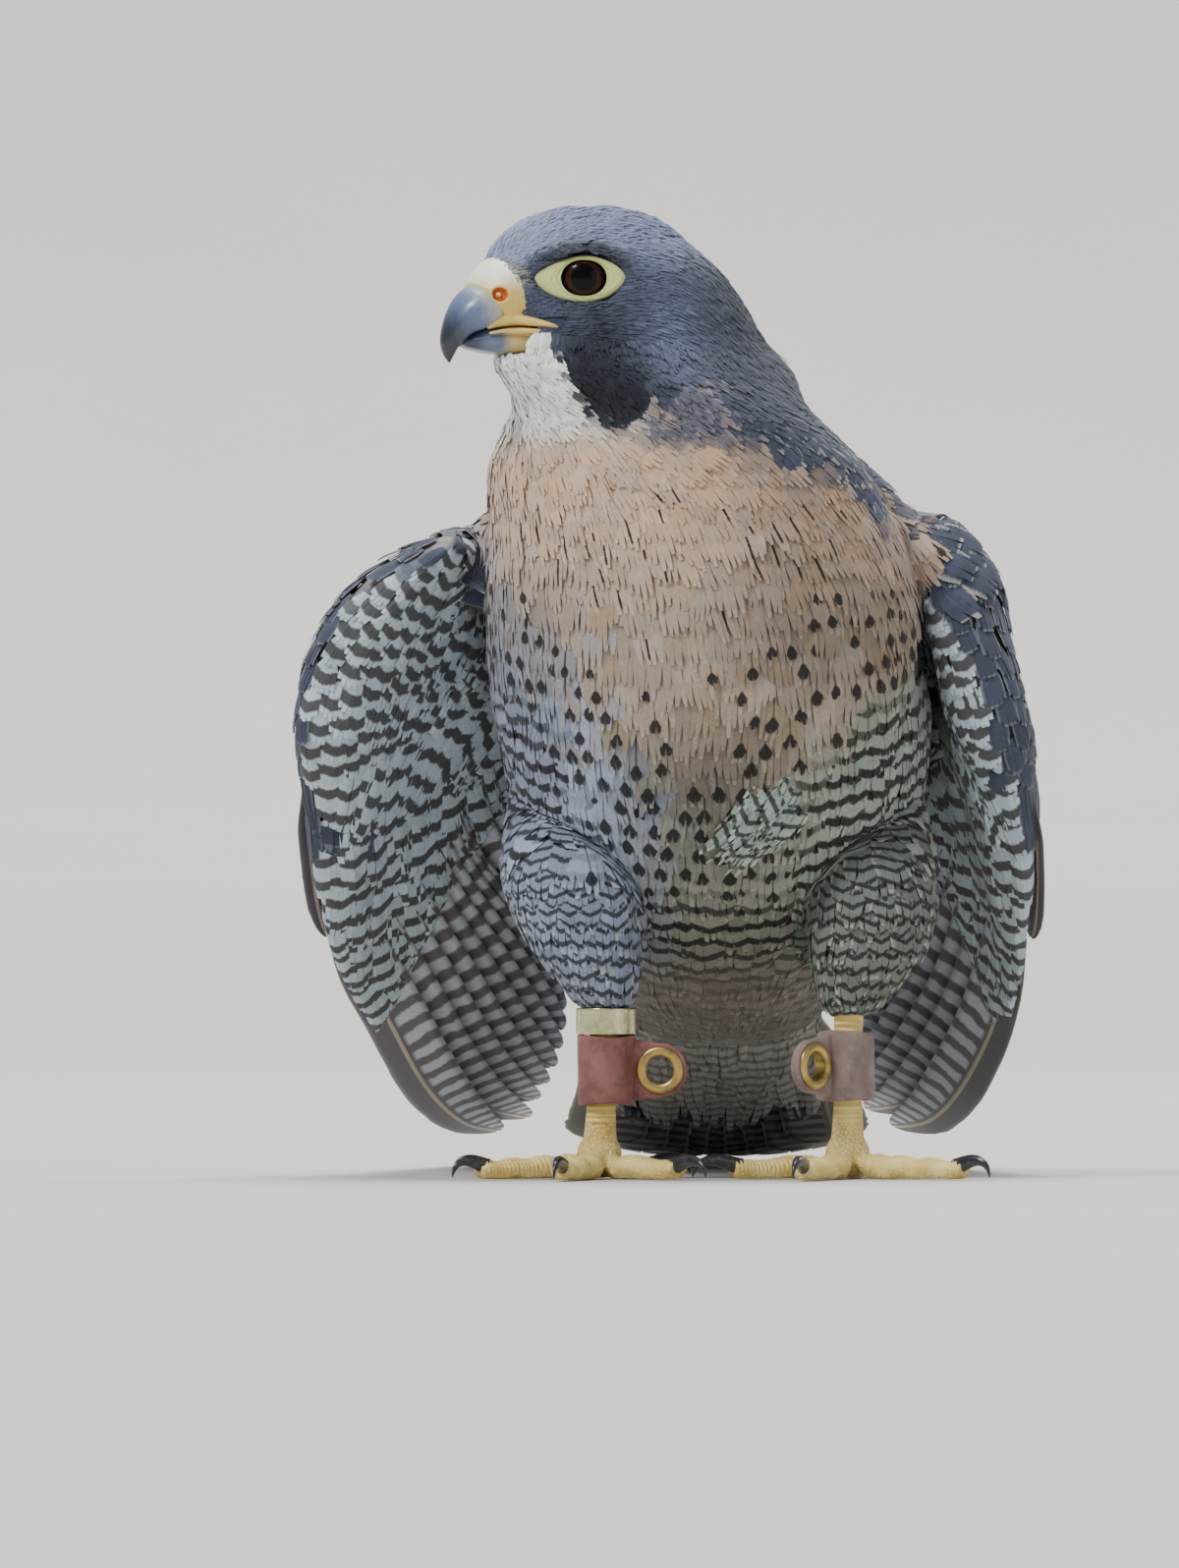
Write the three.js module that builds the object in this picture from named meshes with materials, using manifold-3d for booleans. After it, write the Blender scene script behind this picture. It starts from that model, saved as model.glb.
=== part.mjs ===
// A life-size peregrine falcon, standing with its wings drooped and its head turned to its right.
// Millimetres, +Z up. The bird faces -Y, its right side is at -X, and it stands on Z = 0.
import * as THREE from 'three';
import { mergeVertices } from 'three/addons/utils/BufferGeometryUtils.js';
import Module from 'manifold-3d';

const wasm = await Module();
wasm.setup();

// Driving dimensions
const GAP = 0.35; // kept between pieces that touch
const SHORTEST_EDGE = 0.01; // slivers that cuts leave are closed below this size
const WING_LENGTH = 330; // wrist to wing tip
const TAIL_LENGTH = 172; // longest tail feather, from its root
const VANE_THICKNESS = 0.6; // of every flight feather and covert
const EYE_RADIUS = 8.2; // eyeball
const EYE_BULGE = 1.1; // how far the eyeball stands out of the side of the head
const EYE_OPENING = { half: 6.2, tall: 5.4 }; // half the width and height between the lids
const CLAW_LENGTH = { hind: 19, inner: 17, middle: 15, outer: 13.5 };
const TOE_LENGTH = { hind: 24, inner: 35, middle: 48, outer: 40 };
const CLAW_RADIUS = 2.3;
const TOE_RADIUS = 3.5;
const TARSUS_RADIUS = 4.1;
const FOOT_TOP = 4.5; // height of the tarsus's lower end over the foot's middle
const ANKLET = { radius: 6.2, wall: 1.7, height: 19, tab: 15, tabWall: 2.6, tabEnd: 7.4, pull: 1.1 };
const TAB_HOLE = ANKLET.radius + ANKLET.tab - 6.4; // the middle of the tab's hole, from the band's axis
const GROMMET = { hole: 3.8, tube: 4.8, flange: 6.5, rim: 0.9 };
const LEG_RING = { radius: 8.3, wall: 0.9, height: 7.2 };

// The head's own frame: f forward along the bill, l to the bird's left, z up
const HEAD = { x: -24, y: -8, yaw: 63 };

// Body sections from the rump to the crown: centre, tilt of the section, turn to the bird's right,
// half width, and depth to the front and to the back
const BODY = [
  { x: 3, y: 105, z: 46, pitch: 66, yaw: 0, side: 26, front: 11, back: 10 },
  { x: 3, y: 85, z: 57, pitch: 60, yaw: 0, side: 35, front: 22, back: 18 },
  { x: 3, y: 62, z: 74, pitch: 50, yaw: 0, side: 42, front: 35, back: 25 },
  { x: 3, y: 41, z: 95, pitch: 40, yaw: 0, side: 53, front: 46, back: 33 },
  { x: 2, y: 24, z: 117, pitch: 29, yaw: 0, side: 59, front: 52, back: 42 },
  { x: 0, y: 12, z: 140, pitch: 19, yaw: 0, side: 61, front: 53, back: 48 },
  { x: -2, y: 4, z: 162, pitch: 11, yaw: 0, side: 60, front: 50, back: 50 },
  { x: -5, y: 0, z: 181, pitch: 5, yaw: 4, side: 56, front: 44, back: 46 },
  { x: -9.5, y: -3, z: 196, pitch: 2, yaw: 12, side: 52, front: 40, back: 39 },
  { x: -13, y: -5, z: 208, pitch: 0, yaw: 28, side: 44, front: 39, back: 42 },
  { x: -17, y: -7, z: 219, pitch: 0, yaw: 50, side: 34, front: 43, back: 46 },
  { x: -21, y: -8, z: 229, pitch: 0, yaw: 60, side: 28, front: 44, back: 39 },
  { x: -22.5, y: -8, z: 239, pitch: 0, yaw: 63, side: 26, front: 38, back: 34 },
  { x: -26, y: -8, z: 248, pitch: 0, yaw: 63, side: 24.5, front: 39, back: 31 },
  { x: -31, y: -8, z: 256, pitch: 0, yaw: 63, side: 21.5, front: 31, back: 27 },
  { x: -32.5, y: -8, z: 262.5, pitch: 0, yaw: 63, side: 15.5, front: 21, back: 20.5 },
  { x: -32.5, y: -8, z: 266, pitch: 0, yaw: 63, side: 6.5, front: 8.5, back: 8.5 },
];
const BODY_SIDES = 28;
const NECK_FROM = 7.35; // section number where the torso ends and the neck begins
const HEAD_FROM = 10.3; // section number where the neck ends and the head begins
const BODY_CUT = 0.02; // of a section's spacing, about 0.3 mm, left between torso, neck and head

// Each wing: the line of its leading edge from the shoulder to the tip, the angle at which the wing
// leaves that edge, at the wrist and at the tip, and how fast that angle closes on the back
const WINGS = {
  right: {
    inward: 1,
    edge: [
      [-66, 4, 179], [-84, 0, 170.5], [-98, -3, 158], [-107, -4, 143], [-110.5, -2, 124],
      [-109, 15, 100], [-104, 48, 64], [-92, 100, 38], [-83, 155, 20], [-74, 215, 9], [-64, 286, 4],
    ],
    rise: [46, 36],
    closing: 0.2,
  },
  left: {
    inward: -1,
    edge: [
      [46, 8, 187], [57, 2, 174], [67.5, -3, 159], [76, -5, 142], [81, -3, 122],
      [85, 12, 100], [86.5, 40, 70], [83, 88, 42], [76, 144, 22], [68, 208, 9], [58, 284, 4],
    ],
    rise: [70, 50],
    closing: 0.58,
  },
};
const WRIST = 4; // which point of a leading edge is the wrist
const WING_STEP = 42; // spacing of the lines along which every vane bends
const CURVE_STEPS = 800; // in which a leading edge is measured
const PRIMARIES = 10;
const SECONDARIES = 9;
const HAND_WIDTH = 42; // chord taken by the hand's feathers at their roots
const WING_CHORD = 96; // chord from the leading edge to the innermost feather
const LIFT_STEP = 6; // spacing along the chord at which a wing is fitted over the body
const LIFT_LIMIT = 40; // the most that a wing is lifted to clear the body
const SHEET_DEPTH = 4.2; // room kept for the feathers under a wing's sheet
const ARM_DEPTH = 4; // more room under the arm, near the leading edge
const SHINGLE = 0.27; // slope of each vane under its inner neighbour

// The tail: rump end, and the line along which it comes down to lie on the floor
const TAIL_LINE = [[3, 96, 50], [3, 130, 34], [3, 170, 19], [3, 215, 7.8], [3, 250, 3], [3, 278, 2]];
const RECTRICES = 6; // on each side
const TAIL_COVERTS = 4; // over the tail's root, and as many under it
const TAIL_SPREAD = 3.6; // degrees of fan on each side

// Each leg: the thigh's path with its half widths, the tarsus and the toes' headings, in degrees
// from straight ahead towards the bird's left
const LEGS = {
  right: {
    thigh: [
      { x: -35, y: 26, z: 108, side: 19, front: 22, back: 20 },
      { x: -37, y: 9, z: 84, side: 20, front: 25, back: 21 },
      { x: -34, y: 2, z: 66, side: 16, front: 18, back: 16 },
      { x: -30.5, y: -1, z: 55, side: 11.5, front: 12, back: 11.5 },
      { x: -28.6, y: -2, z: 48.6, side: 8.2, front: 8.4, back: 8.4 },
    ],
    ankle: [-28.6, -2, 49],
    foot: [-30.2, -1, 9],
    headings: { outer: -53, middle: -12, inner: 37, hind: 140 },
    anklet: { top: 39.4, heading: 86 },
    ring: true,
  },
  left: {
    thigh: [
      { x: 41, y: 26, z: 106, side: 18, front: 21, back: 20 },
      { x: 44, y: 9, z: 80, side: 18.5, front: 24, back: 21 },
      { x: 43.5, y: 2, z: 64, side: 16, front: 18, back: 16 },
      { x: 40.5, y: -1, z: 53, side: 11, front: 12, back: 11.5 },
      { x: 38.3, y: -2, z: 46.6, side: 7.8, front: 8, back: 8 },
    ],
    ankle: [38.3, -2, 47],
    foot: [38, -1, 9],
    headings: { inner: -62, middle: -15, outer: 50, hind: 170 },
    anklet: { top: 40.6, heading: -40 },
    ring: false,
  },
};

const COLOURS = {
  slate: [0x4c525e, 0.85, 0],
  breast: [0xc9ab8b, 0.9, 0],
  barred: [0x9aa3a6, 0.9, 0],
  cere: [0xe3c95c, 0.5, 0],
  bill: [0x5d6c86, 0.35, 0],
  eye: [0x1a0f0a, 0.08, 0],
  toe: [0xd9c964, 0.6, 0],
  claw: [0x17171b, 0.25, 0],
  leather: [0x7a4136, 0.8, 0],
  brass: [0xb8913c, 0.35, 1],
  ring: [0xb9a86c, 0.4, 1],
};

const group = new THREE.Group();

// Adds a piece to the model under its node's name
function place(name, solid, colour) {
  const geometry = toGeometry(solid);
  geometry.computeVertexNormals();
  const [hex, roughness, metalness] = COLOURS[colour];
  const mesh = new THREE.Mesh(geometry, new THREE.MeshStandardMaterial({ color: hex, roughness, metalness }));
  mesh.name = name;
  group.add(mesh);
}

// Solids and meshes

// Turns a closed mesh into a solid, facing outwards
function toSolid(geometry) {
  const bare = geometry.clone();
  bare.deleteAttribute('normal');
  bare.deleteAttribute('uv');
  const merged = mergeVertices(bare, 1e-4);
  const index = Array.from(merged.index.array);
  if (signedVolume(merged.attributes.position.array, index) < 0) {
    for (let i = 0; i < index.length; i += 3) {
      [index[i], index[i + 1]] = [index[i + 1], index[i]];
    }
  }
  return new wasm.Manifold(new wasm.Mesh({
    numProp: 3,
    vertProperties: new Float32Array(merged.attributes.position.array),
    triVerts: new Uint32Array(index),
  }));
}

// Six times the signed volume of a mesh, to tell which way it faces
function signedVolume(positions, index) {
  const corner = (i) => new THREE.Vector3().fromArray(positions, 3 * i);
  let total = 0;
  for (let i = 0; i < index.length; i += 3) {
    total += corner(index[i]).dot(corner(index[i + 1]).cross(corner(index[i + 2])));
  }
  return total;
}

// Keeps a solid's largest closed surface, without its slivers, as a plain geometry
function toGeometry(solid) {
  const largest = solid.decompose().reduce((a, b) => (b.volume() > a.volume() ? b : a));
  const mesh = largest.simplify(SHORTEST_EDGE).getMesh();
  const geometry = new THREE.BufferGeometry();
  geometry.setAttribute('position', new THREE.BufferAttribute(new Float32Array(mesh.vertProperties), 3));
  geometry.setIndex(Array.from(mesh.triVerts));
  return geometry;
}

function union(solids) {
  return solids.reduce((a, b) => a.add(b));
}

// A closed mesh over rings of equal length, each end closed by a fan about its middle
function skinRings(rings) {
  const count = rings[0].length;
  const points = rings.flat();
  const faces = [];
  for (let r = 0; r + 1 < rings.length; r += 1) {
    for (let i = 0; i < count; i += 1) {
      const a = r * count + i;
      const b = r * count + (i + 1) % count;
      faces.push(a, b, b + count, a, b + count, a + count);
    }
  }
  [0, rings.length - 1].forEach((r) => {
    const middle = rings[r].reduce((sum, p) => sum.add(p), new THREE.Vector3()).divideScalar(count);
    points.push(middle);
    for (let i = 0; i < count; i += 1) {
      const a = r * count + i;
      const b = r * count + (i + 1) % count;
      faces.push(...(r === 0 ? [b, a, points.length - 1] : [a, b, points.length - 1]));
    }
  });
  return meshOf(points, faces);
}

function meshOf(points, faces) {
  const geometry = new THREE.BufferGeometry();
  geometry.setAttribute('position', new THREE.Float32BufferAttribute(points.flatMap((p) => p.toArray()), 3));
  geometry.setIndex(faces);
  return geometry;
}

// A smooth value between the keys of a list, for a position counted in keys
function smoothKey(keys, at) {
  const last = keys.length - 1;
  const i = Math.min(Math.floor(at), last - 1);
  const t = at - i;
  const key = (k) => keys[THREE.MathUtils.clamp(k, 0, last)];
  const mix = (name) => {
    const [a, b, c, d] = [key(i - 1)[name], key(i)[name], key(i + 1)[name], key(i + 2)[name]];
    return b + 0.5 * t * (c - a + t * (2 * a - 5 * b + 4 * c - d + t * (3 * (b - c) + d - a)));
  };
  return Object.fromEntries(Object.keys(keys[0]).map((name) => [name, mix(name)]));
}

// A section's outline: an oval that is deeper to the front or to the back
function ovalRing(key, sides, grow) {
  const yaw = THREE.MathUtils.degToRad(key.yaw ?? 0);
  const pitch = THREE.MathUtils.degToRad(key.pitch ?? 0);
  const left = new THREE.Vector3(Math.cos(yaw), -Math.sin(yaw), 0);
  const rear = new THREE.Vector3(Math.sin(yaw), Math.cos(yaw), 0);
  rear.multiplyScalar(Math.cos(pitch)).setZ(Math.sin(pitch));
  const ring = [];
  for (let i = 0; i < sides; i += 1) {
    const turn = (2 * Math.PI * i) / sides;
    const across = Math.cos(turn) * (key.side + grow);
    const depth = Math.sin(turn) * ((Math.sin(turn) < 0 ? key.front : key.back) + grow);
    const middle = new THREE.Vector3(key.x, key.y, key.z);
    ring.push(middle.addScaledVector(left, across).addScaledVector(rear, depth));
  }
  return ring;
}

// A smooth body over oval sections, from one section number to another
function loft(keys, from, to, steps, sides, grow = 0) {
  const rings = [];
  for (let k = 0; k <= steps; k += 1) {
    rings.push(ovalRing(smoothKey(keys, from + ((to - from) * k) / steps), sides, grow));
  }
  return toSolid(skinRings(rings));
}

function ball(x, y, z, rx, ry, rz, across, down) {
  const geometry = new THREE.SphereGeometry(1, across, down);
  geometry.scale(rx, ry, rz);
  geometry.translate(x, y, z);
  return toSolid(geometry);
}

function box(x0, x1, y0, y1, z0, z1) {
  const geometry = new THREE.BoxGeometry(x1 - x0, y1 - y0, z1 - z0);
  geometry.translate((x0 + x1) / 2, (y0 + y1) / 2, (z0 + z1) / 2);
  return toSolid(geometry);
}

// A level slab under or over the legs
function slab(z0, z1) {
  return box(-150, 150, -120, 120, z0, z1);
}

// A point of the head's frame in the model's
function headPoint(f, l, z) {
  const yaw = THREE.MathUtils.degToRad(HEAD.yaw);
  const x = HEAD.x - f * Math.sin(yaw) + l * Math.cos(yaw);
  const y = HEAD.y - f * Math.cos(yaw) - l * Math.sin(yaw);
  return new THREE.Vector3(x, y, z);
}

// Torso, neck and head: one smooth form parted by thin cuts, less the sockets of the eyes
function bodyPart(from, to, steps, grow = 0) {
  return loft(BODY, from, to, steps, BODY_SIDES, grow);
}

function torsoPart(grow) {
  return bodyPart(0, NECK_FROM - BODY_CUT / 2, 14, grow);
}

function makeBody() {
  place('torso', torsoPart(0), 'breast');
  place('neck', bodyPart(NECK_FROM + BODY_CUT / 2, HEAD_FROM - BODY_CUT / 2, 6), 'slate');
  const sockets = union(['left', 'right'].map((side) => eyeSocket(side)));
  const head = union([bodyPart(HEAD_FROM + BODY_CUT / 2, BODY.length - 1, 10), brow('left'), brow('right')]);
  place('head', head.subtract(sockets), 'slate');
}

// The eye's place on the side of the head, and the way it looks
const EYE = { f: 21.5, l: 19.3, z: 246.9, ahead: 0.42, aside: 0.9 };
const EYE_SIDES = 14;

function eyeCentre(side, depth) {
  const hand = side === 'left' ? 1 : -1;
  return headPoint(EYE.f - EYE.ahead * depth, hand * (EYE.l - EYE.aside * depth), EYE.z);
}

// The eye looks along this direction
function eyeAxis(side) {
  return eyeCentre(side, 0).sub(eyeCentre(side, 1)).normalize();
}

function eyeball(side, grow) {
  const centre = eyeCentre(side, EYE_RADIUS - EYE_BULGE);
  const size = EYE_RADIUS + grow;
  return ball(centre.x, centre.y, centre.z, size, size, size, 14, 8);
}

// An oval body round the eye's axis. Each ring is its place along the axis, half width to the
// front and to the back, and half height
function aroundEye(side, sides, rings) {
  const hand = side === 'left' ? 1 : -1;
  const up = new THREE.Vector3(0, 0, 1);
  const forward = new THREE.Vector3().crossVectors(eyeAxis(side), up).multiplyScalar(hand).normalize();
  return toSolid(skinRings(rings.map(([out, front, rear, tall]) => {
    const ring = [];
    for (let i = 0; i < sides; i += 1) {
      const turn = (2 * Math.PI * i) / sides;
      const ahead = Math.cos(turn);
      const rise = Math.sin(turn) * tall * (ahead > 0 ? 1 - 0.35 * ahead ** 2 : 1);
      ring.push(eyeCentre(side, -out).addScaledVector(forward, ahead * (ahead > 0 ? front : rear))
        .addScaledVector(up, rise));
    }
    return ring;
  })));
}

// The bare skin round the eye, longer to the front, before its opening is cut
function eyeRing(side, grow) {
  return aroundEye(side, EYE_SIDES, [[-6.5, 0.8], [-1.2, 1], [0.3, 0.93], [0.9, 0.76]].map(([out, share]) => [
    out + Math.sign(out) * grow,
    13.6 * share + grow,
    10 * share + grow,
    7.6 * share + grow,
  ]));
}

// The opening between the lids
function eyeOpening(side) {
  const { half, tall } = EYE_OPENING;
  return aroundEye(side, EYE_SIDES, [[-4, half, half, tall], [3, half + 0.6, half + 0.6, tall + 0.6]]);
}

function eyeSocket(side) {
  return eyeRing(side, GAP).add(eyeball(side, GAP));
}

// The bony ridge that shades the eye, as [f, l, z, radius] in the head's frame
const BROW = [
  [33, 13.5, 253.2, 2],
  [27, 18, 255, 2.6],
  [20, 20, 255.6, 2.8],
  [12, 20.5, 254.4, 2.4],
  [5, 20, 252, 1.6],
];

function brow(side) {
  const hand = side === 'left' ? 1 : -1;
  const keys = BROW.map(([f, l, z, r]) => {
    const at = headPoint(f, hand * l, z);
    return { x: at.x, y: at.y, z: at.z, r };
  });
  return tube(keys, 5, 6);
}

// A round body along a path, of changing radius
function tube(keys, steps, sides) {
  const centres = [];
  for (let k = 0; k <= steps; k += 1) {
    centres.push(smoothKey(keys, ((keys.length - 1) * k) / steps));
  }
  const at = (k) => new THREE.Vector3(centres[k].x, centres[k].y, centres[k].z);
  const rings = centres.map((centre, k) => {
    const along = at(Math.min(k + 1, steps)).sub(at(Math.max(k - 1, 0))).normalize();
    const up = Math.abs(along.z) > 0.92 ? new THREE.Vector3(0, 1, 0) : new THREE.Vector3(0, 0, 1);
    const across = new THREE.Vector3().crossVectors(along, up).normalize();
    const rise = new THREE.Vector3().crossVectors(across, along);
    const ring = [];
    for (let i = 0; i < sides; i += 1) {
      const turn = (2 * Math.PI * (i + 0.5)) / sides;
      ring.push(at(k).addScaledVector(across, Math.cos(turn) * centre.r)
        .addScaledVector(rise, Math.sin(turn) * centre.r));
    }
    return ring;
  });
  return toSolid(skinRings(rings));
}

function makeEyes() {
  ['left', 'right'].forEach((side) => {
    place(`eye_${side}`, eyeball(side, 0), 'eye');
    const bareSkin = eyeRing(side, 0).subtract(eyeball(side, GAP)).subtract(eyeOpening(side));
    place(`eye_ring_${side}`, bareSkin, 'cere');
  });
}

// The bill. Each section runs from its lower edge to its ridge, as [f, z] in the head's middle
// plane, and has its half width
const CERE = [
  { low: [26, 234.6], high: [33, 253], half: 11.5 },
  { low: [33, 234.4], high: [41.3, 251.6], half: 10.6 },
  { low: [38.6, 234.2], high: [46.4, 245.4], half: 9 },
];
const UPPER_BILL = [
  { low: [38.6, 234.2], high: [46.4, 245.4], half: 9 },
  { low: [41.4, 233.2], high: [48.9, 243.4], half: 8.6 },
  { low: [44.3, 232.3], high: [51.6, 240.2], half: 7.6 },
  { low: [48, 230.9], high: [54, 235.4], half: 5.6 },
  { low: [50.6, 228.5], high: [55.4, 230], half: 3.5 },
  { low: [51.8, 226.1], high: [54.9, 226.3], half: 1.9 },
  { low: [52.9, 223.8], high: [53.3, 223.8], half: 0.35 },
];
const LOWER_BILL = [
  { low: [20, 226.5], high: [20, 232.6], half: 13 },
  { low: [30, 226], high: [30, 234.4], half: 12 },
  { low: [38, 225.8], high: [38, 234.4], half: 9.2 },
  { low: [44, 226.6], high: [44, 233.4], half: 7.2 },
  { low: [48.6, 227.8], high: [48.6, 231.4], half: 4.4 },
  { low: [50.4, 228.8], high: [50.4, 230.2], half: 1.8 },
];
const MOUTH_LINE = [[27.5, 18.4, 232.4], [33, 14.6, 233.4], [39, 9.6, 234]]; // as [f, l, z]
const LIP_RADIUS = 1.1;

function billRing(section, grow) {
  const [lowF, lowZ] = section.low;
  const [highF, highZ] = section.high;
  const tall = Math.hypot(highF - lowF, highZ - lowZ) / 2;
  const sides = 16;
  const ring = [];
  for (let i = 0; i < sides; i += 1) {
    const turn = (2 * Math.PI * (i + 0.5)) / sides;
    const lift = Math.sin(turn);
    const squared = lift < 0 ? Math.sign(Math.cos(turn)) * Math.abs(Math.cos(turn)) ** 0.55 : Math.cos(turn);
    const share = (lift * (tall + grow)) / tall / 2 + 0.5;
    ring.push(headPoint(
      THREE.MathUtils.lerp(lowF, highF, share),
      squared * (section.half + grow),
      THREE.MathUtils.lerp(lowZ, highZ, share),
    ));
  }
  return ring;
}

function billLoft(sections, grow = 0) {
  return toSolid(skinRings(sections.map((section) => billRing(section, grow))));
}

const NOSTRIL = { knob: 0.75, radius: 2, depth: 1.6 };

// The round nostril: a ring-shaped pit with the bony knob left in its middle
function nostril(hand) {
  const { knob, radius, depth } = NOSTRIL;
  const profile = [[knob, -depth], [radius, -depth], [radius + 0.1, 3], [knob, 3], [knob, -depth]];
  const pit = new THREE.LatheGeometry(profile.map(([r, y]) => new THREE.Vector2(r, y)), 10);
  const at = headPoint(42, hand * 8.6, 242.3);
  const out = headPoint(42.6, hand * 9.6, 242.5).sub(at).normalize();
  pit.applyQuaternion(new THREE.Quaternion().setFromUnitVectors(new THREE.Vector3(0, 1, 0), out));
  pit.translate(at.x, at.y, at.z);
  const above = box(-80, -20, -60, 10, 200, 260);
  return toSolid(pit).intersect(above);
}

function makeBill() {
  const head = bodyPart(HEAD_FROM, BODY.length - 1, 10, GAP);
  const slit = billLoft(UPPER_BILL, GAP);
  const cere = billLoft(CERE).add(lips(0)).subtract(head).subtract(nostril(1)).subtract(nostril(-1));
  place('cere', cere, 'cere');
  place('bill_upper', billLoft(UPPER_BILL).subtract(cerePlane()).subtract(head), 'bill');
  const lower = billLoft(LOWER_BILL).subtract(head).subtract(slit).subtract(billLoft(CERE, GAP));
  place('bill_lower', lower.subtract(lips(GAP)), 'bill');
}

// The soft rolls along both edges of the mouth
function lips(grow) {
  return union([1, -1].map((hand) => tube(MOUTH_LINE.map(([f, l, z]) => {
    const at = headPoint(f, hand * l, z);
    return { x: at.x, y: at.y, z: at.z, r: LIP_RADIUS + grow };
  }), 4, 8)));
}

// What parts the horn from the cere: a thin slab in the plane of the cere's front edge
function cerePlane() {
  const rings = [-3, GAP].map((ahead) => {
    const [low, high] = [CERE[2].low, CERE[2].high];
    const length = Math.hypot(high[0] - low[0], high[1] - low[1]);
    const [df, dz] = [(high[1] - low[1]) / length, -(high[0] - low[0]) / length];
    return [[-1, -1.5], [1, -1.5], [1, 1.5], [-1, 1.5]].map(([across, up]) => {
      const share = 0.5 + up;
      return headPoint(
        THREE.MathUtils.lerp(low[0], high[0], share) + df * ahead,
        across * 20,
        THREE.MathUtils.lerp(low[1], high[1], share) + dz * ahead,
      );
    });
  });
  return toSolid(skinRings(rings));
}

// Wing space: a is the chord from the leading edge inwards, b the way from the wrist towards the
// tip, c the height over the wing's sheet on its upper side

function wingSpace(wing) {
  const curve = smoothCurve(wing.edge);
  curve.arcLengthDivisions = CURVE_STEPS;
  const total = curve.getLength();
  const wristShare = arcShare(curve, WRIST / (wing.edge.length - 1));
  const wrist = wristShare * total;
  const scale = (total - wrist) / WING_LENGTH;
  const frames = new Map();
  const frameAt = (line) => {
    if (!frames.has(line)) {
      const share = THREE.MathUtils.clamp((wrist + line * WING_STEP * scale) / total, 0, 1);
      const spare = wrist + line * WING_STEP * scale - share * total;
      const along = curve.getTangentAt(share);
      const origin = curve.getPointAt(share).addScaledVector(along, spare);
      const fall = new THREE.Vector2(along.y, -along.z).normalize();
      const tilt = Math.max(0, Math.atan2(fall.x, fall.y));
      const rear = new THREE.Vector3(0, Math.cos(tilt), Math.sin(tilt));
      const down = THREE.MathUtils.smoothstep(line * WING_STEP, 0, WING_LENGTH);
      const rise = THREE.MathUtils.degToRad(THREE.MathUtils.lerp(wing.rise[0], wing.rise[1], down));
      frames.set(line, { origin, rear, rise, push: [] });
    }
    return frames.get(line);
  };
  const bend = THREE.MathUtils.degToRad(wing.closing);
  const flat = (line, a, c) => {
    const { origin, rear, rise } = frameAt(line);
    const turned = rise - bend * a;
    const inward = new THREE.Vector3(wing.inward, 0, 0);
    return origin.clone()
      .addScaledVector(inward, (Math.sin(rise) - Math.sin(turned)) / bend - c * Math.sin(turned))
      .addScaledVector(rear, (Math.cos(turned) - Math.cos(rise)) / bend + c * Math.cos(turned));
  };
  // How far the sheet is lifted where the body lies under it, found every few millimetres
  const liftAt = (line, node) => {
    const { push } = frameAt(line);
    if (push[node] === undefined) {
      const a = node * LIFT_STEP;
      const level = -SHEET_DEPTH - ARM_DEPTH * (1 - THREE.MathUtils.smoothstep(a, 45, 60));
      let lift = 0;
      while (lift < LIFT_LIMIT && insideBody(flat(line, a, level + lift), 1)) {
        lift += 1;
      }
      push[node] = lift;
    }
    return push[node];
  };
  const onLine = (line, a, c) => {
    const node = Math.floor(a / LIFT_STEP);
    const over = (k) => Math.max(liftAt(line, Math.max(k, 0)), liftAt(line, Math.max(k + 1, 0)));
    return flat(line, a, c + THREE.MathUtils.lerp(over(node - 1), over(node), a / LIFT_STEP - node));
  };
  return (a, b, c) => {
    const line = Math.floor(b / WING_STEP);
    return onLine(line, a, c).lerp(onLine(line + 1, a, c), b / WING_STEP - line);
  };
}

// Whether a point lies in the torso, grown by a margin
function insideBody(point, margin) {
  for (let at = 0; at < 8.5; at += 0.25) {
    const key = smoothKey(BODY, at);
    const pitch = THREE.MathUtils.degToRad(key.pitch);
    const dx = point.x - key.x;
    const [dy, dz] = [point.y - key.y, point.z - key.z];
    const depth = dy * Math.cos(pitch) + dz * Math.sin(pitch);
    const off = dz * Math.cos(pitch) - dy * Math.sin(pitch);
    const across = dx / (key.side + margin);
    const deep = depth / ((depth < 0 ? key.front : key.back) + margin);
    if (Math.abs(off) < 4 && across ** 2 + deep ** 2 < 1) {
      return true;
    }
  }
  return false;
}

// A smooth curve through points
function smoothCurve(points) {
  return new THREE.CatmullRomCurve3(points.map((p) => new THREE.Vector3(...p)), false, 'centripetal');
}

// The share of a curve's length at which one of its points lies
function arcShare(curve, u) {
  const lengths = curve.getLengths(CURVE_STEPS);
  return lengths[Math.round(u * CURVE_STEPS)] / lengths[CURVE_STEPS];
}

// The places along a vane where it bends or changes width: the wing's common lines and the
// rounded end
function vaneStations(from, to) {
  const stations = [from];
  for (let line = Math.ceil((from + 4) / WING_STEP); line * WING_STEP < to - 0.25 * WING_STEP; line += 1) {
    stations.push(line * WING_STEP);
  }
  const last = stations[stations.length - 1];
  const near = to - 0.1 * (to - from);
  return [...stations, ...[near].filter((b) => b > last + 3), to];
}

// How wide a vane is at a share of its length, as a share of its full width
function vaneWidth(share, point) {
  const root = THREE.MathUtils.lerp(0.42, 1, THREE.MathUtils.smoothstep(share, 0, 0.3));
  const end = Math.sqrt(Math.max(0, 1 - THREE.MathUtils.clamp((share - 1 + point) / point, 0, 1) ** 2));
  return Math.max(root * end, 0.16);
}

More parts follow.
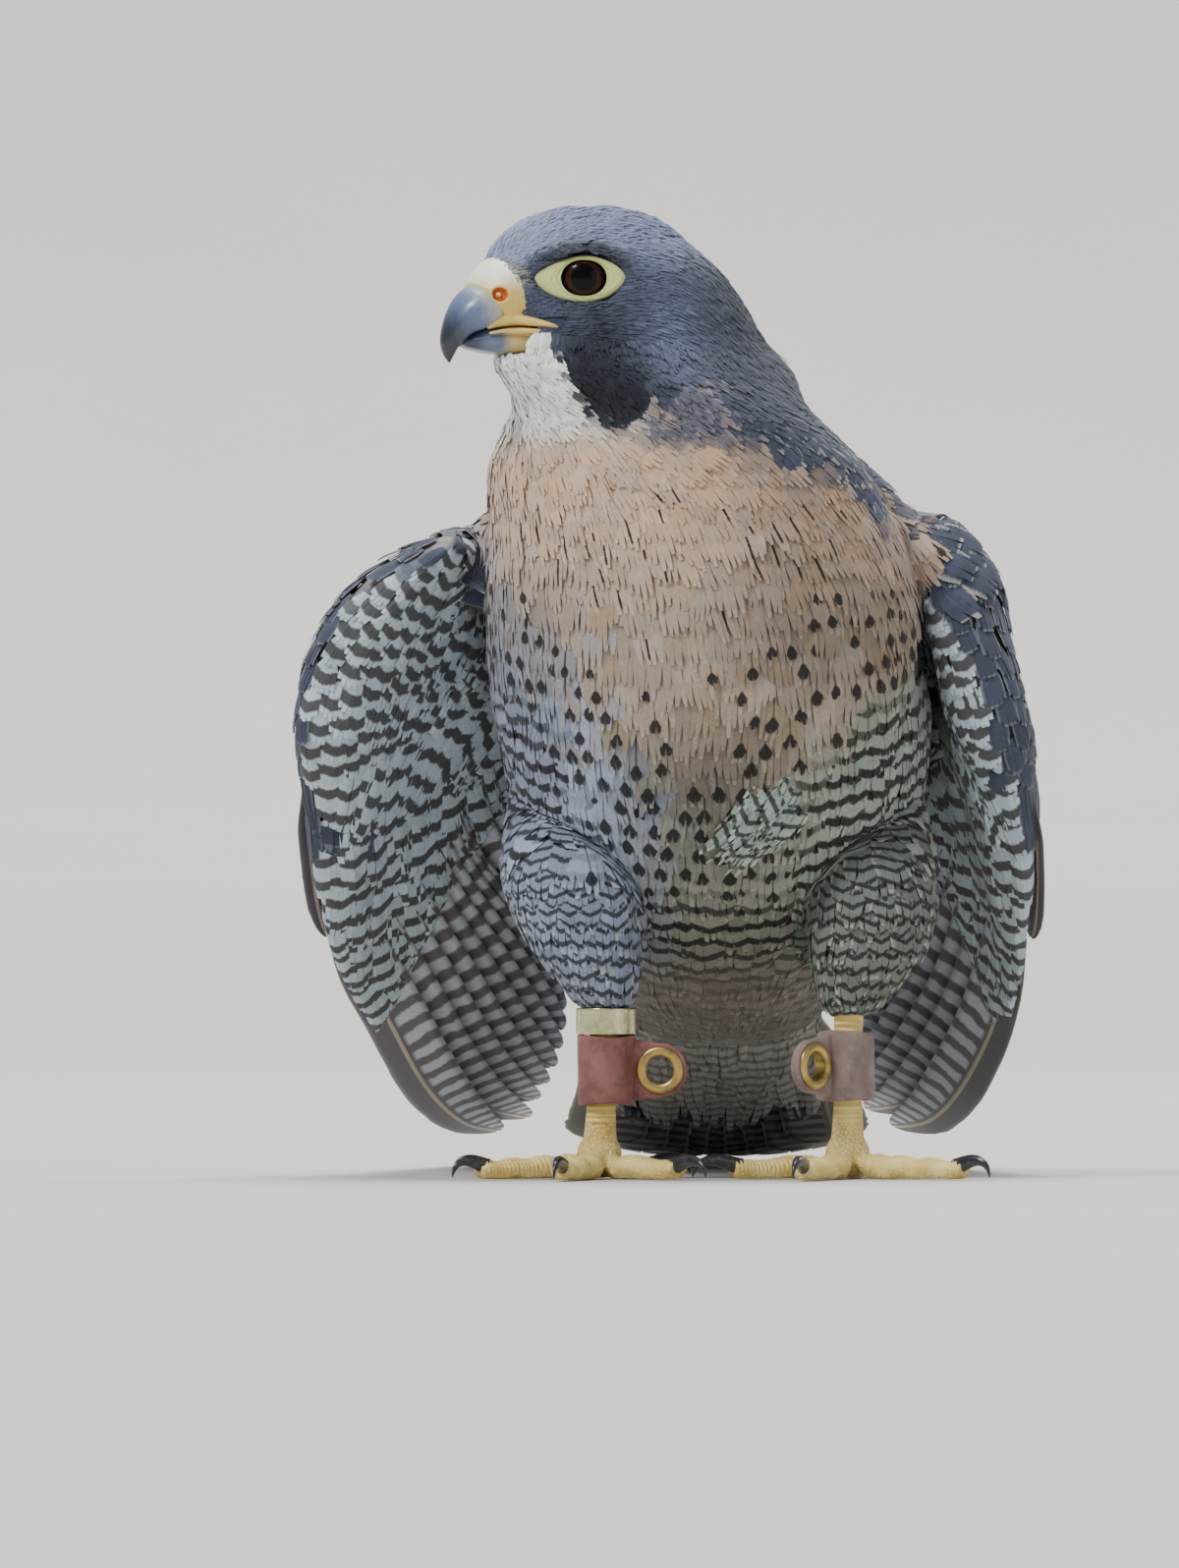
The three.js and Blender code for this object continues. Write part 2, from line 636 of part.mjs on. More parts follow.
// One feather's vane, laid in a space of (a, b, c) and bent with it: a flat blade, sloped under its
// inner neighbour, and split alike on both faces
function vane(space, { from, to, width, slope, lift = [0, 0], point = 0.3 }) {
  const rings = vaneStations(from.b, to.b).map((b) => {
    const share = (b - from.b) / (to.b - from.b);
    const shaft = THREE.MathUtils.lerp(from.a, to.a, share);
    const half = (vaneWidth(share, point) * width) / 2;
    const level = THREE.MathUtils.lerp(lift[0], lift[1], share);
    const at = (u, c) => space(shaft + u * half, b, level - slope * u * half + (c * VANE_THICKNESS) / 2);
    return [at(-1, 1), at(1, 1), at(1, -1), at(-1, -1)];
  });
  const faces = [];
  for (let r = 0; r + 1 < rings.length; r += 1) {
    const [p, q] = [4 * r, 4 * r + 4];
    faces.push(p, p + 1, q + 1, p, q + 1, q);
    faces.push(p + 3, q + 2, p + 2, p + 3, q + 3, q + 2);
    faces.push(p + 1, p + 2, q + 2, p + 1, q + 2, q + 1);
    faces.push(p + 3, p, q, p + 3, q, q + 3);
  }
  const end = 4 * (rings.length - 1);
  faces.push(0, 3, 2, 0, 2, 1, end, end + 1, end + 2, end, end + 2, end + 3);
  return toSolid(meshOf(rings.flat(), faces));
}

// A closed block in wing space over a grid of chord by length, with its thickness from functions
function wingBlock(space, { a0, a1, from, to, top, bottom, across = 8, along = 4 }) {
  const rings = [];
  for (let k = 0; k <= along; k += 1) {
    const upper = [];
    const lower = [];
    for (let i = 0; i <= across; i += 1) {
      const a = THREE.MathUtils.lerp(a0, a1, i / across);
      const b = THREE.MathUtils.lerp(from(a), to(a), k / along);
      upper.push(space(a, b, top(a, k / along)));
      lower.unshift(space(a, b, bottom(a, k / along)));
    }
    rings.push([...upper, ...lower]);
  }
  return toSolid(skinRings(rings));
}

// The line across the wing where the arm ends and the roots of the flight feathers begin
function rootLine(a) {
  return 26 - 0.55 * a;
}

// The fleshy, feathered arm: thick along its leading edge, thin behind, rounded at the shoulder
function armCore(space, grow) {
  const sides = 18;
  const stations = [0, 0.05, 0.16, 0.34, 0.56, 0.78, 1];
  const rings = stations.map((share) => {
    const round = Math.sqrt(Math.max(0.02, 1 - (1 - Math.min(1, share / 0.35)) ** 2));
    const width = WING_CHORD * (0.3 + 0.7 * Math.sin((Math.PI / 2) * Math.min(1, share / 0.6))) + 2 * grow;
    const ring = [];
    for (let i = 0; i < sides; i += 1) {
      const turn = (2 * Math.PI * (i + 0.5)) / sides;
      const a = (width * (1 - Math.cos(turn))) / 2 - grow;
      const thick = armThickness(a, share) * round;
      const c = Math.sin(turn) > 0 ? thick : -thick;
      const edge = Math.min(1, Math.abs(Math.sin(turn)) * 1.9);
      const b = THREE.MathUtils.lerp(-72, rootLine(a), share) + (share === 1 ? grow : 0);
      ring.push(space(a, b, 1 + (c + Math.sign(c) * grow) * edge));
    }
    return ring;
  });
  return toSolid(skinRings(rings));
}

function armThickness(a, share) {
  const front = 8.6 * Math.exp(-(((a - 12) / 24) ** 2));
  return 4.2 + front * (1 - 0.55 * share ** 2);
}

// A tier of coverts over one face of the arm, from chord a0 to a1
const UPPER_COVERTS = { count: 10, a0: 20, a1: 90, length: 52, width: 12, level: [5, 4.4], side: 1 };
const UNDER_COVERTS = { count: 6, a0: 8, a1: 50, length: 60, width: 12, level: [5.4, 4.8], side: -1 };

function covertTier(space, { count, a0, a1, length, width, level, side }) {
  const vanes = [];
  for (let i = 0; i < count; i += 1) {
    const a = THREE.MathUtils.lerp(a0, a1, i / (count - 1));
    const b = rootLine(a);
    vanes.push(vane(space, {
      from: { a: a - 1, b: b - 14 },
      to: { a, b: b + length * (1 - 0.12 * (i / count)) },
      width,
      slope: SHINGLE * 0.62,
      lift: [side * level[0], side * level[1]],
      point: 0.42,
    }));
  }
  return vanes;
}

function makeWing(side) {
  const wing = WINGS[side];
  const space = wingSpace(wing);
  const torso = torsoPart(GAP);
  const coverts = [...covertTier(space, UPPER_COVERTS), ...covertTier(space, UNDER_COVERTS)];
  const arm = armCore(space, GAP);
  place(`wing_arm_${side}`, union([armCore(space, 0), ...coverts]).subtract(torso), 'barred');
  place(`wing_primaries_${side}`, makeHand(space).subtract(torso).subtract(arm), 'slate');
  place(`wing_secondaries_${side}`, makeForearm(space).subtract(torso).subtract(arm), 'slate');
  place(`wing_alula_${side}`, makeAlula(space).subtract(arm), 'slate');
}

// The block that joins the roots of a row of flight feathers, face to face with the arm's end
function rootBlock(space, a0, a1) {
  return wingBlock(space, {
    a0,
    a1,
    from: (a) => rootLine(a) + GAP,
    to: (a) => rootLine(a) + 10,
    top: (a, share) => 3.2 - 0.8 * share,
    bottom: (a, share) => -3.2 + 0.8 * share,
    across: Math.ceil((a1 - a0) / 8),
    along: 2,
  });
}

// The ten primaries, longest next to the leading edge
function makeHand(space) {
  const vanes = [rootBlock(space, 0.5, HAND_WIDTH - GAP)];
  for (let i = 0; i < PRIMARIES; i += 1) {
    const share = i / (PRIMARIES - 1);
    const a = THREE.MathUtils.lerp(7.5, HAND_WIDTH - 4.5, share);
    const reach = WING_LENGTH * (i === 0 ? 0.965 : 1 - 0.48 * ((i - 1) / (PRIMARIES - 2)) ** 0.86);
    vanes.push(vane(space, {
      from: { a, b: rootLine(a) + 3 },
      to: { a: 8 + 44 * share ** 0.9, b: reach },
      width: 15.5,
      slope: SHINGLE,
      point: 0.42,
    }));
  }
  return union(vanes);
}

// The secondaries and the three inner feathers, shorter towards the body
function makeForearm(space) {
  const vanes = [rootBlock(space, HAND_WIDTH, WING_CHORD + 2)];
  for (let i = 0; i < SECONDARIES; i += 1) {
    const share = i / (SECONDARIES - 1);
    const a = THREE.MathUtils.lerp(HAND_WIDTH + 4.6, WING_CHORD - 2, share);
    vanes.push(vane(space, {
      from: { a, b: rootLine(a) + 3 },
      to: { a: THREE.MathUtils.lerp(HAND_WIDTH + 16, WING_CHORD - 1, share), b: 168 - 52 * share },
      width: 17,
      slope: SHINGLE,
      point: 0.3,
    }));
  }
  return union(vanes);
}

// The small feathers of the thumb, over the leading edge
function makeAlula(space) {
  const block = wingBlock(space, {
    a0: 2,
    a1: 12,
    from: (a) => rootLine(a) + GAP,
    to: (a) => rootLine(a) + 9,
    top: () => 7.6,
    bottom: () => 3.2 + GAP,
    across: 2,
    along: 1,
  });
  const vanes = [0, 1, 2].map((i) => vane(space, {
    from: { a: 4.5 + 2.5 * i, b: 26 },
    to: { a: 2.5 + 3.8 * i, b: 82 - 9 * i },
    width: 9,
    slope: SHINGLE,
    lift: [5.6, 4.6],
    point: 0.4,
  }));
  return union([block, ...vanes]);
}

// The tail: twelve feathers in a narrow fan, the middle pair on top, and short coverts over them
function tailSpace() {
  const curve = smoothCurve(TAIL_LINE);
  const total = curve.getLength();
  const onLine = (line, x, c) => {
    const share = THREE.MathUtils.clamp((line * WING_STEP) / total, 0, 1);
    const along = curve.getTangentAt(share);
    const up = new THREE.Vector3(0, -along.z, along.y);
    return curve.getPointAt(share).addScaledVector(along, line * WING_STEP - share * total)
      .add(new THREE.Vector3(x, 0, 0)).addScaledVector(up, c);
  };
  return (x, b, c) => {
    const line = Math.floor(b / WING_STEP);
    return onLine(line, x, c).lerp(onLine(line + 1, x, c), b / WING_STEP - line);
  };
}

function makeTail() {
  const space = tailSpace();
  const root = wingBlock(space, {
    a0: -27,
    a1: 27,
    from: () => 2,
    to: () => 26,
    top: (x, share) => 9 - 2 * share - 0.007 * x * x,
    bottom: (x, share) => -9 + 3 * share + 0.006 * x * x,
    across: 6,
    along: 2,
  });
  const vanes = [root];
  for (let i = 0; i < RECTRICES; i += 1) {
    [-1, 1].forEach((hand) => {
      const top = i === 0 && hand < 0;
      const spread = Math.tan(THREE.MathUtils.degToRad((TAIL_SPREAD * (i + 0.5)) / RECTRICES));
      const x = hand * (2.4 + 4.1 * i);
      vanes.push(vane(space, {
        from: { a: x, b: 10 },
        to: { a: x + hand * spread * TAIL_LENGTH, b: 10 + TAIL_LENGTH * (1 - 0.012 * i * i) },
        width: 23,
        slope: top ? 0 : -hand * SHINGLE,
        lift: top ? [3.4, 4] : [0, 0],
        point: 0.14,
      }));
    });
  }
  for (let i = 0; i < TAIL_COVERTS; i += 1) {
    const x = THREE.MathUtils.lerp(-20, 20, i / (TAIL_COVERTS - 1));
    const reach = 66 - 0.02 * x * x;
    const cover = (side) => vane(space, {
      from: { a: 0.9 * x, b: 12 },
      to: { a: x, b: reach },
      width: 15,
      slope: -Math.sign(x) * 0.12,
      lift: [side * 5.4, side * (5 + 0.5 * (i % 2))],
      point: 0.4,
    });
    vanes.push(cover(1), cover(-1));
  }
  const floor = box(-80, 80, 60, 320, -20, 0);
  const rump = torsoPart(GAP).add(torsoPart(GAP).translate([0, GAP, -GAP / 2]));
  place('tail', union(vanes).subtract(rump).subtract(floor), 'slate');
}

// Legs

// A shaft of round section from the thigh's end to the foot
function tarsusSolid(leg) {
  const [ax, ay, az] = leg.ankle;
  const [fx, fy, fz] = leg.foot;
  const keys = [0, 0.12, 0.5, 0.85, 1].map((t, i) => ({
    x: THREE.MathUtils.lerp(ax, fx, t),
    y: THREE.MathUtils.lerp(ay, fy, t),
    z: THREE.MathUtils.lerp(az - GAP, fz + FOOT_TOP, t),
    r: TARSUS_RADIUS * [1.05, 1, 0.96, 1.04, 1.12][i],
  }));
  return tube(keys, 4, 12);
}

function headingVector(degrees) {
  const turn = THREE.MathUtils.degToRad(degrees);
  return new THREE.Vector3(Math.sin(turn), -Math.cos(turn), 0);
}

// One toe with its joint pads, resting on the floor, thinner towards its claw
function toeSolid(leg, name, grow = 0) {
  const heading = headingVector(leg.headings[name]);
  const length = TOE_LENGTH[name];
  const joints = { hind: 1, inner: 2, middle: 3, outer: 4 }[name];
  const keys = [];
  const steps = 2 * joints + 2;
  for (let k = 0; k <= steps; k += 1) {
    const share = k / steps;
    const pad = 0.5 - 0.5 * Math.cos(2 * Math.PI * share * joints);
    const r = TOE_RADIUS * (1.12 - 0.34 * share) * (0.9 + 0.16 * pad);
    const rise = 5 * (1 - THREE.MathUtils.smoothstep(share, 0, 0.24));
    const at = heading.clone().multiplyScalar(share * length);
    keys.push({ x: leg.foot[0] + at.x, y: leg.foot[1] + at.y, z: r * 0.86 + rise, r: r + grow });
  }
  if (grow > 0) {
    const tip = heading.clone().multiplyScalar(length + grow);
    keys.push({ ...keys[steps], x: leg.foot[0] + tip.x, y: leg.foot[1] + tip.y });
  }
  return tube(keys, keys.length - 1, 6);
}

function footSolid(leg) {
  const toes = Object.keys(leg.headings).map((name) => toeSolid(leg, name));
  const hub = ball(leg.foot[0], leg.foot[1], 7, 6.4, 6, 7.6, 12, 8);
  const below = slab(-20, 0);
  const above = slab(leg.foot[2] + FOOT_TOP - GAP, 60);
  return union([hub, ...toes]).subtract(below).subtract(above);
}

// One claw: a hook from the end of its toe down to just over the floor
function clawSolid(leg, name) {
  const heading = headingVector(leg.headings[name]);
  const length = CLAW_LENGTH[name];
  const start = TOE_LENGTH[name] - 1.2;
  const keys = [];
  for (let k = 0; k <= 6; k += 1) {
    const share = k / 6;
    const out = start + length * 0.86 * Math.sin(share * 1.45);
    const height = 3.6 + 3.2 * Math.sin(share * 2.4) - 4.9 * share ** 2;
    const at = heading.clone().multiplyScalar(out);
    const r = CLAW_RADIUS * (1 - share) ** 0.8 + 0.22;
    keys.push({ x: leg.foot[0] + at.x, y: leg.foot[1] + at.y, z: height, r });
  }
  return tube(keys, 5, 6);
}

// The leather band round the leg, drawn against it on one side by the flat tab that holds the grommet
function ankletFrame(leg) {
  const [ax, ay, az] = leg.ankle;
  const [fx, fy, fz] = leg.foot;
  const middle = leg.anklet.top - ANKLET.height / 2;
  const share = (az - middle) / (az - fz);
  const [x, y] = [THREE.MathUtils.lerp(ax, fx, share), THREE.MathUtils.lerp(ay, fy, share)];
  const centre = new THREE.Vector3(x, y, middle);
  const heading = headingVector(leg.anklet.heading);
  return { centre: centre.addScaledVector(heading, ANKLET.pull), heading };
}

function ankletSolid(leg) {
  const { centre, heading } = ankletFrame(leg);
  const { radius, wall, height, tab, tabWall, tabEnd } = ANKLET;
  const [inner, outer, half] = [radius, radius + wall, height / 2];
  const profile = [[inner, -half], [outer, -half], [outer, half], [inner, half], [inner, -half]];
  const band = new THREE.LatheGeometry(profile.map(([r, y]) => new THREE.Vector2(r, y)), 16);
  band.rotateX(Math.PI / 2);
  const shape = new THREE.Shape();
  shape.moveTo(radius + 0.4, 1 - half);
  shape.lineTo(radius + tab - 4, 2.4 - half);
  shape.absarc(TAB_HOLE, 0, tabEnd, -0.9, 0.9, false);
  shape.lineTo(radius + 0.4, half - 1);
  shape.closePath();
  const plate = new THREE.ExtrudeGeometry(shape, { depth: tabWall, bevelEnabled: false, curveSegments: 6 });
  plate.translate(0, 0, -tabWall / 2);
  plate.rotateX(Math.PI / 2);
  const hole = new THREE.CylinderGeometry(GROMMET.tube + GAP, GROMMET.tube + GAP, 12, 16);
  hole.translate(TAB_HOLE, 0, 0);
  const solid = toSolid(band).add(toSolid(plate)).subtract(toSolid(hole));
  return placed(solid, centre, heading);
}

// Turns a solid made along +X to a heading and moves it to its centre
function placed(solid, centre, heading) {
  const turn = THREE.MathUtils.radToDeg(Math.atan2(heading.y, heading.x));
  return solid.rotate([0, 0, turn]).translate(centre.toArray());
}

function grommetSolid(leg) {
  const { centre, heading } = ankletFrame(leg);
  const half = ANKLET.tabWall / 2 + GAP;
  const { hole, tube: neck, flange, rim } = GROMMET;
  const profile = [
    [hole, -half - rim * 0.5], [hole + 1.2, -half - rim], [flange, -half - rim * 0.3], [flange, -half],
    [neck, -half], [neck, half], [flange, half], [flange, half + rim * 0.3], [hole + 1.2, half + rim],
    [hole, half + rim * 0.5], [hole, -half - rim * 0.5],
  ];
  const eyelet = new THREE.LatheGeometry(profile.map(([r, y]) => new THREE.Vector2(r, y)), 14);
  eyelet.translate(TAB_HOLE, 0, 0);
  return placed(toSolid(eyelet), centre, heading);
}

// The closed metal ring, loose on the leg and resting on the band's upper edge
function legRingSolid(leg) {
  const { centre } = ankletFrame(leg);
  const { radius, wall, height } = LEG_RING;
  const bottom = leg.anklet.top + GAP;
  const profile = [
    [radius - wall, bottom], [radius, bottom], [radius, bottom + height], [radius - wall, bottom + height],
    [radius - wall, bottom],
  ];
  const ring = new THREE.LatheGeometry(profile.map(([r, y]) => new THREE.Vector2(r, y)), 18);
  ring.rotateX(Math.PI / 2);
  ring.translate(centre.x, centre.y, 0);
  return toSolid(ring);
}

function makeLeg(side) {
  const leg = LEGS[side];
  const torso = torsoPart(GAP);
  const end = slab(0, leg.ankle[2]);
  const thigh = loft(leg.thigh, 0, leg.thigh.length - 1, 7, 16);
  place(`thigh_${side}`, thigh.subtract(torso).subtract(end), 'barred');
  place(`tarsus_${side}`, tarsusSolid(leg), 'toe');
  place(`foot_${side}`, footSolid(leg), 'toe');
  Object.keys(leg.headings).forEach((name) => {
    place(`claw_${name}_${side}`, clawSolid(leg, name).subtract(toeSolid(leg, name, GAP)), 'claw');
  });
  place(`anklet_${side}`, ankletSolid(leg), 'leather');
  place(`grommet_${side}`, grommetSolid(leg), 'brass');
  if (leg.ring) {
    place('leg_ring', legRingSolid(leg), 'ring');
  }
}

makeBody();
makeEyes();
makeBill();
['right', 'left'].forEach((side) => {
  makeWing(side);
  makeLeg(side);
});
makeTail();

// The origin is at the middle of the model's box, on the floor
const bounds = new THREE.Box3().setFromObject(group);
const centre = bounds.getCenter(new THREE.Vector3());
group.position.set(-centre.x, -centre.y, -bounds.min.z);
group.updateMatrixWorld(true);

export default group;
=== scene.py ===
"""The looks of a standing peregrine falcon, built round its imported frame.

Shapes are worked out in millimetres in the bird's own frame: it faces -Y, its left side is at +X
and it stands on Z = 0. They go to metres in the frame's place as they are made.
"""
import logging
from dataclasses import dataclass, field
from enum import Enum
from functools import reduce

import bpy
import numpy as np
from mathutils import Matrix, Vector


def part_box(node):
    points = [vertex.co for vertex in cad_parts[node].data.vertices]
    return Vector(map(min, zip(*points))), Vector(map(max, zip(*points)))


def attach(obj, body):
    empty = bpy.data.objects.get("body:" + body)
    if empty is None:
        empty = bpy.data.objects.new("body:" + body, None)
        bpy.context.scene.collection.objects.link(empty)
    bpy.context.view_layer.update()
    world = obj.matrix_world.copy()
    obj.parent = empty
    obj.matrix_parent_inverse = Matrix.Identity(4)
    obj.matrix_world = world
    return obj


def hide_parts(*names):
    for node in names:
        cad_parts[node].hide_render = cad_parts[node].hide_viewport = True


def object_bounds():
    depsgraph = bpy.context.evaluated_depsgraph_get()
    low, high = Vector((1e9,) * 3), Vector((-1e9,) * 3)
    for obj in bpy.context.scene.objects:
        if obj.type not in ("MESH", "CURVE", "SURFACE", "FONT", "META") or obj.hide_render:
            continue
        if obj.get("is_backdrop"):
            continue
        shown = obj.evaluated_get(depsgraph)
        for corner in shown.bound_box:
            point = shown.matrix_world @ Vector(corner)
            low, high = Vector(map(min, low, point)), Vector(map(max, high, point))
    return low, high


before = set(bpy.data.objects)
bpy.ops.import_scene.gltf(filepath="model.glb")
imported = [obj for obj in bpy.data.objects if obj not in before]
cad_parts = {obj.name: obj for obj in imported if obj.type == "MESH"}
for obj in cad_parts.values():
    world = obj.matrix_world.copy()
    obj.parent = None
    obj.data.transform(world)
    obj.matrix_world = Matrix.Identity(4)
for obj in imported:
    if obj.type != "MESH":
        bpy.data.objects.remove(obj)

CAD_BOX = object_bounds()
LOG = logging.getLogger("falcon")
Array = np.ndarray

GAP = 0.35  # mm kept between the solids
SEED = 20797


# Sizes and keys that the solids share

BODY = np.array([
    # x, y, z, pitch, yaw, side, front, back
    [3, 105, 46, 66, 0, 26, 11, 10],
    [3, 85, 57, 60, 0, 35, 22, 18],
    [3, 62, 74, 50, 0, 42, 35, 25],
    [3, 41, 95, 40, 0, 53, 46, 33],
    [2, 24, 117, 29, 0, 59, 52, 42],
    [0, 12, 140, 19, 0, 61, 53, 48],
    [-2, 4, 162, 11, 0, 60, 50, 50],
    [-5, 0, 181, 5, 4, 56, 44, 46],
    [-9.5, -3, 196, 2, 12, 52, 40, 39],
    [-13, -5, 208, 0, 28, 44, 39, 42],
    [-17, -7, 219, 0, 50, 34, 43, 46],
    [-21, -8, 229, 0, 60, 28, 44, 39],
    [-22.5, -8, 239, 0, 63, 26, 38, 34],
    [-26, -8, 248, 0, 63, 24.5, 39, 31],
    [-31, -8, 256, 0, 63, 21.5, 31, 27],
    [-32.5, -8, 262.5, 0, 63, 15.5, 21, 20.5],
    [-32.5, -8, 266, 0, 63, 6.5, 8.5, 8.5],
], float)
HEAD = {"x": -24.0, "y": -8.0, "yaw": 63.0}
EYE = {"f": 21.5, "l": 19.3, "z": 246.9, "ahead": 0.42, "aside": 0.9}
EYE_RADIUS = 8.2
EYE_BULGE = 1.1
WING_LENGTH = 330.0
WING_CHORD = 96.0
HAND_WIDTH = 42.0
TAIL_LENGTH = 172.0


# Small helpers on arrays

def smooth(x: Array, low: float, high: float) -> Array:
    """Rises from 0 to 1 between low and high, with no corner."""
    t = np.clip((np.asarray(x, float) - low) / (high - low), 0, 1)
    return t * t * (3 - 2 * t)


def mix(a: Array, b: Array, t: Array) -> Array:
    """The way from a to b by the share t."""
    return a + (b - a) * t


def unit(v: Array) -> Array:
    """Vectors scaled to length one."""
    return v / np.maximum(np.linalg.norm(v, axis=-1, keepdims=True), 1e-9)


def smooth_keys(keys: Array, at: Array) -> Array:
    """A Catmull-Rom curve through rows of keys, at places counted in keys.

    Args:
        keys: one row for each key.
        at: places, 0 at the first key.

    Returns:
        One row for each place.
    """
    last = len(keys) - 1
    at = np.asarray(at, float)
    i = np.clip(np.floor(at).astype(int), 0, last - 1)
    t = (at - i)[..., None]
    a, b, c, d = (keys[np.clip(i + k, 0, last)] for k in (-1, 0, 1, 2))
    return b + 0.5 * t * (c - a + t * (2 * a - 5 * b + 4 * c - d + t * (3 * (b - c) + d - a)))


def path_length(path: Array) -> Array:
    """How far along a path each of its points lies."""
    return np.concatenate([[0], np.cumsum(np.linalg.norm(np.diff(path, axis=0), axis=1))])


def read_rows(at: Array, places: Array, rows: Array) -> Array:
    """Rows read off at some places between those that they belong to."""
    return np.stack([np.interp(at, places, column) for column in rows.T], -1)


def head_point(f: Array, l: Array, z: Array) -> Array:
    """A point given forward, to the bird's left and up in the head's frame."""
    yaw = np.radians(HEAD["yaw"])
    x = HEAD["x"] - f * np.sin(yaw) + l * np.cos(yaw)
    y = HEAD["y"] - f * np.cos(yaw) - l * np.sin(yaw)
    return np.stack(np.broadcast_arrays(x, y, z), -1)


def from_head(points: Array) -> Array:
    """Points whose three numbers are forward, left and up in the head's frame."""
    return head_point(*np.moveaxis(points, -1, 0))


def in_head(points: Array) -> tuple[Array, Array, Array]:
    """Forward, leftward and height of points in the head's frame."""
    yaw = np.radians(HEAD["yaw"])
    dx, dy = points[..., 0] - HEAD["x"], points[..., 1] - HEAD["y"]
    return -dx * np.sin(yaw) - dy * np.cos(yaw), dx * np.cos(yaw) - dy * np.sin(yaw), points[..., 2]


AHEAD = head_point(1.0, 0.0, 0.0) - head_point(0.0, 0.0, 0.0)


class Side(Enum):
    """The bird's own sides."""
    RIGHT = "right"
    LEFT = "left"

    @property
    def hand(self) -> int:
        """1 on the left, where X is positive, and -1 on the right."""
        return 1 if self is Side.LEFT else -1


def eye_centre(side: Side, depth: float) -> Array:
    """A point on an eye's axis, a depth inside the side of the head."""
    ahead, aside = EYE["f"] - EYE["ahead"] * depth, EYE["l"] - EYE["aside"] * depth
    return head_point(ahead, side.hand * aside, EYE["z"])


def eye_way(side: Side) -> Array:
    """The way out along an eye's axis."""
    return unit(eye_centre(side, 0.0) - eye_centre(side, 1.0))


def frame_shift() -> Array:
    """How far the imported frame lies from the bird's own, from the middle of the left eyeball."""
    low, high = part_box("eye_left")
    middle = (np.array(low) + np.array(high)) * 500
    return middle - eye_centre(Side.LEFT, EYE_RADIUS - EYE_BULGE)


SHIFT = frame_shift()


def full_turn(sides: int) -> Array:
    """The angles of even steps round a full turn."""
    return 2 * np.pi * np.arange(sides) / sides


TURNS = full_turn(96)
COARSE_TURNS = TURNS[::3]


def ring_grid(first: float, last: float, count: int, turns: Array = TURNS) -> tuple[Array, Array]:
    """Ring numbers from first to last with the turns round each ring, as two arrays of one shape."""
    return tuple(np.meshgrid(np.linspace(first, last, count), turns, indexing="ij"))


# Meshes from arrays

def shown(name: str, data: bpy.types.ID) -> bpy.types.Object:
    """A mesh, lamp or camera as an object of the scene."""
    thing = bpy.data.objects.new(name, data)
    bpy.context.scene.collection.objects.link(thing)
    return thing


def set_points(mesh: bpy.types.Mesh, points: Array) -> None:
    """Puts a mesh's vertices at points of the bird's own frame."""
    mesh.vertices.foreach_set("co", ((points + SHIFT) / 1000).astype(np.float32).ravel())


def get_points(mesh: bpy.types.Mesh) -> Array:
    """A mesh's vertices in the bird's own frame."""
    flat = np.empty(len(mesh.vertices) * 3, np.float32)
    mesh.vertices.foreach_get("co", flat)
    return flat.reshape(-1, 3).astype(float) * 1000 - SHIFT


def set_colours(mesh: bpy.types.Mesh, name: str, values: Array) -> None:
    """Stores four numbers at each vertex."""
    stored = mesh.attributes.new(name, "FLOAT_COLOR", "POINT")
    stored.data.foreach_set("color", values.astype(np.float32).ravel())


def grid_faces(rows: int, columns: int, closed_round: bool = False) -> Array:
    """Quads over a grid of rows by columns, with the columns joined round if closed."""
    steps = columns if closed_round else columns - 1
    r, c = np.meshgrid(np.arange(rows - 1), np.arange(steps), indexing="ij")
    n = (c + 1) % columns
    corners = [r * columns + c, r * columns + n, (r + 1) * columns + n, (r + 1) * columns + c]
    return np.stack(corners, -1).reshape(-1, 4)


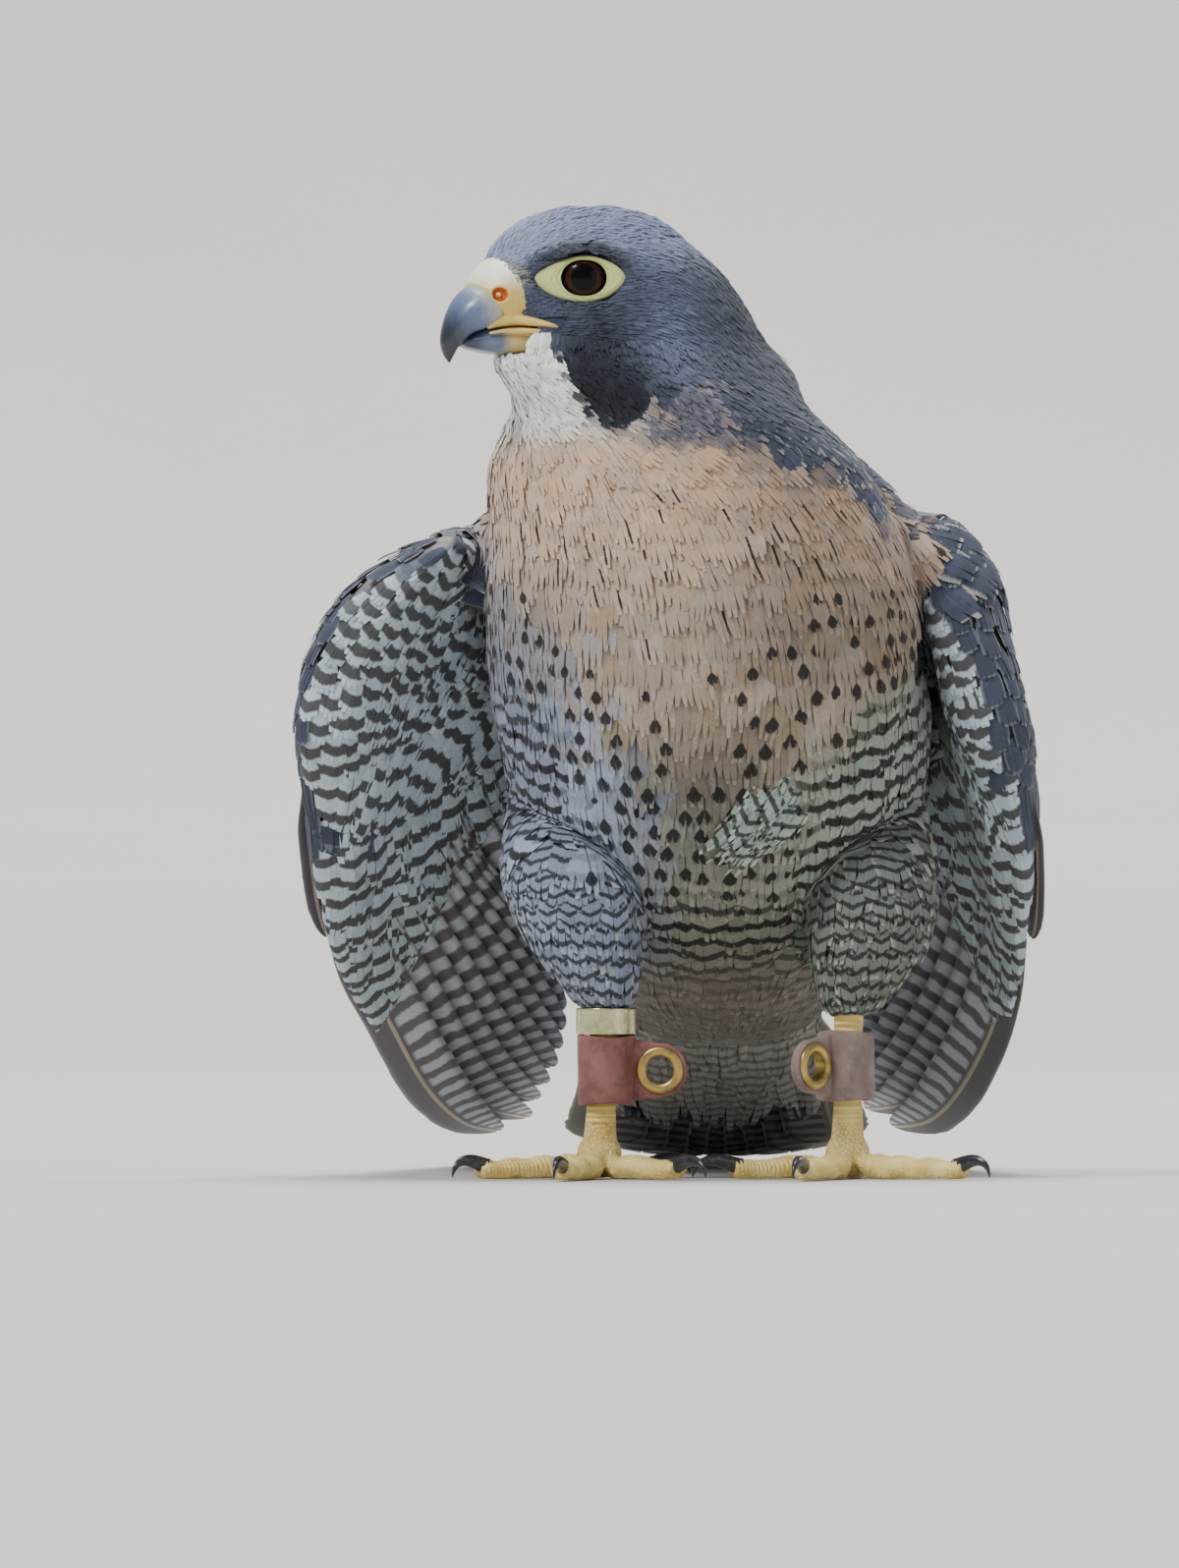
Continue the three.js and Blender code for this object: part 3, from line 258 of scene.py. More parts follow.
@dataclass
class Shell:
    """Vertices, quads and what is stored on them, in the bird's own millimetres."""
    points: Array
    quads: Array
    maps: dict[str, Array] = field(default_factory=dict)
    colours: dict[str, Array] = field(default_factory=dict)

    def joined(self, other: "Shell") -> "Shell":
        """This shell and another in one, with what both store."""
        both = [{k: np.concatenate([mine[k], theirs[k]]) for k in mine if k in theirs}
                for mine, theirs in ((self.maps, other.maps), (self.colours, other.colours))]
        return Shell(np.concatenate([self.points, other.points]),
                     np.concatenate([self.quads, other.quads + len(self.points)]), *both)

    def make(self, name: str) -> bpy.types.Object:
        """The shell as an object at the origin, smooth shaded, with its maps and colours."""
        mesh = bpy.data.meshes.new(name)
        mesh.vertices.add(len(self.points))
        set_points(mesh, self.points)
        loops = self.quads.ravel().astype(np.int32)
        mesh.loops.add(len(loops))
        mesh.loops.foreach_set("vertex_index", loops)
        mesh.polygons.add(len(self.quads))
        mesh.polygons.foreach_set("loop_start", np.arange(0, len(loops), 4, dtype=np.int32))
        mesh.update(calc_edges=True)
        for key, values in self.maps.items():
            mesh.uv_layers.new(name=key).uv.foreach_set("vector", values[loops].astype(np.float32).ravel())
        for key, values in self.colours.items():
            set_colours(mesh, key, values)
        mesh.polygons.foreach_set("use_smooth", np.ones(len(self.quads), bool))
        mesh.validate(clean_customdata=False)
        return shown(name, mesh)

    def grown(self, name: str, voxel: float, soften: int) -> bpy.types.Mesh:
        """The shell's closed forms grown together into one mesh without a seam, then softened.

        Args:
            name: of the new mesh.
            voxel: the size of its faces in metres.
            soften: how many times it is smoothed.

        Returns:
            The mesh, in no object yet.
        """
        rough = self.make("rough")
        grow = rough.modifiers.new("grow", "REMESH")
        grow.mode, grow.voxel_size, grow.use_smooth_shade = "VOXEL", voxel, True
        ease = rough.modifiers.new("ease", "SMOOTH")
        ease.factor, ease.iterations = 0.5, soften
        mesh = bpy.data.meshes.new_from_object(rough.evaluated_get(bpy.context.evaluated_depsgraph_get()))
        bpy.data.objects.remove(rough)
        mesh.name = name
        return mesh


def together(shells: list[Shell]) -> Shell:
    """Several shells in one."""
    return reduce(Shell.joined, shells)


def capped(rings: Array) -> Shell:
    """A closed shell over rings of points, each end drawn in to a small ring about its middle."""
    first, last = (end.mean(1, keepdims=True) + 0.02 * (end - end.mean(1, keepdims=True))
                   for end in (rings[:1], rings[-1:]))
    rows = np.concatenate([first, rings, last])
    count, sides = rows.shape[:2]
    quads = grid_faces(count, sides, True)
    fan = np.arange(sides // 2 - 1)
    ends = np.stack([fan, fan + 1, sides - 2 - fan, sides - 1 - fan], -1)
    return Shell(rows.reshape(-1, 3), np.concatenate([quads, ends, (ends + (count - 1) * sides)[:, ::-1]]))


def facing_out(shell: Shell) -> Shell:
    """The shell with its faces turned outwards, told by the sign of its volume."""
    p, q = shell.points, shell.quads
    a, b, c, d = (p[q[:, k]] for k in range(4))
    volume = (np.cross(b, c) * a).sum() + (np.cross(c, d) * a).sum()
    return shell if volume > 0 else Shell(p, q[:, ::-1], shell.maps, shell.colours)


def hooped(rings: Array) -> Shell:
    """A closed shell whose last ring joins its first, like a hoop, with its faces turned outwards."""
    count, sides = rings.shape[:2]
    here, last = np.arange(sides), (count - 1) * sides
    after = (here + 1) % sides
    seam = np.stack([here + last, after + last, after, here], -1)
    return facing_out(Shell(rings.reshape(-1, 3), np.concatenate([grid_faces(count, sides, True), seam])))


def closed(rings: Array) -> Shell:
    """A closed shell over rings of points, with its faces turned outwards."""
    return facing_out(capped(rings))


def tube(keys: Array, radii: Array, sides: int = 16, steps: int = 60) -> Array:
    """Rings round a smooth path, each square to it, with radii given at the keys."""
    at = np.linspace(0, len(keys) - 1, steps)
    path = smooth_keys(np.asarray(keys, float), at)
    r = smooth_keys(np.asarray(radii, float)[:, None], at)[:, 0]
    along = unit(np.gradient(path, axis=0))
    up = np.where(np.abs(along[:, 2:3]) > 0.92, [[0.0, 1.0, 0.0]], [[0.0, 0.0, 1.0]])
    across = unit(np.cross(along, up))
    rise = np.cross(across, along)
    turn = full_turn(sides)
    ring = np.cos(turn)[None, :, None] * across[:, None] + np.sin(turn)[None, :, None] * rise[:, None]
    return path[:, None] + r[:, None, None] * ring


# Forms

class BodyForm:
    """The smooth form of torso, neck and head over oval sections."""

    @staticmethod
    def point(at: Array, turn: Array, grow: Array = 0.0) -> Array:
        """A point of the surface: the section's middle, plus its half width times the cosine of the
        turn and its depth times the sine, in the section's own tilted plane.

        Args:
            at: section number, 0 at the rump and 16 at the crown.
            turn: angle round the section, -90 degrees in front.
            grow: how far outside the surface.

        Returns:
            Points in millimetres.
        """
        key = smooth_keys(BODY, at)
        pitch, yaw = np.radians(key[..., 3]), np.radians(key[..., 4])
        left = np.stack([np.cos(yaw), -np.sin(yaw), 0 * yaw], -1)
        rear = np.stack([np.sin(yaw) * np.cos(pitch), np.cos(yaw) * np.cos(pitch), np.sin(pitch)], -1)
        depth = np.where(np.sin(turn) < 0, key[..., 6], key[..., 7])
        return (key[..., :3] + left * (np.cos(turn) * (key[..., 5] + grow))[..., None]
                + rear * (np.sin(turn) * (depth + grow))[..., None])

    @staticmethod
    def holds(points: Array, margin: float) -> Array:
        """Whether points lie in the torso, grown by a margin."""
        key = smooth_keys(BODY, np.arange(0, 8.5, 0.25))
        pitch = np.radians(key[:, 3])
        offset = points[..., None, :] - key[:, :3]
        depth = offset[..., 1] * np.cos(pitch) + offset[..., 2] * np.sin(pitch)
        off = offset[..., 2] * np.cos(pitch) - offset[..., 1] * np.sin(pitch)
        across = offset[..., 0] / (key[:, 5] + margin)
        deep = depth / (np.where(depth < 0, key[:, 6], key[:, 7]) + margin)
        return ((np.abs(off) < 4) & (across ** 2 + deep ** 2 < 1)).any(-1)


WING_EDGES = {
    Side.RIGHT: ([
        [-66, 4, 179], [-84, 0, 170.5], [-98, -3, 158], [-107, -4, 143], [-110.5, -2, 124],
        [-109, 15, 100], [-104, 48, 64], [-92, 100, 38], [-83, 155, 20], [-74, 215, 9], [-64, 286, 4],
    ], (46, 36), 0.2),
    Side.LEFT: ([
        [46, 8, 187], [57, 2, 174], [67.5, -3, 159], [76, -5, 142], [81, -3, 122],
        [85, 12, 100], [86.5, 40, 70], [83, 88, 42], [76, 144, 22], [68, 208, 9], [58, 284, 4],
    ], (70, 50), 0.58),
}
WRIST = 4  # which point of the leading edge
SPAN_STEPS = 80  # samples between two points of a curve


def centripetal(points: Array) -> Array:
    """A centripetal Catmull-Rom curve through points, sampled evenly within each span."""
    p = np.vstack([2 * points[0] - points[1], points, 2 * points[-1] - points[-2]])
    dt = np.sum(np.diff(p, axis=0) ** 2, 1) ** 0.25
    t = np.linspace(0, 1, SPAN_STEPS, endpoint=False)[:, None]
    spans = []
    for i in range(1, len(p) - 2):
        d0, d1, d2 = dt[i - 1], dt[i], dt[i + 1]
        t1 = ((p[i] - p[i - 1]) / d0 - (p[i + 1] - p[i - 1]) / (d0 + d1) + (p[i + 1] - p[i]) / d1) * d1
        t2 = ((p[i + 1] - p[i]) / d1 - (p[i + 2] - p[i]) / (d1 + d2) + (p[i + 2] - p[i + 1]) / d2) * d1
        c2 = -3 * p[i] + 3 * p[i + 1] - 2 * t1 - t2
        c3 = 2 * p[i] - 2 * p[i + 1] + t1 + t2
        spans.append(p[i] + t * (t1 + t * (c2 + t * c3)))
    return np.vstack(spans + [points[-1:]])


class WingForm:
    """Wing space: a is the chord from the leading edge inwards, b the way from the wrist towards the
    tip and c the height over the wing's sheet on its upper side."""
    step_a = 4.0
    step_b = 3.0

    def __init__(self, side: Side) -> None:
        """Measures the leading edge and how far the sheet is lifted over the body."""
        edge, rise, closing = WING_EDGES[side]
        self.inward = -side.hand
        curve = centripetal(np.array(edge, float))
        length = path_length(curve)
        wrist = length[SPAN_STEPS * WRIST]
        self.b = np.arange(-96.0, 348.0, self.step_b)
        place = wrist + self.b * (length[-1] - wrist) / WING_LENGTH
        inside = np.clip(place, 0, length[-1])
        along = unit(read_rows(inside, length, unit(np.gradient(curve, axis=0))))
        self.origin = read_rows(inside, length, curve) + along * (place - inside)[:, None]
        tilt = np.maximum(0, np.arctan2(along[:, 1], -along[:, 2]))
        self.rear = np.stack([0 * tilt, np.cos(tilt), np.sin(tilt)], -1)
        self.rise = np.radians(mix(rise[0], rise[1], smooth(self.b, 0, WING_LENGTH)))
        self.bend = np.radians(closing)
        self.lift_a = np.arange(-12.0, 120.0, self.step_a)
        self.lift = self._lifted()

    def _flat(self, a: Array, b: Array, c: Array) -> Array:
        """The bent sheet before it is lifted: along the chord it follows a circle's arc that leaves the
        leading edge at the rise and closes on the back at a steady rate."""
        rise = np.interp(b, self.b, self.rise)
        turned = rise - self.bend * a
        inward = (np.sin(rise) - np.sin(turned)) / self.bend - c * np.sin(turned)
        back = (np.cos(turned) - np.cos(rise)) / self.bend + c * np.cos(turned)
        return (read_rows(b, self.b, self.origin) + inward[..., None] * np.array([self.inward, 0, 0])
                + back[..., None] * read_rows(b, self.b, self.rear))

    def _lifted(self) -> Array:
        """How far the sheet is raised where the body lies under it, over a grid of b by a."""
        b, a = np.meshgrid(self.b, self.lift_a, indexing="ij")
        level = -4.2 - 4 * (1 - smooth(a, 45, 60))
        lift = np.zeros_like(a)
        for step in range(40):
            lift = lift + (BodyForm.holds(self._flat(a, b, level + lift), 1.0) & (lift == step))
        wide = np.maximum(lift, np.maximum(np.roll(lift, 1, 1), np.roll(lift, -1, 1)))
        for _ in range(3):
            wide = (np.roll(wide, 1, 0) + np.roll(wide, -1, 0) + np.roll(wide, 1, 1) + np.roll(wide, -1, 1)
                    + 4 * wide) / 8
        return wide

    def point(self, a: Array, b: Array, c: Array) -> Array:
        """Points of wing space in the bird's frame, with the lift read between the grid's nodes."""
        a, b, c = np.broadcast_arrays(np.asarray(a, float), b, c)
        row = np.clip((b - self.b[0]) / self.step_b, 0, len(self.b) - 1.001)
        col = np.clip((a - self.lift_a[0]) / self.step_a, 0, len(self.lift_a) - 1.001)
        i, j = row.astype(int), col.astype(int)
        near, far = (mix(self.lift[i, k], self.lift[i + 1, k], row - i) for k in (j, j + 1))
        return self._flat(a, b, c + mix(near, far, col - j))


def root_line(a: Array) -> Array:
    """Where the arm ends and the flight feathers' roots begin, by chord."""
    return 26 - 0.55 * a


def arm_surface(wing: WingForm, turn: Array, share: Array, grow: Array) -> Array:
    """The arm's rounded surface: the chord follows a cosine of the turn from the leading edge and back,
    the thickness is greatest just behind that edge, and the end at the shoulder is rounded.

    Args:
        wing: the wing's space.
        turn: angle round the arm; its sine is positive on the upper side.
        share: the way from the shoulder, 0, to the roots of the flight feathers, 1, and past them.
        grow: how far outside the surface.

    Returns:
        Points in millimetres.
    """
    round_end = np.sqrt(np.maximum(0.02, 1 - (1 - np.minimum(1, share / 0.35)) ** 2))
    width = WING_CHORD * (0.3 + 0.7 * np.sin(np.pi / 2 * np.minimum(1, share / 0.6)))
    a = width * (1 - np.cos(turn)) / 2
    front = 8.6 * np.exp(-((a - 12) / 24) ** 2)
    thick = (4.2 + front * (1 - 0.55 * np.minimum(share, 1) ** 2)) * round_end
    thick = mix(thick, 2.2, smooth(share, 1.0, 1.9))
    c = np.sign(np.sin(turn)) * (thick + grow) * np.minimum(1, np.abs(np.sin(turn)) * 1.9)
    b = mix(-72, root_line(a), share)
    return wing.point(a - grow * np.maximum(0, np.cos(turn)), b, 1 + c)


class TailForm:
    """Tail space: a to the bird's left, b back from the root and c up off the tail's sheet."""
    line = np.array([[3, 96, 50], [3, 130, 34], [3, 170, 19], [3, 215, 7.8], [3, 250, 3], [3, 278, 2]], float)

    def __init__(self) -> None:
        """Measures the tail's middle line."""
        self.curve = centripetal(self.line)
        self.length = path_length(self.curve)
        self.along = unit(np.gradient(self.curve, axis=0))

    def point(self, a: Array, b: Array, c: Array) -> Array:
        """Points of tail space in the bird's frame, none under the floor."""
        a, b, c = np.broadcast_arrays(np.asarray(a, float), b, c)
        at = np.clip(b, 0, self.length[-1])
        along = unit(read_rows(at, self.length, self.along))
        up = np.stack([0 * at, -along[..., 2], along[..., 1]], -1)
        point = (read_rows(at, self.length, self.curve) + along * (b - at)[..., None] + up * c[..., None]
                 + np.stack([a, 0 * a, 0 * a], -1))
        point[..., 2] = np.maximum(point[..., 2], 0.3)
        return point


LEGS = {
    Side.RIGHT: {
        "thigh": [[-35, 26, 108, 19, 22, 20], [-37, 9, 84, 20, 25, 21], [-34, 2, 66, 16, 18, 16],
                  [-30.5, -1, 55, 11.5, 12, 11.5], [-28.6, -2, 48.6, 8.2, 8.4, 8.4]],
        "ankle": [-28.6, -2, 49], "foot": [-30.2, -1, 9],
        "headings": {"outer": -53, "middle": -12, "inner": 37, "hind": 140},
        "anklet_top": 39.4, "anklet_heading": 86,
    },
    Side.LEFT: {
        "thigh": [[41, 26, 106, 18, 21, 20], [44, 9, 80, 18.5, 24, 21], [43.5, 2, 64, 16, 18, 16],
                  [40.5, -1, 53, 11, 12, 11.5], [38.3, -2, 46.6, 7.8, 8, 8]],
        "ankle": [38.3, -2, 47], "foot": [38, -1, 9],
        "headings": {"inner": -62, "middle": -15, "outer": 50, "hind": 170},
        "anklet_top": 40.6, "anklet_heading": -40,
    },
}


def thigh_surface(side: Side, at: Array, turn: Array, grow: Array = 0.0) -> Array:
    """The thigh's surface over level oval sections, 0 in the body and 4 at the ankle."""
    key = smooth_keys(np.array(LEGS[side]["thigh"], float), at)
    depth = np.where(np.sin(turn) < 0, key[..., 4], key[..., 5])
    x = key[..., 0] + np.cos(turn) * (key[..., 3] + grow)
    y = key[..., 1] + np.sin(turn) * (depth + grow)
    return np.stack([x, y, key[..., 2] + 0 * turn], -1)


SHOULDERS = {
    Side.RIGHT: np.array([[-30, 21, 192, 12], [-42, 23, 186, 10.5], [-55, 22, 177, 8.5], [-68, 16, 168, 6.5],
                          [-80, 9, 162, 5.5]], float),
    Side.LEFT: np.array([[20, 14, 198, 13], [26, 14, 194, 12], [37, 12, 187, 11], [50.5, 8, 175, 9],
                         [64, 4, 164, 6.5]], float),
}


def shoulder_surface(side: Side, at: Array, turn: Array, grow: Array = 0.0) -> Array:
    """The shoulder's surface over round sections, 0 in the back and 4 on the wing."""
    key = smooth_keys(SHOULDERS[side], at)
    radius = (key[..., 3] + grow)[..., None]
    return key[..., :3] + radius * (np.cos(turn)[..., None] * np.array([0, 1.0, 0])
                                    + np.sin(turn)[..., None] * np.array([0.68 * side.hand, 0, 0.73]))


# Colours, as linear red, green and blue

def paint(red: int, green: int, blue: int) -> Array:
    """A colour given in 8-bit display values, made linear."""
    c = np.array([red, green, blue]) / 255
    return np.where(c <= 0.04045, c / 12.92, ((c + 0.055) / 1.055) ** 2.4)


CROWN = paint(116, 126, 156)
NAPE = paint(68, 73, 87)
CHEEK = paint(82, 89, 110)
MALAR = paint(34, 37, 46)
MANTLE = paint(66, 72, 90)
THROAT = paint(244, 246, 246)
BUFF = paint(212, 178, 148)
MOTTLE = paint(166, 164, 164)
CHEST = paint(162, 142, 120)
# the belly's own tone, darkened in part as painted shade low under the body
SHADED_BELLY = paint(118, 117, 105)
FLANK = paint(151, 162, 186)
# the flanks' tone in painted shade, darker and greener, for the bird's left side away from the light
SHADED_FLANK = paint(138, 149, 140)
UNDERWING = paint(184, 198, 210)
QUILL = paint(104, 98, 104)
FLAP = paint(158, 172, 164)
VENT = paint(128, 122, 114)


class Value:
    """A number, vector or colour in a material, worked on with the usual signs."""

    def __init__(self, wiring: "Wiring", socket: bpy.types.NodeSocket) -> None:
        """Keeps the socket that gives the value."""
        self.wiring, self.socket = wiring, socket

    def __add__(self, other: object) -> "Value":
        """Plus another."""
        return self.wiring.math("ADD", self, other)

    def __sub__(self, other: object) -> "Value":
        """Less another."""
        return self.wiring.math("SUBTRACT", self, other)

    def __rsub__(self, other: float) -> "Value":
        """Taken from a number."""
        return self.wiring.math("SUBTRACT", other, self)

    def __mul__(self, other: object) -> "Value":
        """Times another."""
        return self.wiring.math("MULTIPLY", self, other)

    def __truediv__(self, other: object) -> "Value":
        """Divided by another."""
        return self.wiring.math("DIVIDE", self, other)

    def __pow__(self, other: float) -> "Value":
        """To a power."""
        return self.wiring.math("POWER", self, other)

    def __abs__(self) -> "Value":
        """Without its sign."""
        return self.wiring.math("ABSOLUTE", self)

    def ease(self, low: float, high: float) -> "Value":
        """Turned into 0 to 1 between low and high, which may fall, with no corner."""
        made = self.wiring.node("MapRange", self, low, high, 0.0, 1.0, interpolation_type="SMOOTHSTEP")
        return self.wiring.output(made)


class Wiring:
    """Short ways to lay out the nodes of one material."""

    def __init__(self, name: str) -> None:
        """Starts a material with one shader."""
        self.material = bpy.data.materials.new(name)
        self.material.use_nodes = True
        self.tree = self.material.node_tree
        self.shader = self.tree.nodes["Principled BSDF"]

    def put(self, socket: bpy.types.NodeSocket, value: object) -> None:
        """Sets a socket to a constant, or links it to a value."""
        if isinstance(value, Value):
            self.tree.links.new(value.socket, socket)
        else:
            socket.default_value = value

    def node(self, kind: str, *inputs: object, **settings: object) -> bpy.types.Node:
        """A node with some of its settings and its first inputs."""
        made = self.tree.nodes.new("ShaderNode" + kind)
        for key, value in settings.items():
            setattr(made, key, value)
        for socket, value in zip(made.inputs, inputs):
            self.put(socket, value)
        return made

    def fill(self, made: bpy.types.Node, **sockets: object) -> bpy.types.Node:
        """A node with the sockets of some names set or linked."""
        for key, value in sockets.items():
            self.put(made.inputs[key.replace("_", " ")], value)
        return made

    def output(self, made: bpy.types.Node, which: object = 0) -> Value:
        """What a node gives."""
        return Value(self, made.outputs[which])

    def math(self, operation: str, *values: object) -> Value:
        """One operation on numbers."""
        return self.output(self.node("Math", *values, operation=operation))

    def most(self, first: Value, second: object) -> Value:
        """The larger of two numbers."""
        return self.math("MAXIMUM", first, second)

    def dot(self, vector: Value, way: Array) -> Value:
        """How far a vector reaches along a direction."""
        return self.output(self.node("VectorMath", vector, tuple(way), operation="DOT_PRODUCT"), "Value")

    def blend(self, share: object, first: object, second: object, how: str = "MIX") -> Value:
        """Two colours mixed by a share."""
        made = self.node("Mix", share, data_type="RGBA", blend_type=how)
        for socket, colour in zip((made.inputs[6], made.inputs[7]), (first, second)):
            self.put(socket, colour if isinstance(colour, Value) else (*colour, 1))
        return self.output(made, 2)

    def shaded(self, colour: Value, shade: Value) -> Value:
        """A colour made darker or lighter by a number."""
        return self.blend(1.0, colour, self.triple(shade, shade, shade), "MULTIPLY")

    def stored(self, name: str) -> tuple[Value, Value]:
        """The colour and the fourth number that a mesh stores under a name."""
        made = self.node("Attribute", attribute_name=name)
        return self.output(made, "Color"), self.output(made, "Alpha")

    def split(self, colour: Value) -> list[Value]:
        """The three numbers of a colour."""
        made = self.node("SeparateColor", colour)
        return [self.output(made, k) for k in range(3)]

    def map(self, name: str) -> list[Value]:
        """The two coordinates of a UV map."""
        made = self.node("SeparateXYZ", self.output(self.node("UVMap", uv_map=name)))
        return [self.output(made, k) for k in range(2)]

    def triple(self, x: object, y: object, z: object) -> Value:
        """Three numbers as a vector."""
        return self.output(self.node("CombineXYZ", x, y, z))

    def place(self) -> Value:
        """The place on the piece, in metres."""
        return self.output(self.node("TexCoord"), "Object")

    def noise(self, vector: Value, scale: float, detail: float = 2.0, rough: float = 0.5) -> Value:
        """Soft random numbers."""
        return self.output(self.fill(self.node("TexNoise"), Vector=vector, Scale=scale, Detail=detail,
                                     Roughness=rough))

    def cells(self, vector: Value, scale: float) -> Value:
        """The distance to the edges of cells."""
        made = self.node("TexVoronoi", feature="DISTANCE_TO_EDGE")
        return self.output(self.fill(made, Vector=vector, Scale=scale))

    def bump(self, height: Value, depth: float, strength: float) -> None:
        """Raises the surface by a height of a depth in metres."""
        made = self.fill(self.node("Bump"), Strength=strength, Distance=depth, Height=height)
        self.fill(self.shader, Normal=self.output(made))

    def finish(self, **sockets: object) -> bpy.types.Material:
        """Sets the shader's own sockets and gives the material."""
        self.fill(self.shader, **sockets)
        return self.material


@dataclass(frozen=True)
class FeatherFinish:
    """A vane's finish: barbs slanting off the shaft, and ink in streaks, spots or bars measured in
    millimetres from the tip. The stored marks weigh streak, spot, bar and pale fringe."""
    name: str
    ink: tuple = tuple(paint(22, 20, 22))
    pale: tuple = tuple(paint(222, 216, 204))
    pitch: float = 6.3
    dark: float = 0.4
    chevron: float = 0.35
    drop: tuple = (2.15, 2.7, 3.5)
    streak: float = 0.34
    rim: float = 0.8
    coarse: float = 1.0

    def material(self) -> bpy.types.Material:
        """The finish as a material."""
        w = Wiring(self.name)
        (tone, draw), (marks, fringe) = w.stored("tone"), w.stored("marks")
        streak, spot, bar = w.split(marks)
        across, tip = w.map("span")
        across = abs(across)
        seed = draw * 61.0
        slanted = (across * 0.8 + tip) * (2.6 / self.coarse)
        barbs = w.noise(w.triple(slanted, across * 0.35, seed), 1.0, 2.5, 0.7)
        wander = w.noise(w.triple(across, tip * 0.6, seed), 0.7) - 0.5
        fine = barbs - 0.5
        edge = fine * 1.3 + wander * 0.9
        ink = streak * self._streak(across, tip, edge)
        ink = w.most(ink, spot.ease(0.05, 0.2) * self._spot(w, across, tip, edge, spot))
        ink = w.most(ink, bar * self._bars(w, across, tip, edge))
        out = abs(w.map("vane")[0] * 2.0 - 1.0)
        end = (edge * 0.5 + tip).ease(self.rim * 1.4, self.rim * 0.5)
        rim = w.most((fine * 0.3 + out).ease(0.70, 0.92), end)
        colour = w.blend(fringe * rim, tone, self.pale)
        colour = w.shaded(colour, (fine * 0.75 + 1.0) * (draw * 0.16 + 0.92))
        colour = w.blend(ink * 0.94, colour, self.ink)
        w.bump(across.ease(0.22, 0.05) * 0.5 + barbs, 0.00022, 0.55)
        return w.finish(Base_Color=colour, Roughness=0.8, Sheen_Weight=0.18, Sheen_Roughness=0.4,
                        Specular_IOR_Level=0.25)

    def _streak(self, across: Value, tip: Value, edge: Value) -> Value:
        """A thin dark line along the shaft that stops short of the tip."""
        wide = (edge * 0.35 + across).ease(self.streak * 1.25, self.streak * 0.7)
        return wide * tip.ease(0.8, 1.8)

    def _spot(self, w: Wiring, across: Value, tip: Value, edge: Value, spot: Value) -> Value:
        """A drop near the tip: an ellipse in across and along, drawn narrower towards the root and
        larger with its weight, on a thin line along the shaft."""
        half, tall, at = self.drop
        up = (tip - at) / tall
        side = across / half * (w.most(up, 0.0) * 0.9 + 1.0)
        far = w.math("SQRT", side ** 2.0 + abs(up) ** 2.0)
        far = edge * 0.45 + far / (spot * 0.5 + 0.5)
        line = across.ease(0.3, 0.14) * tip.ease(at * 0.5, at)
        return w.most(far.ease(1.06, 0.8), line * 0.7)

    def _bars(self, w: Wiring, across: Value, tip: Value, edge: Value) -> Value:
        """Dark bands at a steady pitch from the tip, bent into chevrons at the shaft."""
        run = across * -self.chevron + tip + edge * 0.9
        near = abs(w.math("FRACT", run / self.pitch) - 0.5)
        return near.ease(self.dark / 2 + 0.05, self.dark / 2 - 0.05)


def repeated(quads: Array, count: int, stride: int) -> Array:
    """The same quads for several pieces whose points follow each other by a stride."""
    return (quads[None] + (np.arange(count) * stride)[:, None, None]).reshape(-1, 4)


@dataclass(frozen=True)
class Cut:
    """How a feather is cut into locks of barbs: their number, the points along each, the share of
    the length that the round end takes, the width at the root, how unevenly the locks end, how
    much each narrows and how far they lie out of one plane, in millimetres."""
    locks: int = 6
    along: int = 7
    point: float = 0.5
    neck: float = 0.5
    fray: float = 0.06
    taper: float = 0.65
    ruffle: float = 0.1

    def grid(self, count: int, rng: np.random.Generator) -> tuple[Array, Array, Array, Array]:
        """Where the points of each feather lie.

        Args:
            count: of feathers.
            rng: chance.

        Returns:
            The place across from -1 to 1, the share of the length, the share of the width there and
            the ruffle in millimetres, each by feather, row and column, two columns a lock.
        """
        middle = -1 + (2 * np.arange(self.locks) + 1) / self.locks
        end = 1 - self.point * (1 - np.sqrt(1 - 0.97 * middle ** 2))
        s = np.linspace(0, 1, self.along)[None, :, None]
        v = s * end * (1 + self.fray * np.clip(rng.normal(size=(count, 1, self.locks)), -1.6, 1.6))
        slim = (1.03 - self.taper * smooth(s, 0.74, 1.06)) / self.locks
        wave = 0.5 * self.fray * rng.normal(size=(count, 1, self.locks)) * s ** 2
        pair = lambda left, right: np.stack([left, right], -1).reshape(count, self.along, 2 * self.locks)
        u = pair(middle + wave - slim + 0 * v, middle + wave + slim + 0 * v)
        lift = self.ruffle * rng.normal(size=(2, count, 1, self.locks)) * smooth(s, 0.1, 0.6)
        v = pair(v, v)
        return u, v, mix(self.neck, 1, smooth(v, 0, 0.4)), pair(lift[0] - lift[1], lift[0] + lift[1])

    def faces(self, count: int) -> Array:
        """The quads of every lock, facing off the skin."""
        row, lock = np.meshgrid(np.arange(self.along - 1), np.arange(self.locks), indexing="ij")
        first = row * 2 * self.locks + 2 * lock
        below = first + 2 * self.locks
        quads = np.stack([first, below, below + 1, first + 1], -1).reshape(-1, 4)
        return repeated(quads, count, self.along * 2 * self.locks)


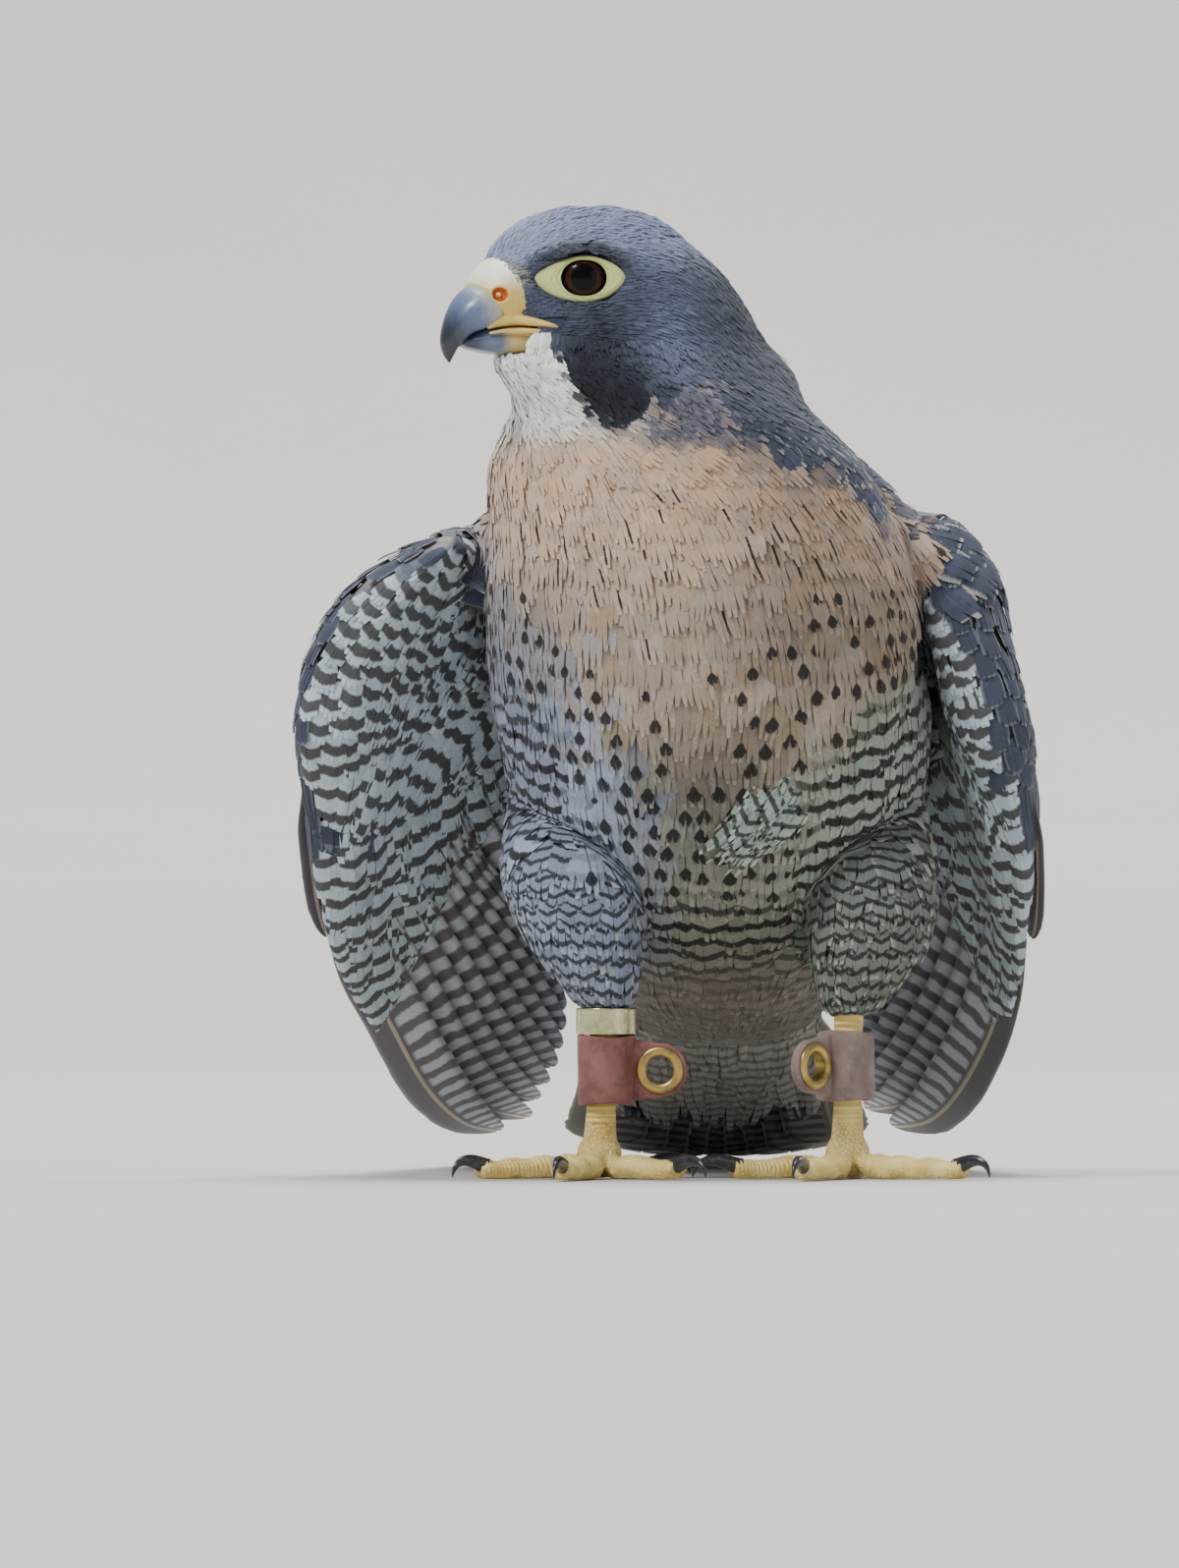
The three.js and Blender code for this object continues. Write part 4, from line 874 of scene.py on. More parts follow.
@dataclass
class Tract:
    """Feathers of one part of the coat, one row each. What all share may be given once."""
    root: Array
    lie: Array
    length: Array
    width: Array
    depth: Array
    spot: Array
    tone: Array
    marks: Array

    def __post_init__(self) -> None:
        """Repeats what all feathers share."""
        count = len(self.root)
        for name in ("length", "width", "depth"):
            setattr(self, name, np.broadcast_to(getattr(self, name), count))
        self.lie = np.broadcast_to(self.lie, (count, 3))
        self.marks = np.broadcast_to(self.marks, (count, 4))

    def only(self, keep: Array) -> "Tract":
        """The feathers picked out by a mask."""
        return Tract(*(getattr(self, name)[keep] for name in self.__dataclass_fields__))

    def joined(self, more: "Tract") -> "Tract":
        """These feathers and others in one tract."""
        return Tract(*(np.concatenate([getattr(self, name), getattr(more, name)])
                       for name in self.__dataclass_fields__))


PROBE = 0.002  # metres off the skin at which the way out of it is read


class Drape:
    """Lays flat feathers on the skin."""

    def __init__(self, target: bpy.types.Object) -> None:
        """Keeps the skin that the feathers lie on."""
        self.target = target

    def _wrapped(self, points: Array, offset: float) -> Array:
        """Points moved to the nearest place of the skin, and off it by an offset in metres."""
        mesh = bpy.data.meshes.new("drape")
        mesh.vertices.add(len(points))
        set_points(mesh, points)
        thing = shown("drape", mesh)
        wrap = thing.modifiers.new("lay", "SHRINKWRAP")
        wrap.target, wrap.offset = self.target, offset
        wrap.wrap_method, wrap.wrap_mode = "NEAREST_SURFACEPOINT", "ABOVE_SURFACE"
        done = thing.evaluated_get(bpy.context.evaluated_depsgraph_get())
        moved = get_points(done.data)
        bpy.data.objects.remove(thing)
        bpy.data.meshes.remove(mesh)
        return moved

    def lay(self, points: Array) -> tuple[Array, Array]:
        """The nearest places on the skin, and the way out of it there."""
        flat = points.reshape(-1, 3)
        on = self._wrapped(flat, 0.0)
        out = unit(self._wrapped(flat, PROBE) - on)
        return on.reshape(points.shape), out.reshape(points.shape)

    def near(self, tract: Tract, reach: float) -> Tract:
        """Only the feathers whose roots lie near the skin, not buried in an arm or thigh."""
        on, _ = self.lay(tract.root)
        return tract.only(np.linalg.norm(on - tract.root, axis=1) < reach)


STRIPS = 8  # strips side by side on the unwrap
MARGIN = 0.01
PATCH = 0.003  # the size of a tuft on the unwrap


def bake_place(strip: int, across: Array, along: Array) -> Array:
    """A root's place on the unwrap, with across and along running from 0 to 1 in its strip."""
    return np.stack([MARGIN + (strip + np.clip(across, 0, 1) * 0.94) / STRIPS,
                     MARGIN + 0.97 * np.clip(along, 0, 1)], -1)


def turn_share(turn: Array) -> Array:
    """A turn as a share of a full one."""
    return (np.asarray(turn) / (2 * np.pi) + 0.5) % 1.0


def span_maps(u: Array, v: Array, length: Array, half: Array, spot: Array) -> dict[str, Array]:
    """Each point's place on its vane, in millimetres from the shaft and the tip, and on the bake's map.

    Args:
        u: across, from -1 to 1.
        v: along, from 0 to 1.
        length: of each feather.
        half: the half width at each point.
        spot: where each root lies on the unwrap.

    Returns:
        The maps vane, span and OFBake.
    """
    rooted = spot[:, None, None] + PATCH * (np.stack([u / 2, v - 0.5], -1))
    return {
        "vane": np.stack([(u + 1) / 2, v], -1).reshape(-1, 2),
        "span": np.stack([u * half, (1 - v) * length[:, None, None]], -1).reshape(-1, 2),
        "OFBake": rooted.reshape(-1, 2),
    }


def coat(tract: Tract, cut: Cut, drape: Drape, rng: np.random.Generator) -> Shell:
    """Feathers laid along the skin: each is a flat blade from its root along its lie, brought to the
    nearest skin, and raised off it along the skin's own normal, more towards its tip and less at
    its edges."""
    on, out = drape.lay(tract.root)
    lie = unit(tract.lie - (tract.lie * out).sum(-1, keepdims=True) * out)
    side = np.cross(out, lie)
    count = len(on)
    u, v, opened, ruffle = cut.grid(count, rng)
    column = lambda values: values[:, None, None]
    half = opened * column(tract.width) / 2
    sway = column(rng.normal(0, 0.06, count) * tract.length) * v ** 2
    flat = (column(on) + column(lie) * (column(tract.length) * v)[..., None]
            + column(side) * (u * half + sway)[..., None])
    laid, normal = drape.lay(flat)
    depth = column(tract.depth * (1 + 0.1 * rng.normal(size=count)))
    height = depth * (0.22 + 0.78 * smooth(v, -0.2, 0.85)) - 0.05 * column(tract.width) * u ** 2 * (0.4 + v)
    points = laid + normal * (height + ruffle * np.minimum(1, column(tract.width) / 8))[..., None]
    spread = lambda value: np.broadcast_to(column(value), (*u.shape, 4)).reshape(-1, 4)
    return Shell(points.reshape(-1, 3), cut.faces(count), span_maps(u, v, tract.length, half, tract.spot),
                 {"tone": spread(tract.tone), "marks": spread(tract.marks)})


def ring_rows(surface: object, ats: Array, size: object, rng: np.random.Generator) -> tuple[Array, Array]:
    """Places on a surface of rings, in staggered rows with even spacing round each ring.

    Args:
        surface: point(at, turn).
        ats: the ring numbers of the rows.
        size: the spacing at a ring number.
        rng: the chance that shifts each place a little.

    Returns:
        Ring numbers and turns.
    """
    turns = np.linspace(-np.pi, np.pi, 361)
    found = []
    for row, at in enumerate(ats):
        length = path_length(surface(np.full(len(turns), at), turns))
        count = max(3, int(round(length[-1] / size(at))))
        place = (np.arange(count) + 0.5 * (row % 2) + rng.uniform(-0.18, 0.18, count)) % count
        found.append((np.full(count, at), np.interp(place / count * length[-1], length, turns)))
    return tuple(np.concatenate(part) for part in zip(*found))


def row_places(surface: object, first: float, last: float, step: object) -> Array:
    """Ring numbers from first to last whose rows lie a step apart along the surface's front."""
    at = np.linspace(first, last, 600)
    front, rear, side = (surface(at, np.full(len(at), turn)) for turn in (-np.pi / 2, np.pi / 2, 0.0))
    run, swing = (np.linalg.norm(np.diff(line, axis=0), axis=1) for line in (front * 0.5 + rear * 0.5, side))
    way = np.maximum(run, 0.6 * swing)
    rows = np.concatenate([[0], np.cumsum(way / np.array([step(a) for a in at[:-1]]))])
    return np.interp(np.arange(0, rows[-1], 1.0), rows, at)


# Markings

HOOD_EDGE = np.array([
    [-62, 231], [-45, 231], [-39.7, 220], [-34, 208.4], [-28, 204.5], [-23.8, 203.6], [-17.3, 212],
    [-8, 214], [0.8, 219], [9, 212], [22, 203], [34, 194], [46, 182], [60, 160], [80, 120],
], float)


def on_body(points: Array) -> tuple[Array, Array]:
    """Section number and turn of points, by the section that a line slanting back and up meets."""
    slant = BODY[:, 2] * 0.766 - BODY[:, 1] * 0.643
    at = np.interp(points[..., 2] * 0.766 - points[..., 1] * 0.643, slant, np.arange(len(BODY)))
    key = smooth_keys(BODY, at)
    pitch, yaw = np.radians(key[..., 3]), np.radians(key[..., 4])
    off = points - key[..., :3]
    across = off[..., 0] * np.cos(yaw) - off[..., 1] * np.sin(yaw)
    level = off[..., 0] * np.sin(yaw) + off[..., 1] * np.cos(yaw)
    return at, np.arctan2(level * np.cos(pitch) + off[..., 2] * np.sin(pitch), across)


def within(x: Array, low: float, high: float, top: float, end: float) -> Array:
    """1 between high and top, with soft edges that begin at low and are over at end."""
    return smooth(x, low, high) * (1 - smooth(x, top, end))


def layer(under: Array, colour: Array, share: Array) -> Array:
    """A colour laid over others by a share for each row."""
    return mix(under, colour, np.asarray(share)[..., None])


def shadowed(tone: Array, factor: float, share: Array) -> Array:
    """Painted shade: colours brought towards a darker factor by a share for each row."""
    return tone * mix(1, factor, share)[:, None]


def varied(colour: Array, spread: float, count: int, rng: np.random.Generator) -> Array:
    """A colour for each feather, a little darker or lighter by chance."""
    return colour * (1 + spread * rng.normal(size=(count, 1)))


def drawn(tone: Array, rng: np.random.Generator) -> Array:
    """Colours with a draw of chance in the fourth place."""
    return np.concatenate([tone, rng.uniform(0, 1, (len(tone), 1))], 1)


def hood_tone(points: Array, profile: Array, wobble: Array) -> Array:
    """The dark colours of crown, nape, cheek, back and the stripe under the eye."""
    f, _, z = in_head(points)
    tone = layer(np.tile(CROWN, (len(points), 1)), CHEEK, 1 - smooth(z, 246, 256))
    # a paler, bluer forehead: the crown's pale streaks, brightened by painted sky light
    tone = layer(tone, paint(142, 152, 184), 0.8 * smooth(f, 14, 28) * smooth(z, 246, 252))
    tone = layer(tone, NAPE, smooth(profile, -14, 8) * (1 - smooth(z, 244, 262)))
    malar = np.hypot((profile + 29) / 23.5, (z - 217) / 29) + 0.05 * wobble
    tone = layer(tone, MALAR, 1 - smooth(malar, 0.3, 1.05))
    tone = layer(tone, CROWN, 0.5 * np.exp(-np.hypot((profile + 12) / 10, (z - 232) / 9) ** 2))
    tone = layer(tone, MANTLE, 1 - smooth(z, 190, 214))
    tone = layer(tone, MALAR, 0.75 * eye_shade(points))
    brow = smooth(f + 0.6 * wobble, 33.5, 37.5) * (1 - smooth(z, 247, 251))
    return layer(tone, paint(196, 192, 160), 0.75 * brow)


def pale_tone(points: Array, profile: Array, edge_left: Array, wobble: Array) -> Array:
    """The light colours of throat, breast, belly and flanks, with painted shade over the upper left breast,
    across the lower breast and along the right side by the wing.
    """
    x, z = points[:, 0], points[:, 2]
    tone = layer(np.tile(BUFF, (len(points), 1)), CHEST, 1 - smooth(z, 145, 185))
    tone = layer(tone, SHADED_BELLY, 1 - smooth(z, 86, 142))
    mottle = np.sin(0.34 * x + 1.4 * np.sin(0.23 * z)) * np.sin(0.31 * z + 1.6 * np.sin(0.19 * x))
    tone = layer(tone, MOTTLE, 0.2 + 0.2 * mottle)
    low = 1 - smooth(z, 85, 110)
    slanted = smooth(0.57 * np.clip(166 - z, 0, 66) - 53 - x + 6 * wobble, -16, 18)
    slanted = slanted * mix(0.95, 0.6, smooth(z, 122, 165))
    tone = layer(tone, FLANK, mix(slanted, smooth(-x, 7, 29), low) * (1 - smooth(z, 166, 192)))
    # painted shade: the darker, greener flank tone laid over the bird's left side, away from the light
    shaded_flank_share = mix(smooth(x - edge_left + 3 * wobble, -10, 12), smooth(x, 20, 30), low)
    tone = layer(tone, SHADED_FLANK, shaded_flank_share * (1 - smooth(z, 130, 160)))
    # painted shade over the upper breast on the bird's left, the side away from the light
    tone = shadowed(tone, 0.62, smooth(x, -14, 20) * smooth(z, 126, 152))
    # painted shade across the middle of the lower breast, low under the body
    tone = shadowed(tone, 0.62, within(z, 92, 104, 112, 132) * (1 - smooth(np.abs(x + 2), 16, 34)))
    # painted shade along the bird's right side of breast and flank, next to the wing
    tone = shadowed(tone, 0.7, smooth(-x, 34, 50) * within(z, 86, 100, 160, 176))
    front = smooth(-profile, 14, 30)
    tone = layer(tone, CHEEK, smooth(z, 197, 205) * (1 - front) * mix(0.55, 0.92, chance_of(points, 0.75)))
    tone = layer(tone, THROAT, smooth(z, 199, 209) * front)
    return layer(tone, VENT, 1 - smooth(z, 50, 66))


def body_marks(points: Array, rng: np.random.Generator) -> tuple[Array, Array]:
    """Tone and marks of head, neck and torso.

    The hood is dark above an edge drawn over the side of the head and mirrored to the other. The
    back is slate. The throat is white and the breast buff and mottled, with patches of painted shade,
    a few thin streaks and, lower down, drops. The flanks and the belly are barred, bluer on the bird's
    right and darker and greener, in painted shade, on its left, the side away from the light.

    Args:
        points: places in the bird's frame.
        rng: chance, for small differences between feathers.

    Returns:
        Four numbers a row each: colour with a draw of chance, and the weights of the marks.
    """
    count = len(points)
    at, turn = on_body(points)
    f, l, z = in_head(points)
    x = points[:, 0]
    wobble = rng.normal(0, 1, count)
    profile = HEAD["x"] - 0.891 * f + 0.454 * np.abs(l)
    edge = np.interp(profile, HOOD_EDGE[:, 0], HOOD_EDGE[:, 1])
    hood = smooth(z - edge + mix(0.7, 1.5, smooth(z, 217, 224)) * wobble, -1.4, 1.4) * smooth(at, 7.2, 8.0)
    back = smooth(np.sin(turn) + 0.05 * wobble, 0.12, 0.3) * smooth(profile, -30, -10)
    slate = np.maximum(hood, back)
    pale = 1 - slate
    edge_left = 24 + 0.78 * np.clip(z - 104, 0, 40)
    tone = layer(pale_tone(points, profile, edge_left, wobble), hood_tone(points, profile, wobble), slate)
    chance = rng.uniform(0, 1, count)
    border = np.where(x < 0, 27 + 0.43 * (z - 82), edge_left)
    flanks = smooth(np.abs(x) - border + 3 * wobble, -5, 5) * (1 - smooth(z + 3 * wobble, 126, 142))
    barred = np.maximum(flanks, 1 - smooth(z, 70, 86))
    start = 139 + 22 * smooth(np.where(x > 0, x, -x - 27), 4, 30)
    streak = pale * smooth(z - start, -2, 6) * (1 - smooth(z, 188, 198)) * (chance < 0.26)
    spot = pale * (1 - barred) * (1 - smooth(z - start + 3 * wobble, -2, 6))
    spot = spot * mix(0.55, 1.0, smooth(start - z, 0, 40)) * (chance < mix(0.95, 0.64, smooth(z, 100, 122)))
    bar = pale * barred * mix(1.0, 0.3, 1 - smooth(z, 46, 66))
    streak = np.maximum(streak, 0.4 * slate * within(z, 200, 215, 252, 262))
    buffed = pale * smooth(z, 202, 206) * smooth(profile, -22, -12)
    streak = np.maximum(streak, 0.8 * buffed * (chance < 0.7))
    fringe = 0.35 * slate * (1 - smooth(z, 196, 214)) + 0.1 * slate * smooth(z, 246, 256) + 0.12 * pale
    return drawn(varied(tone, 0.06, count, rng), rng), np.stack([streak, spot, bar, fringe], 1)


def chance_of(points: Array, share: float) -> Array:
    """A steady draw for each place: 1 for about a share of them, else 0.3."""
    mixed = np.sin(points @ np.array([12.9898, 78.233, 37.719])) * 43758.5453
    return np.where(mixed - np.floor(mixed) < share, 1.0, 0.3)


def eye_shade(points: Array) -> Array:
    """The dark feathers close over the eyes and behind and before them."""
    shade = np.zeros(len(points))
    for side in Side:
        out, ahead, rise = around_eye(side, points)
        far = teardrop(ahead, rise)
        near = (1 - smooth(far, 1.15, 1.55)) * smooth(rise, -3, 2) + (1 - smooth(far, 1.05, 1.3)) * 0.4
        shade = np.maximum(shade, np.minimum(1, near) * (out > -12))
    return shade


# The skin and its coat

BROW = np.array([[33, 13.5, 253.2], [27, 18, 255], [20, 20, 255.6], [12, 20.5, 254.4], [5, 20, 252]], float)
BROW_RADII = (1.4, 2.1, 2.3, 1.9, 1.0)
CROWN_TOP = 267.0


def eye_axes(side: Side) -> tuple[Array, Array]:
    """The ways out along an eye's axis and level forward across it."""
    out = eye_way(side)
    return out, unit(np.cross(out, [0.0, 0.0, 1.0])) * side.hand


def around_eye(side: Side, points: Array) -> tuple[Array, Array, Array]:
    """How far out along an eye's axis, forward and up points lie."""
    out, ahead = eye_axes(side)
    up = np.cross(ahead, out)
    off = points - eye_centre(side, 0.0)
    return off @ out, off @ ahead, off @ up * np.sign(up[2])


def teardrop(ahead: Array, rise: Array) -> Array:
    """How far out a point lies in the bare ring round the eye, 1 at its edge."""
    wide = ahead / np.where(ahead > 0, 13.6, 10.0)
    turn = np.arctan2(rise / 7.6, wide)
    slim = np.where(ahead > 0, 1 - 0.35 * np.cos(turn) ** 2, 1.0)
    return np.hypot(wide, rise / (7.6 * slim))


def brow_tube(hand: int) -> Array:
    """Rings round the ridge over one eye."""
    return tube(head_point(BROW[:, 0], hand * (BROW[:, 1] - 0.9), BROW[:, 2] - 0.2), BROW_RADII)


@dataclass
class Skin:
    """The one skin under the coat, grown together from the forms of body, thighs, arms and tail."""
    voxel: float = 0.0016
    body_depth: float = 3.0
    head_depth: float = 1.1

    def forms(self, wings: dict[Side, WingForm], tail: TailForm) -> Shell:
        """The closed forms, each a little inside the coat."""
        at, turn = ring_grid(0, 16, 220)
        depth = mix(self.body_depth, self.head_depth, smooth(at, 8.5, 11.5))
        parts = [closed(BodyForm.point(at, turn, -depth))]
        for side, wing in wings.items():
            share, turn = ring_grid(0.0, 0.98, 60)
            parts.append(closed(arm_surface(wing, turn, share, -1.4)))
            at, turn = ring_grid(0, 4, 50)
            parts += [closed(thigh_surface(side, at, turn, -2.2)), closed(brow_tube(side.hand)),
                      closed(shoulder_surface(side, at, turn, -2.0))]
        at, turn = ring_grid(0, 1.12, 20)
        parts.append(closed(from_head(bill_surface(UPPER, at, turn, 0.35))))
        b, turn = ring_grid(-14, 24, 24)
        root = tail.point(24 * np.cos(turn), b, mix(8.5, 3, (b + 14) / 38) * np.sin(turn))
        return together([*parts, closed(root)])

    def build(self, wings: dict[Side, WingForm], tail: TailForm) -> bpy.types.Object:
        """The forms joined into one smooth closed mesh, sunk under the eyes and behind the chin."""
        mesh = self.forms(wings, tail).grown("skin", self.voxel, 6)
        points = get_points(mesh)
        for side in Side:
            points = self._sunk(side, points)
        points = self._chinned(points)
        set_points(mesh, points)
        tone, _ = body_marks(points, np.random.default_rng(SEED))
        set_colours(mesh, "tone", tone)
        mesh.update()
        return shown("skin", mesh)

    @staticmethod
    def _sunk(side: Side, points: Array) -> Array:
        """The skin pushed in behind the ring and ball of one eye."""
        out, ahead, rise = around_eye(side, points)
        inside = (1 - smooth(teardrop(ahead, rise), 0.8, 1.04)) * (out > -14)
        push = np.minimum(0, -6.5 - out) * inside
        return points + push[:, None] * eye_way(side)

    @staticmethod
    def _chinned(points: Array) -> Array:
        """The skin drawn back behind the lower bill."""
        f, l, z = in_head(points)
        near = within(z, 225.5, 228, 233.5, 236) * (1 - smooth(np.abs(l), 11, 14.5))
        held = mix(f, np.minimum(f, 27.0), near)
        return np.where((near > 0)[:, None], head_point(held, l, z), points)

    @staticmethod
    def finish() -> bpy.types.Material:
        """Down and skin in the tones of the feathers over it, a little darker."""
        w = Wiring("skin")
        tone, _ = w.stored("tone")
        soft = w.noise(w.place(), 900.0, 3.0)
        w.bump(soft, 0.0008, 0.6)
        return w.finish(Base_Color=w.shaded(tone, soft * 0.5 + 0.45), Roughness=0.9, Specular_IOR_Level=0.15)


@dataclass
class BodyCoat:
    """The small feathers of torso, neck and head."""
    drape: Drape
    rng: np.random.Generator

    def _tract(self, first: float, last: float, sizes: tuple, long: float, wide: float,
               depths: tuple) -> Tract:
        """Feathers over part of the body.

        Args:
            first, last: section numbers.
            sizes: section numbers and the spacing at each.
            long, wide: length and width as shares of the spacing.
            depths: section numbers and the coat's depth at each.

        Returns:
            The feathers, one row each.
        """
        size = lambda at: np.interp(at, *sizes)
        form = lambda at, turn: BodyForm.point(at, turn)
        at, turn = ring_rows(form, row_places(form, first, last, lambda a: 0.78 * size(a)), size, self.rng)
        root = form(at, turn)
        lie = unit(form(np.maximum(at - 0.05, 0), turn) - root) + np.array([0, 0.0, -0.25])
        length, count = long * size(at), len(at)
        vary = 1 + 0.04 * self.rng.normal(size=count)
        tone, marks = body_marks(root + unit(lie) * (0.6 * length)[:, None], self.rng)
        return Tract(root, lie, length * vary, wide * size(at) * (1 + 0.08 * self.rng.normal(size=count)),
                     np.interp(at, *depths), bake_place(0, turn_share(turn), at / 16), tone, marks)

    def torso(self) -> Shell:
        """Contour feathers in staggered rows from the neck's foot to the rump, but none under the left
        wing's root and in the folds over the thighs."""
        tract = self._tract(0.1, 8.6, ([0, 6, 7.5, 8.6], [6.9, 6.7, 5.6, 4.4]), 2.45, 1.62,
                            ([0, 6, 8.6], [3.2, 3.0, 2.7]))
        x, y, z = tract.root.T
        crease = np.interp(x, [-57, -22, 25, 60], [102, 85, 84, 95])
        folded = (np.abs(x) > 22) & (y < 12) & (z < crease + 2) & (z > 58)
        tract = self.drape.near(tract.only(~((x > 56) & (z > 140)) & ~folded), 4.4)
        return coat(tract, Cut(6, 8, 0.55, 0.55, 0.09, 0.62, 0.06), self.drape, self.rng)

    def flap(self) -> Shell:
        """A few loose barred feathers in an oval that hangs over the left of the belly."""
        row, column = (part.ravel() for part in np.meshgrid(np.arange(5), np.arange(-1, 2), indexing="ij"))
        oval = np.hypot((row - 1.8) / 2.4, column / 1.3) < 1.02
        row, column = row[oval], column[oval]
        count = len(row)
        x = 31 - 3.5 * row + 4.9 * column + self.rng.normal(0, 0.8, count)
        z = 107 - 4.7 * row - 3.1 * column + self.rng.normal(0, 0.8, count)
        root, _ = self.drape.lay(np.stack([x, np.full(count, -38.0), z], 1))
        at, turn = on_body(root)
        tone = varied(FLAP, 0.05, count, self.rng)
        tract = Tract(root, [-0.55, 0, -0.83], 16 + self.rng.normal(0, 1.5, count), 11.0, 4.8,
                      bake_place(0, turn_share(turn), at / 16), drawn(tone, self.rng), [0.0, 0.0, 0.9, 0.2])
        return coat(tract, Cut(9, 8, 0.7, 0.5, 0.16, 0.8, 0.3), self.drape, self.rng)

    def neck(self) -> Shell:
        """Shorter feathers that run from the head into the breast and back."""
        tract = self._tract(8.3, 11.4, ([8.3, 9.4, 11.4], [3.9, 2.7, 1.6]), 3.4, 1.45,
                            ([8.3, 11.4], [2.7, 1.6]))
        tract = self.drape.near(tract, 4.2)
        return coat(tract, Cut(3, 6, 0.65, 0.5, 0.12, 0.6, 0.1), self.drape, self.rng)

    def head(self) -> Shell:
        """Fine tufts from the bill's root back over crown, cheeks and throat."""
        tract = self._tract(11.2, 16.0, ([11.2, 12.2, 16], [1.6, 1.3, 1.25]), 4.3, 1.2,
                            ([11.2, 12.5, 16], [1.6, 1.25, 1.2]))
        tract = reduce(Tract.joined, (self._crown(), self._lores(), self._brows(1), self._brows(-1)), tract)
        f, l, z = in_head(tract.root)
        fall = 0.15 + 0.95 * smooth(-f, -12, 20) + 0.5 * smooth(-z, -240, -222)
        tract.lie = -AHEAD + fall[:, None] * np.array([0, 0, -1.0])
        shrink = mix(1.0, 0.55, smooth(f, 16, 32))
        tract.length, tract.width = tract.length * shrink, tract.width * mix(1, shrink, 0.5)
        tract.depth = tract.depth * mix(1, 0.6, smooth(f, 20, 34))
        middle = tract.root + unit(tract.lie) * (0.6 * tract.length)[:, None]
        tract.tone, tract.marks = body_marks(middle, self.rng)
        l = np.abs(l)
        mouth = (f > 29) & (z > 227) & (z < 234.5) & (l < 14.5)
        corner = (f > 27.5) & (z > 230) & (z < 236) & (l < 19) & (l > 9)
        keep = ~mouth & ~corner
        for side in Side:
            out, forward, rise = around_eye(side, tract.root)
            keep &= (teardrop(forward, rise) > 1.0) | (out < -12)
        tract = self.drape.near(tract.only(keep), 7.8)
        return coat(tract, Cut(2, 4, 0.6, 0.7, 0.16, 0.8, 0.25), self.drape, self.rng)

    def _crown(self) -> Tract:
        """Tufts on the flat top of the crown."""
        f, l = np.meshgrid(np.arange(-10, 10, 1.2), np.arange(-8, 8, 1.2))
        f, l = (part.ravel() + self.rng.normal(0, 0.3, part.size) for part in (f, l))
        inside = np.hypot(f / 9.5, l / 7.5) < 1
        return self._loose(head_point(f[inside], l[inside], CROWN_TOP), 5.0, 1.5, 1.2)

    def _lores(self) -> Tract:
        """Short bristles that run over the root of the cere between bill and eye."""
        form = lambda at, turn: from_head(bill_surface(UPPER, at, turn, 0.5))
        at, turn = ring_rows(form, np.linspace(0.1, 1.06, 13), lambda a: 1.0, self.rng)
        keep = np.sin(turn) > -0.72
        return self._loose(form(at[keep], turn[keep]), 4.6, 0.9, 0.75)

    def _brows(self, hand: int) -> Tract:
        """Tufts over the ridge above an eye."""
        rings = brow_tube(hand)[2:-2:2].reshape(-1, 3)
        root = rings[self.rng.uniform(0, 1, len(rings)) < 0.6]
        _, l, z = in_head(root)
        middle = np.interp(z, [251, 256], [18, 18.5])
        return self._loose(root[(np.abs(l) > middle - 1.5) | (z > 255.5)], 4.6, 1.2, 0.9)

    def _loose(self, root: Array, length: float, width: float, depth: float) -> Tract:
        """Tufts of one size at given roots, whose lie and marks are still to be set."""
        count = len(root)
        f, l, _ = in_head(root)
        vary = 1 + 0.12 * self.rng.normal(size=count)
        return Tract(root, root * 0, length * vary, width, depth,
                     bake_place(0, 0.5 + 0.01 * l, 0.7 + 0.3 * smooth(f, -12, 45)), np.zeros((count, 4)), 0.0)


@dataclass
class ShoulderCoat:
    """The slate feathers that run from the back over the shoulder on to the wing."""
    drape: Drape
    rng: np.random.Generator

    def build(self, side: Side) -> Shell:
        """Rows from the back outwards."""
        form = lambda at, turn: shoulder_surface(side, at, turn)
        last = 4.1 if side is Side.LEFT else 2.7
        at, turn = ring_rows(form, np.arange(0.4, last, 0.42), lambda a: 6.0, self.rng)
        pick = (np.sin(turn) > -0.35) | (np.cos(turn) > 0.4)
        at, turn = at[pick], turn[pick]
        count = len(at)
        tone = varied(MANTLE, 0.08, count, self.rng)
        vary = 1 + 0.06 * self.rng.normal(size=count)
        tract = Tract(form(at, turn), [0.55 * side.hand, 0.6, -0.6], 17 * vary, 10.5 * vary, 3.0,
                      bake_place(7, turn_share(turn), 0.6 + 0.4 * at / 4), drawn(tone, self.rng),
                      [0.25, 0.0, 0.12, 0.4])
        return coat(self.drape.near(tract, 3.6), Cut(5, 7, 0.5, 0.55, 0.03, 0.4, 0.06), self.drape, self.rng)


@dataclass
class ThighCoat:
    """The barred feathers that hang over the thighs."""
    drape: Drape
    rng: np.random.Generator

    def build(self, side: Side) -> Shell:
        """Rows from the belly down to the ankle."""
        form = lambda at, turn: thigh_surface(side, at, turn)
        down = lambda at, *sizes: np.interp(at, [0, 3, 4], sizes)
        rows = row_places(form, 0.2, 3.95, lambda a: 5.2)
        at, turn = ring_rows(form, rows, lambda a: down(a, 6.6, 5.2, 4), self.rng)
        # painted shade: the thighs take the flank tones darkened, 0.8 on the right and 0.62 on the left, low
        # under the body and deeper on the side away from the light
        colour, strip = (0.8 * FLANK, 5) if side is Side.RIGHT else (0.62 * SHADED_FLANK, 6)
        tone = varied(colour, 0.05, len(at), self.rng)
        tract = Tract(form(at, turn), [0, 0.12, -1.0], down(at, 19, 15, 10.5), down(at, 11, 8, 5.5),
                      down(at, 3.0, 2.2, 1.4), bake_place(strip, turn_share(turn), at / 4),
                      drawn(tone, self.rng), [0.1, 0.0, 0.9, 0.3])
        return coat(self.drape.near(tract, 4.5), Cut(5, 7, 0.55, 0.55, 0.09, 0.6, 0.08), self.drape, self.rng)


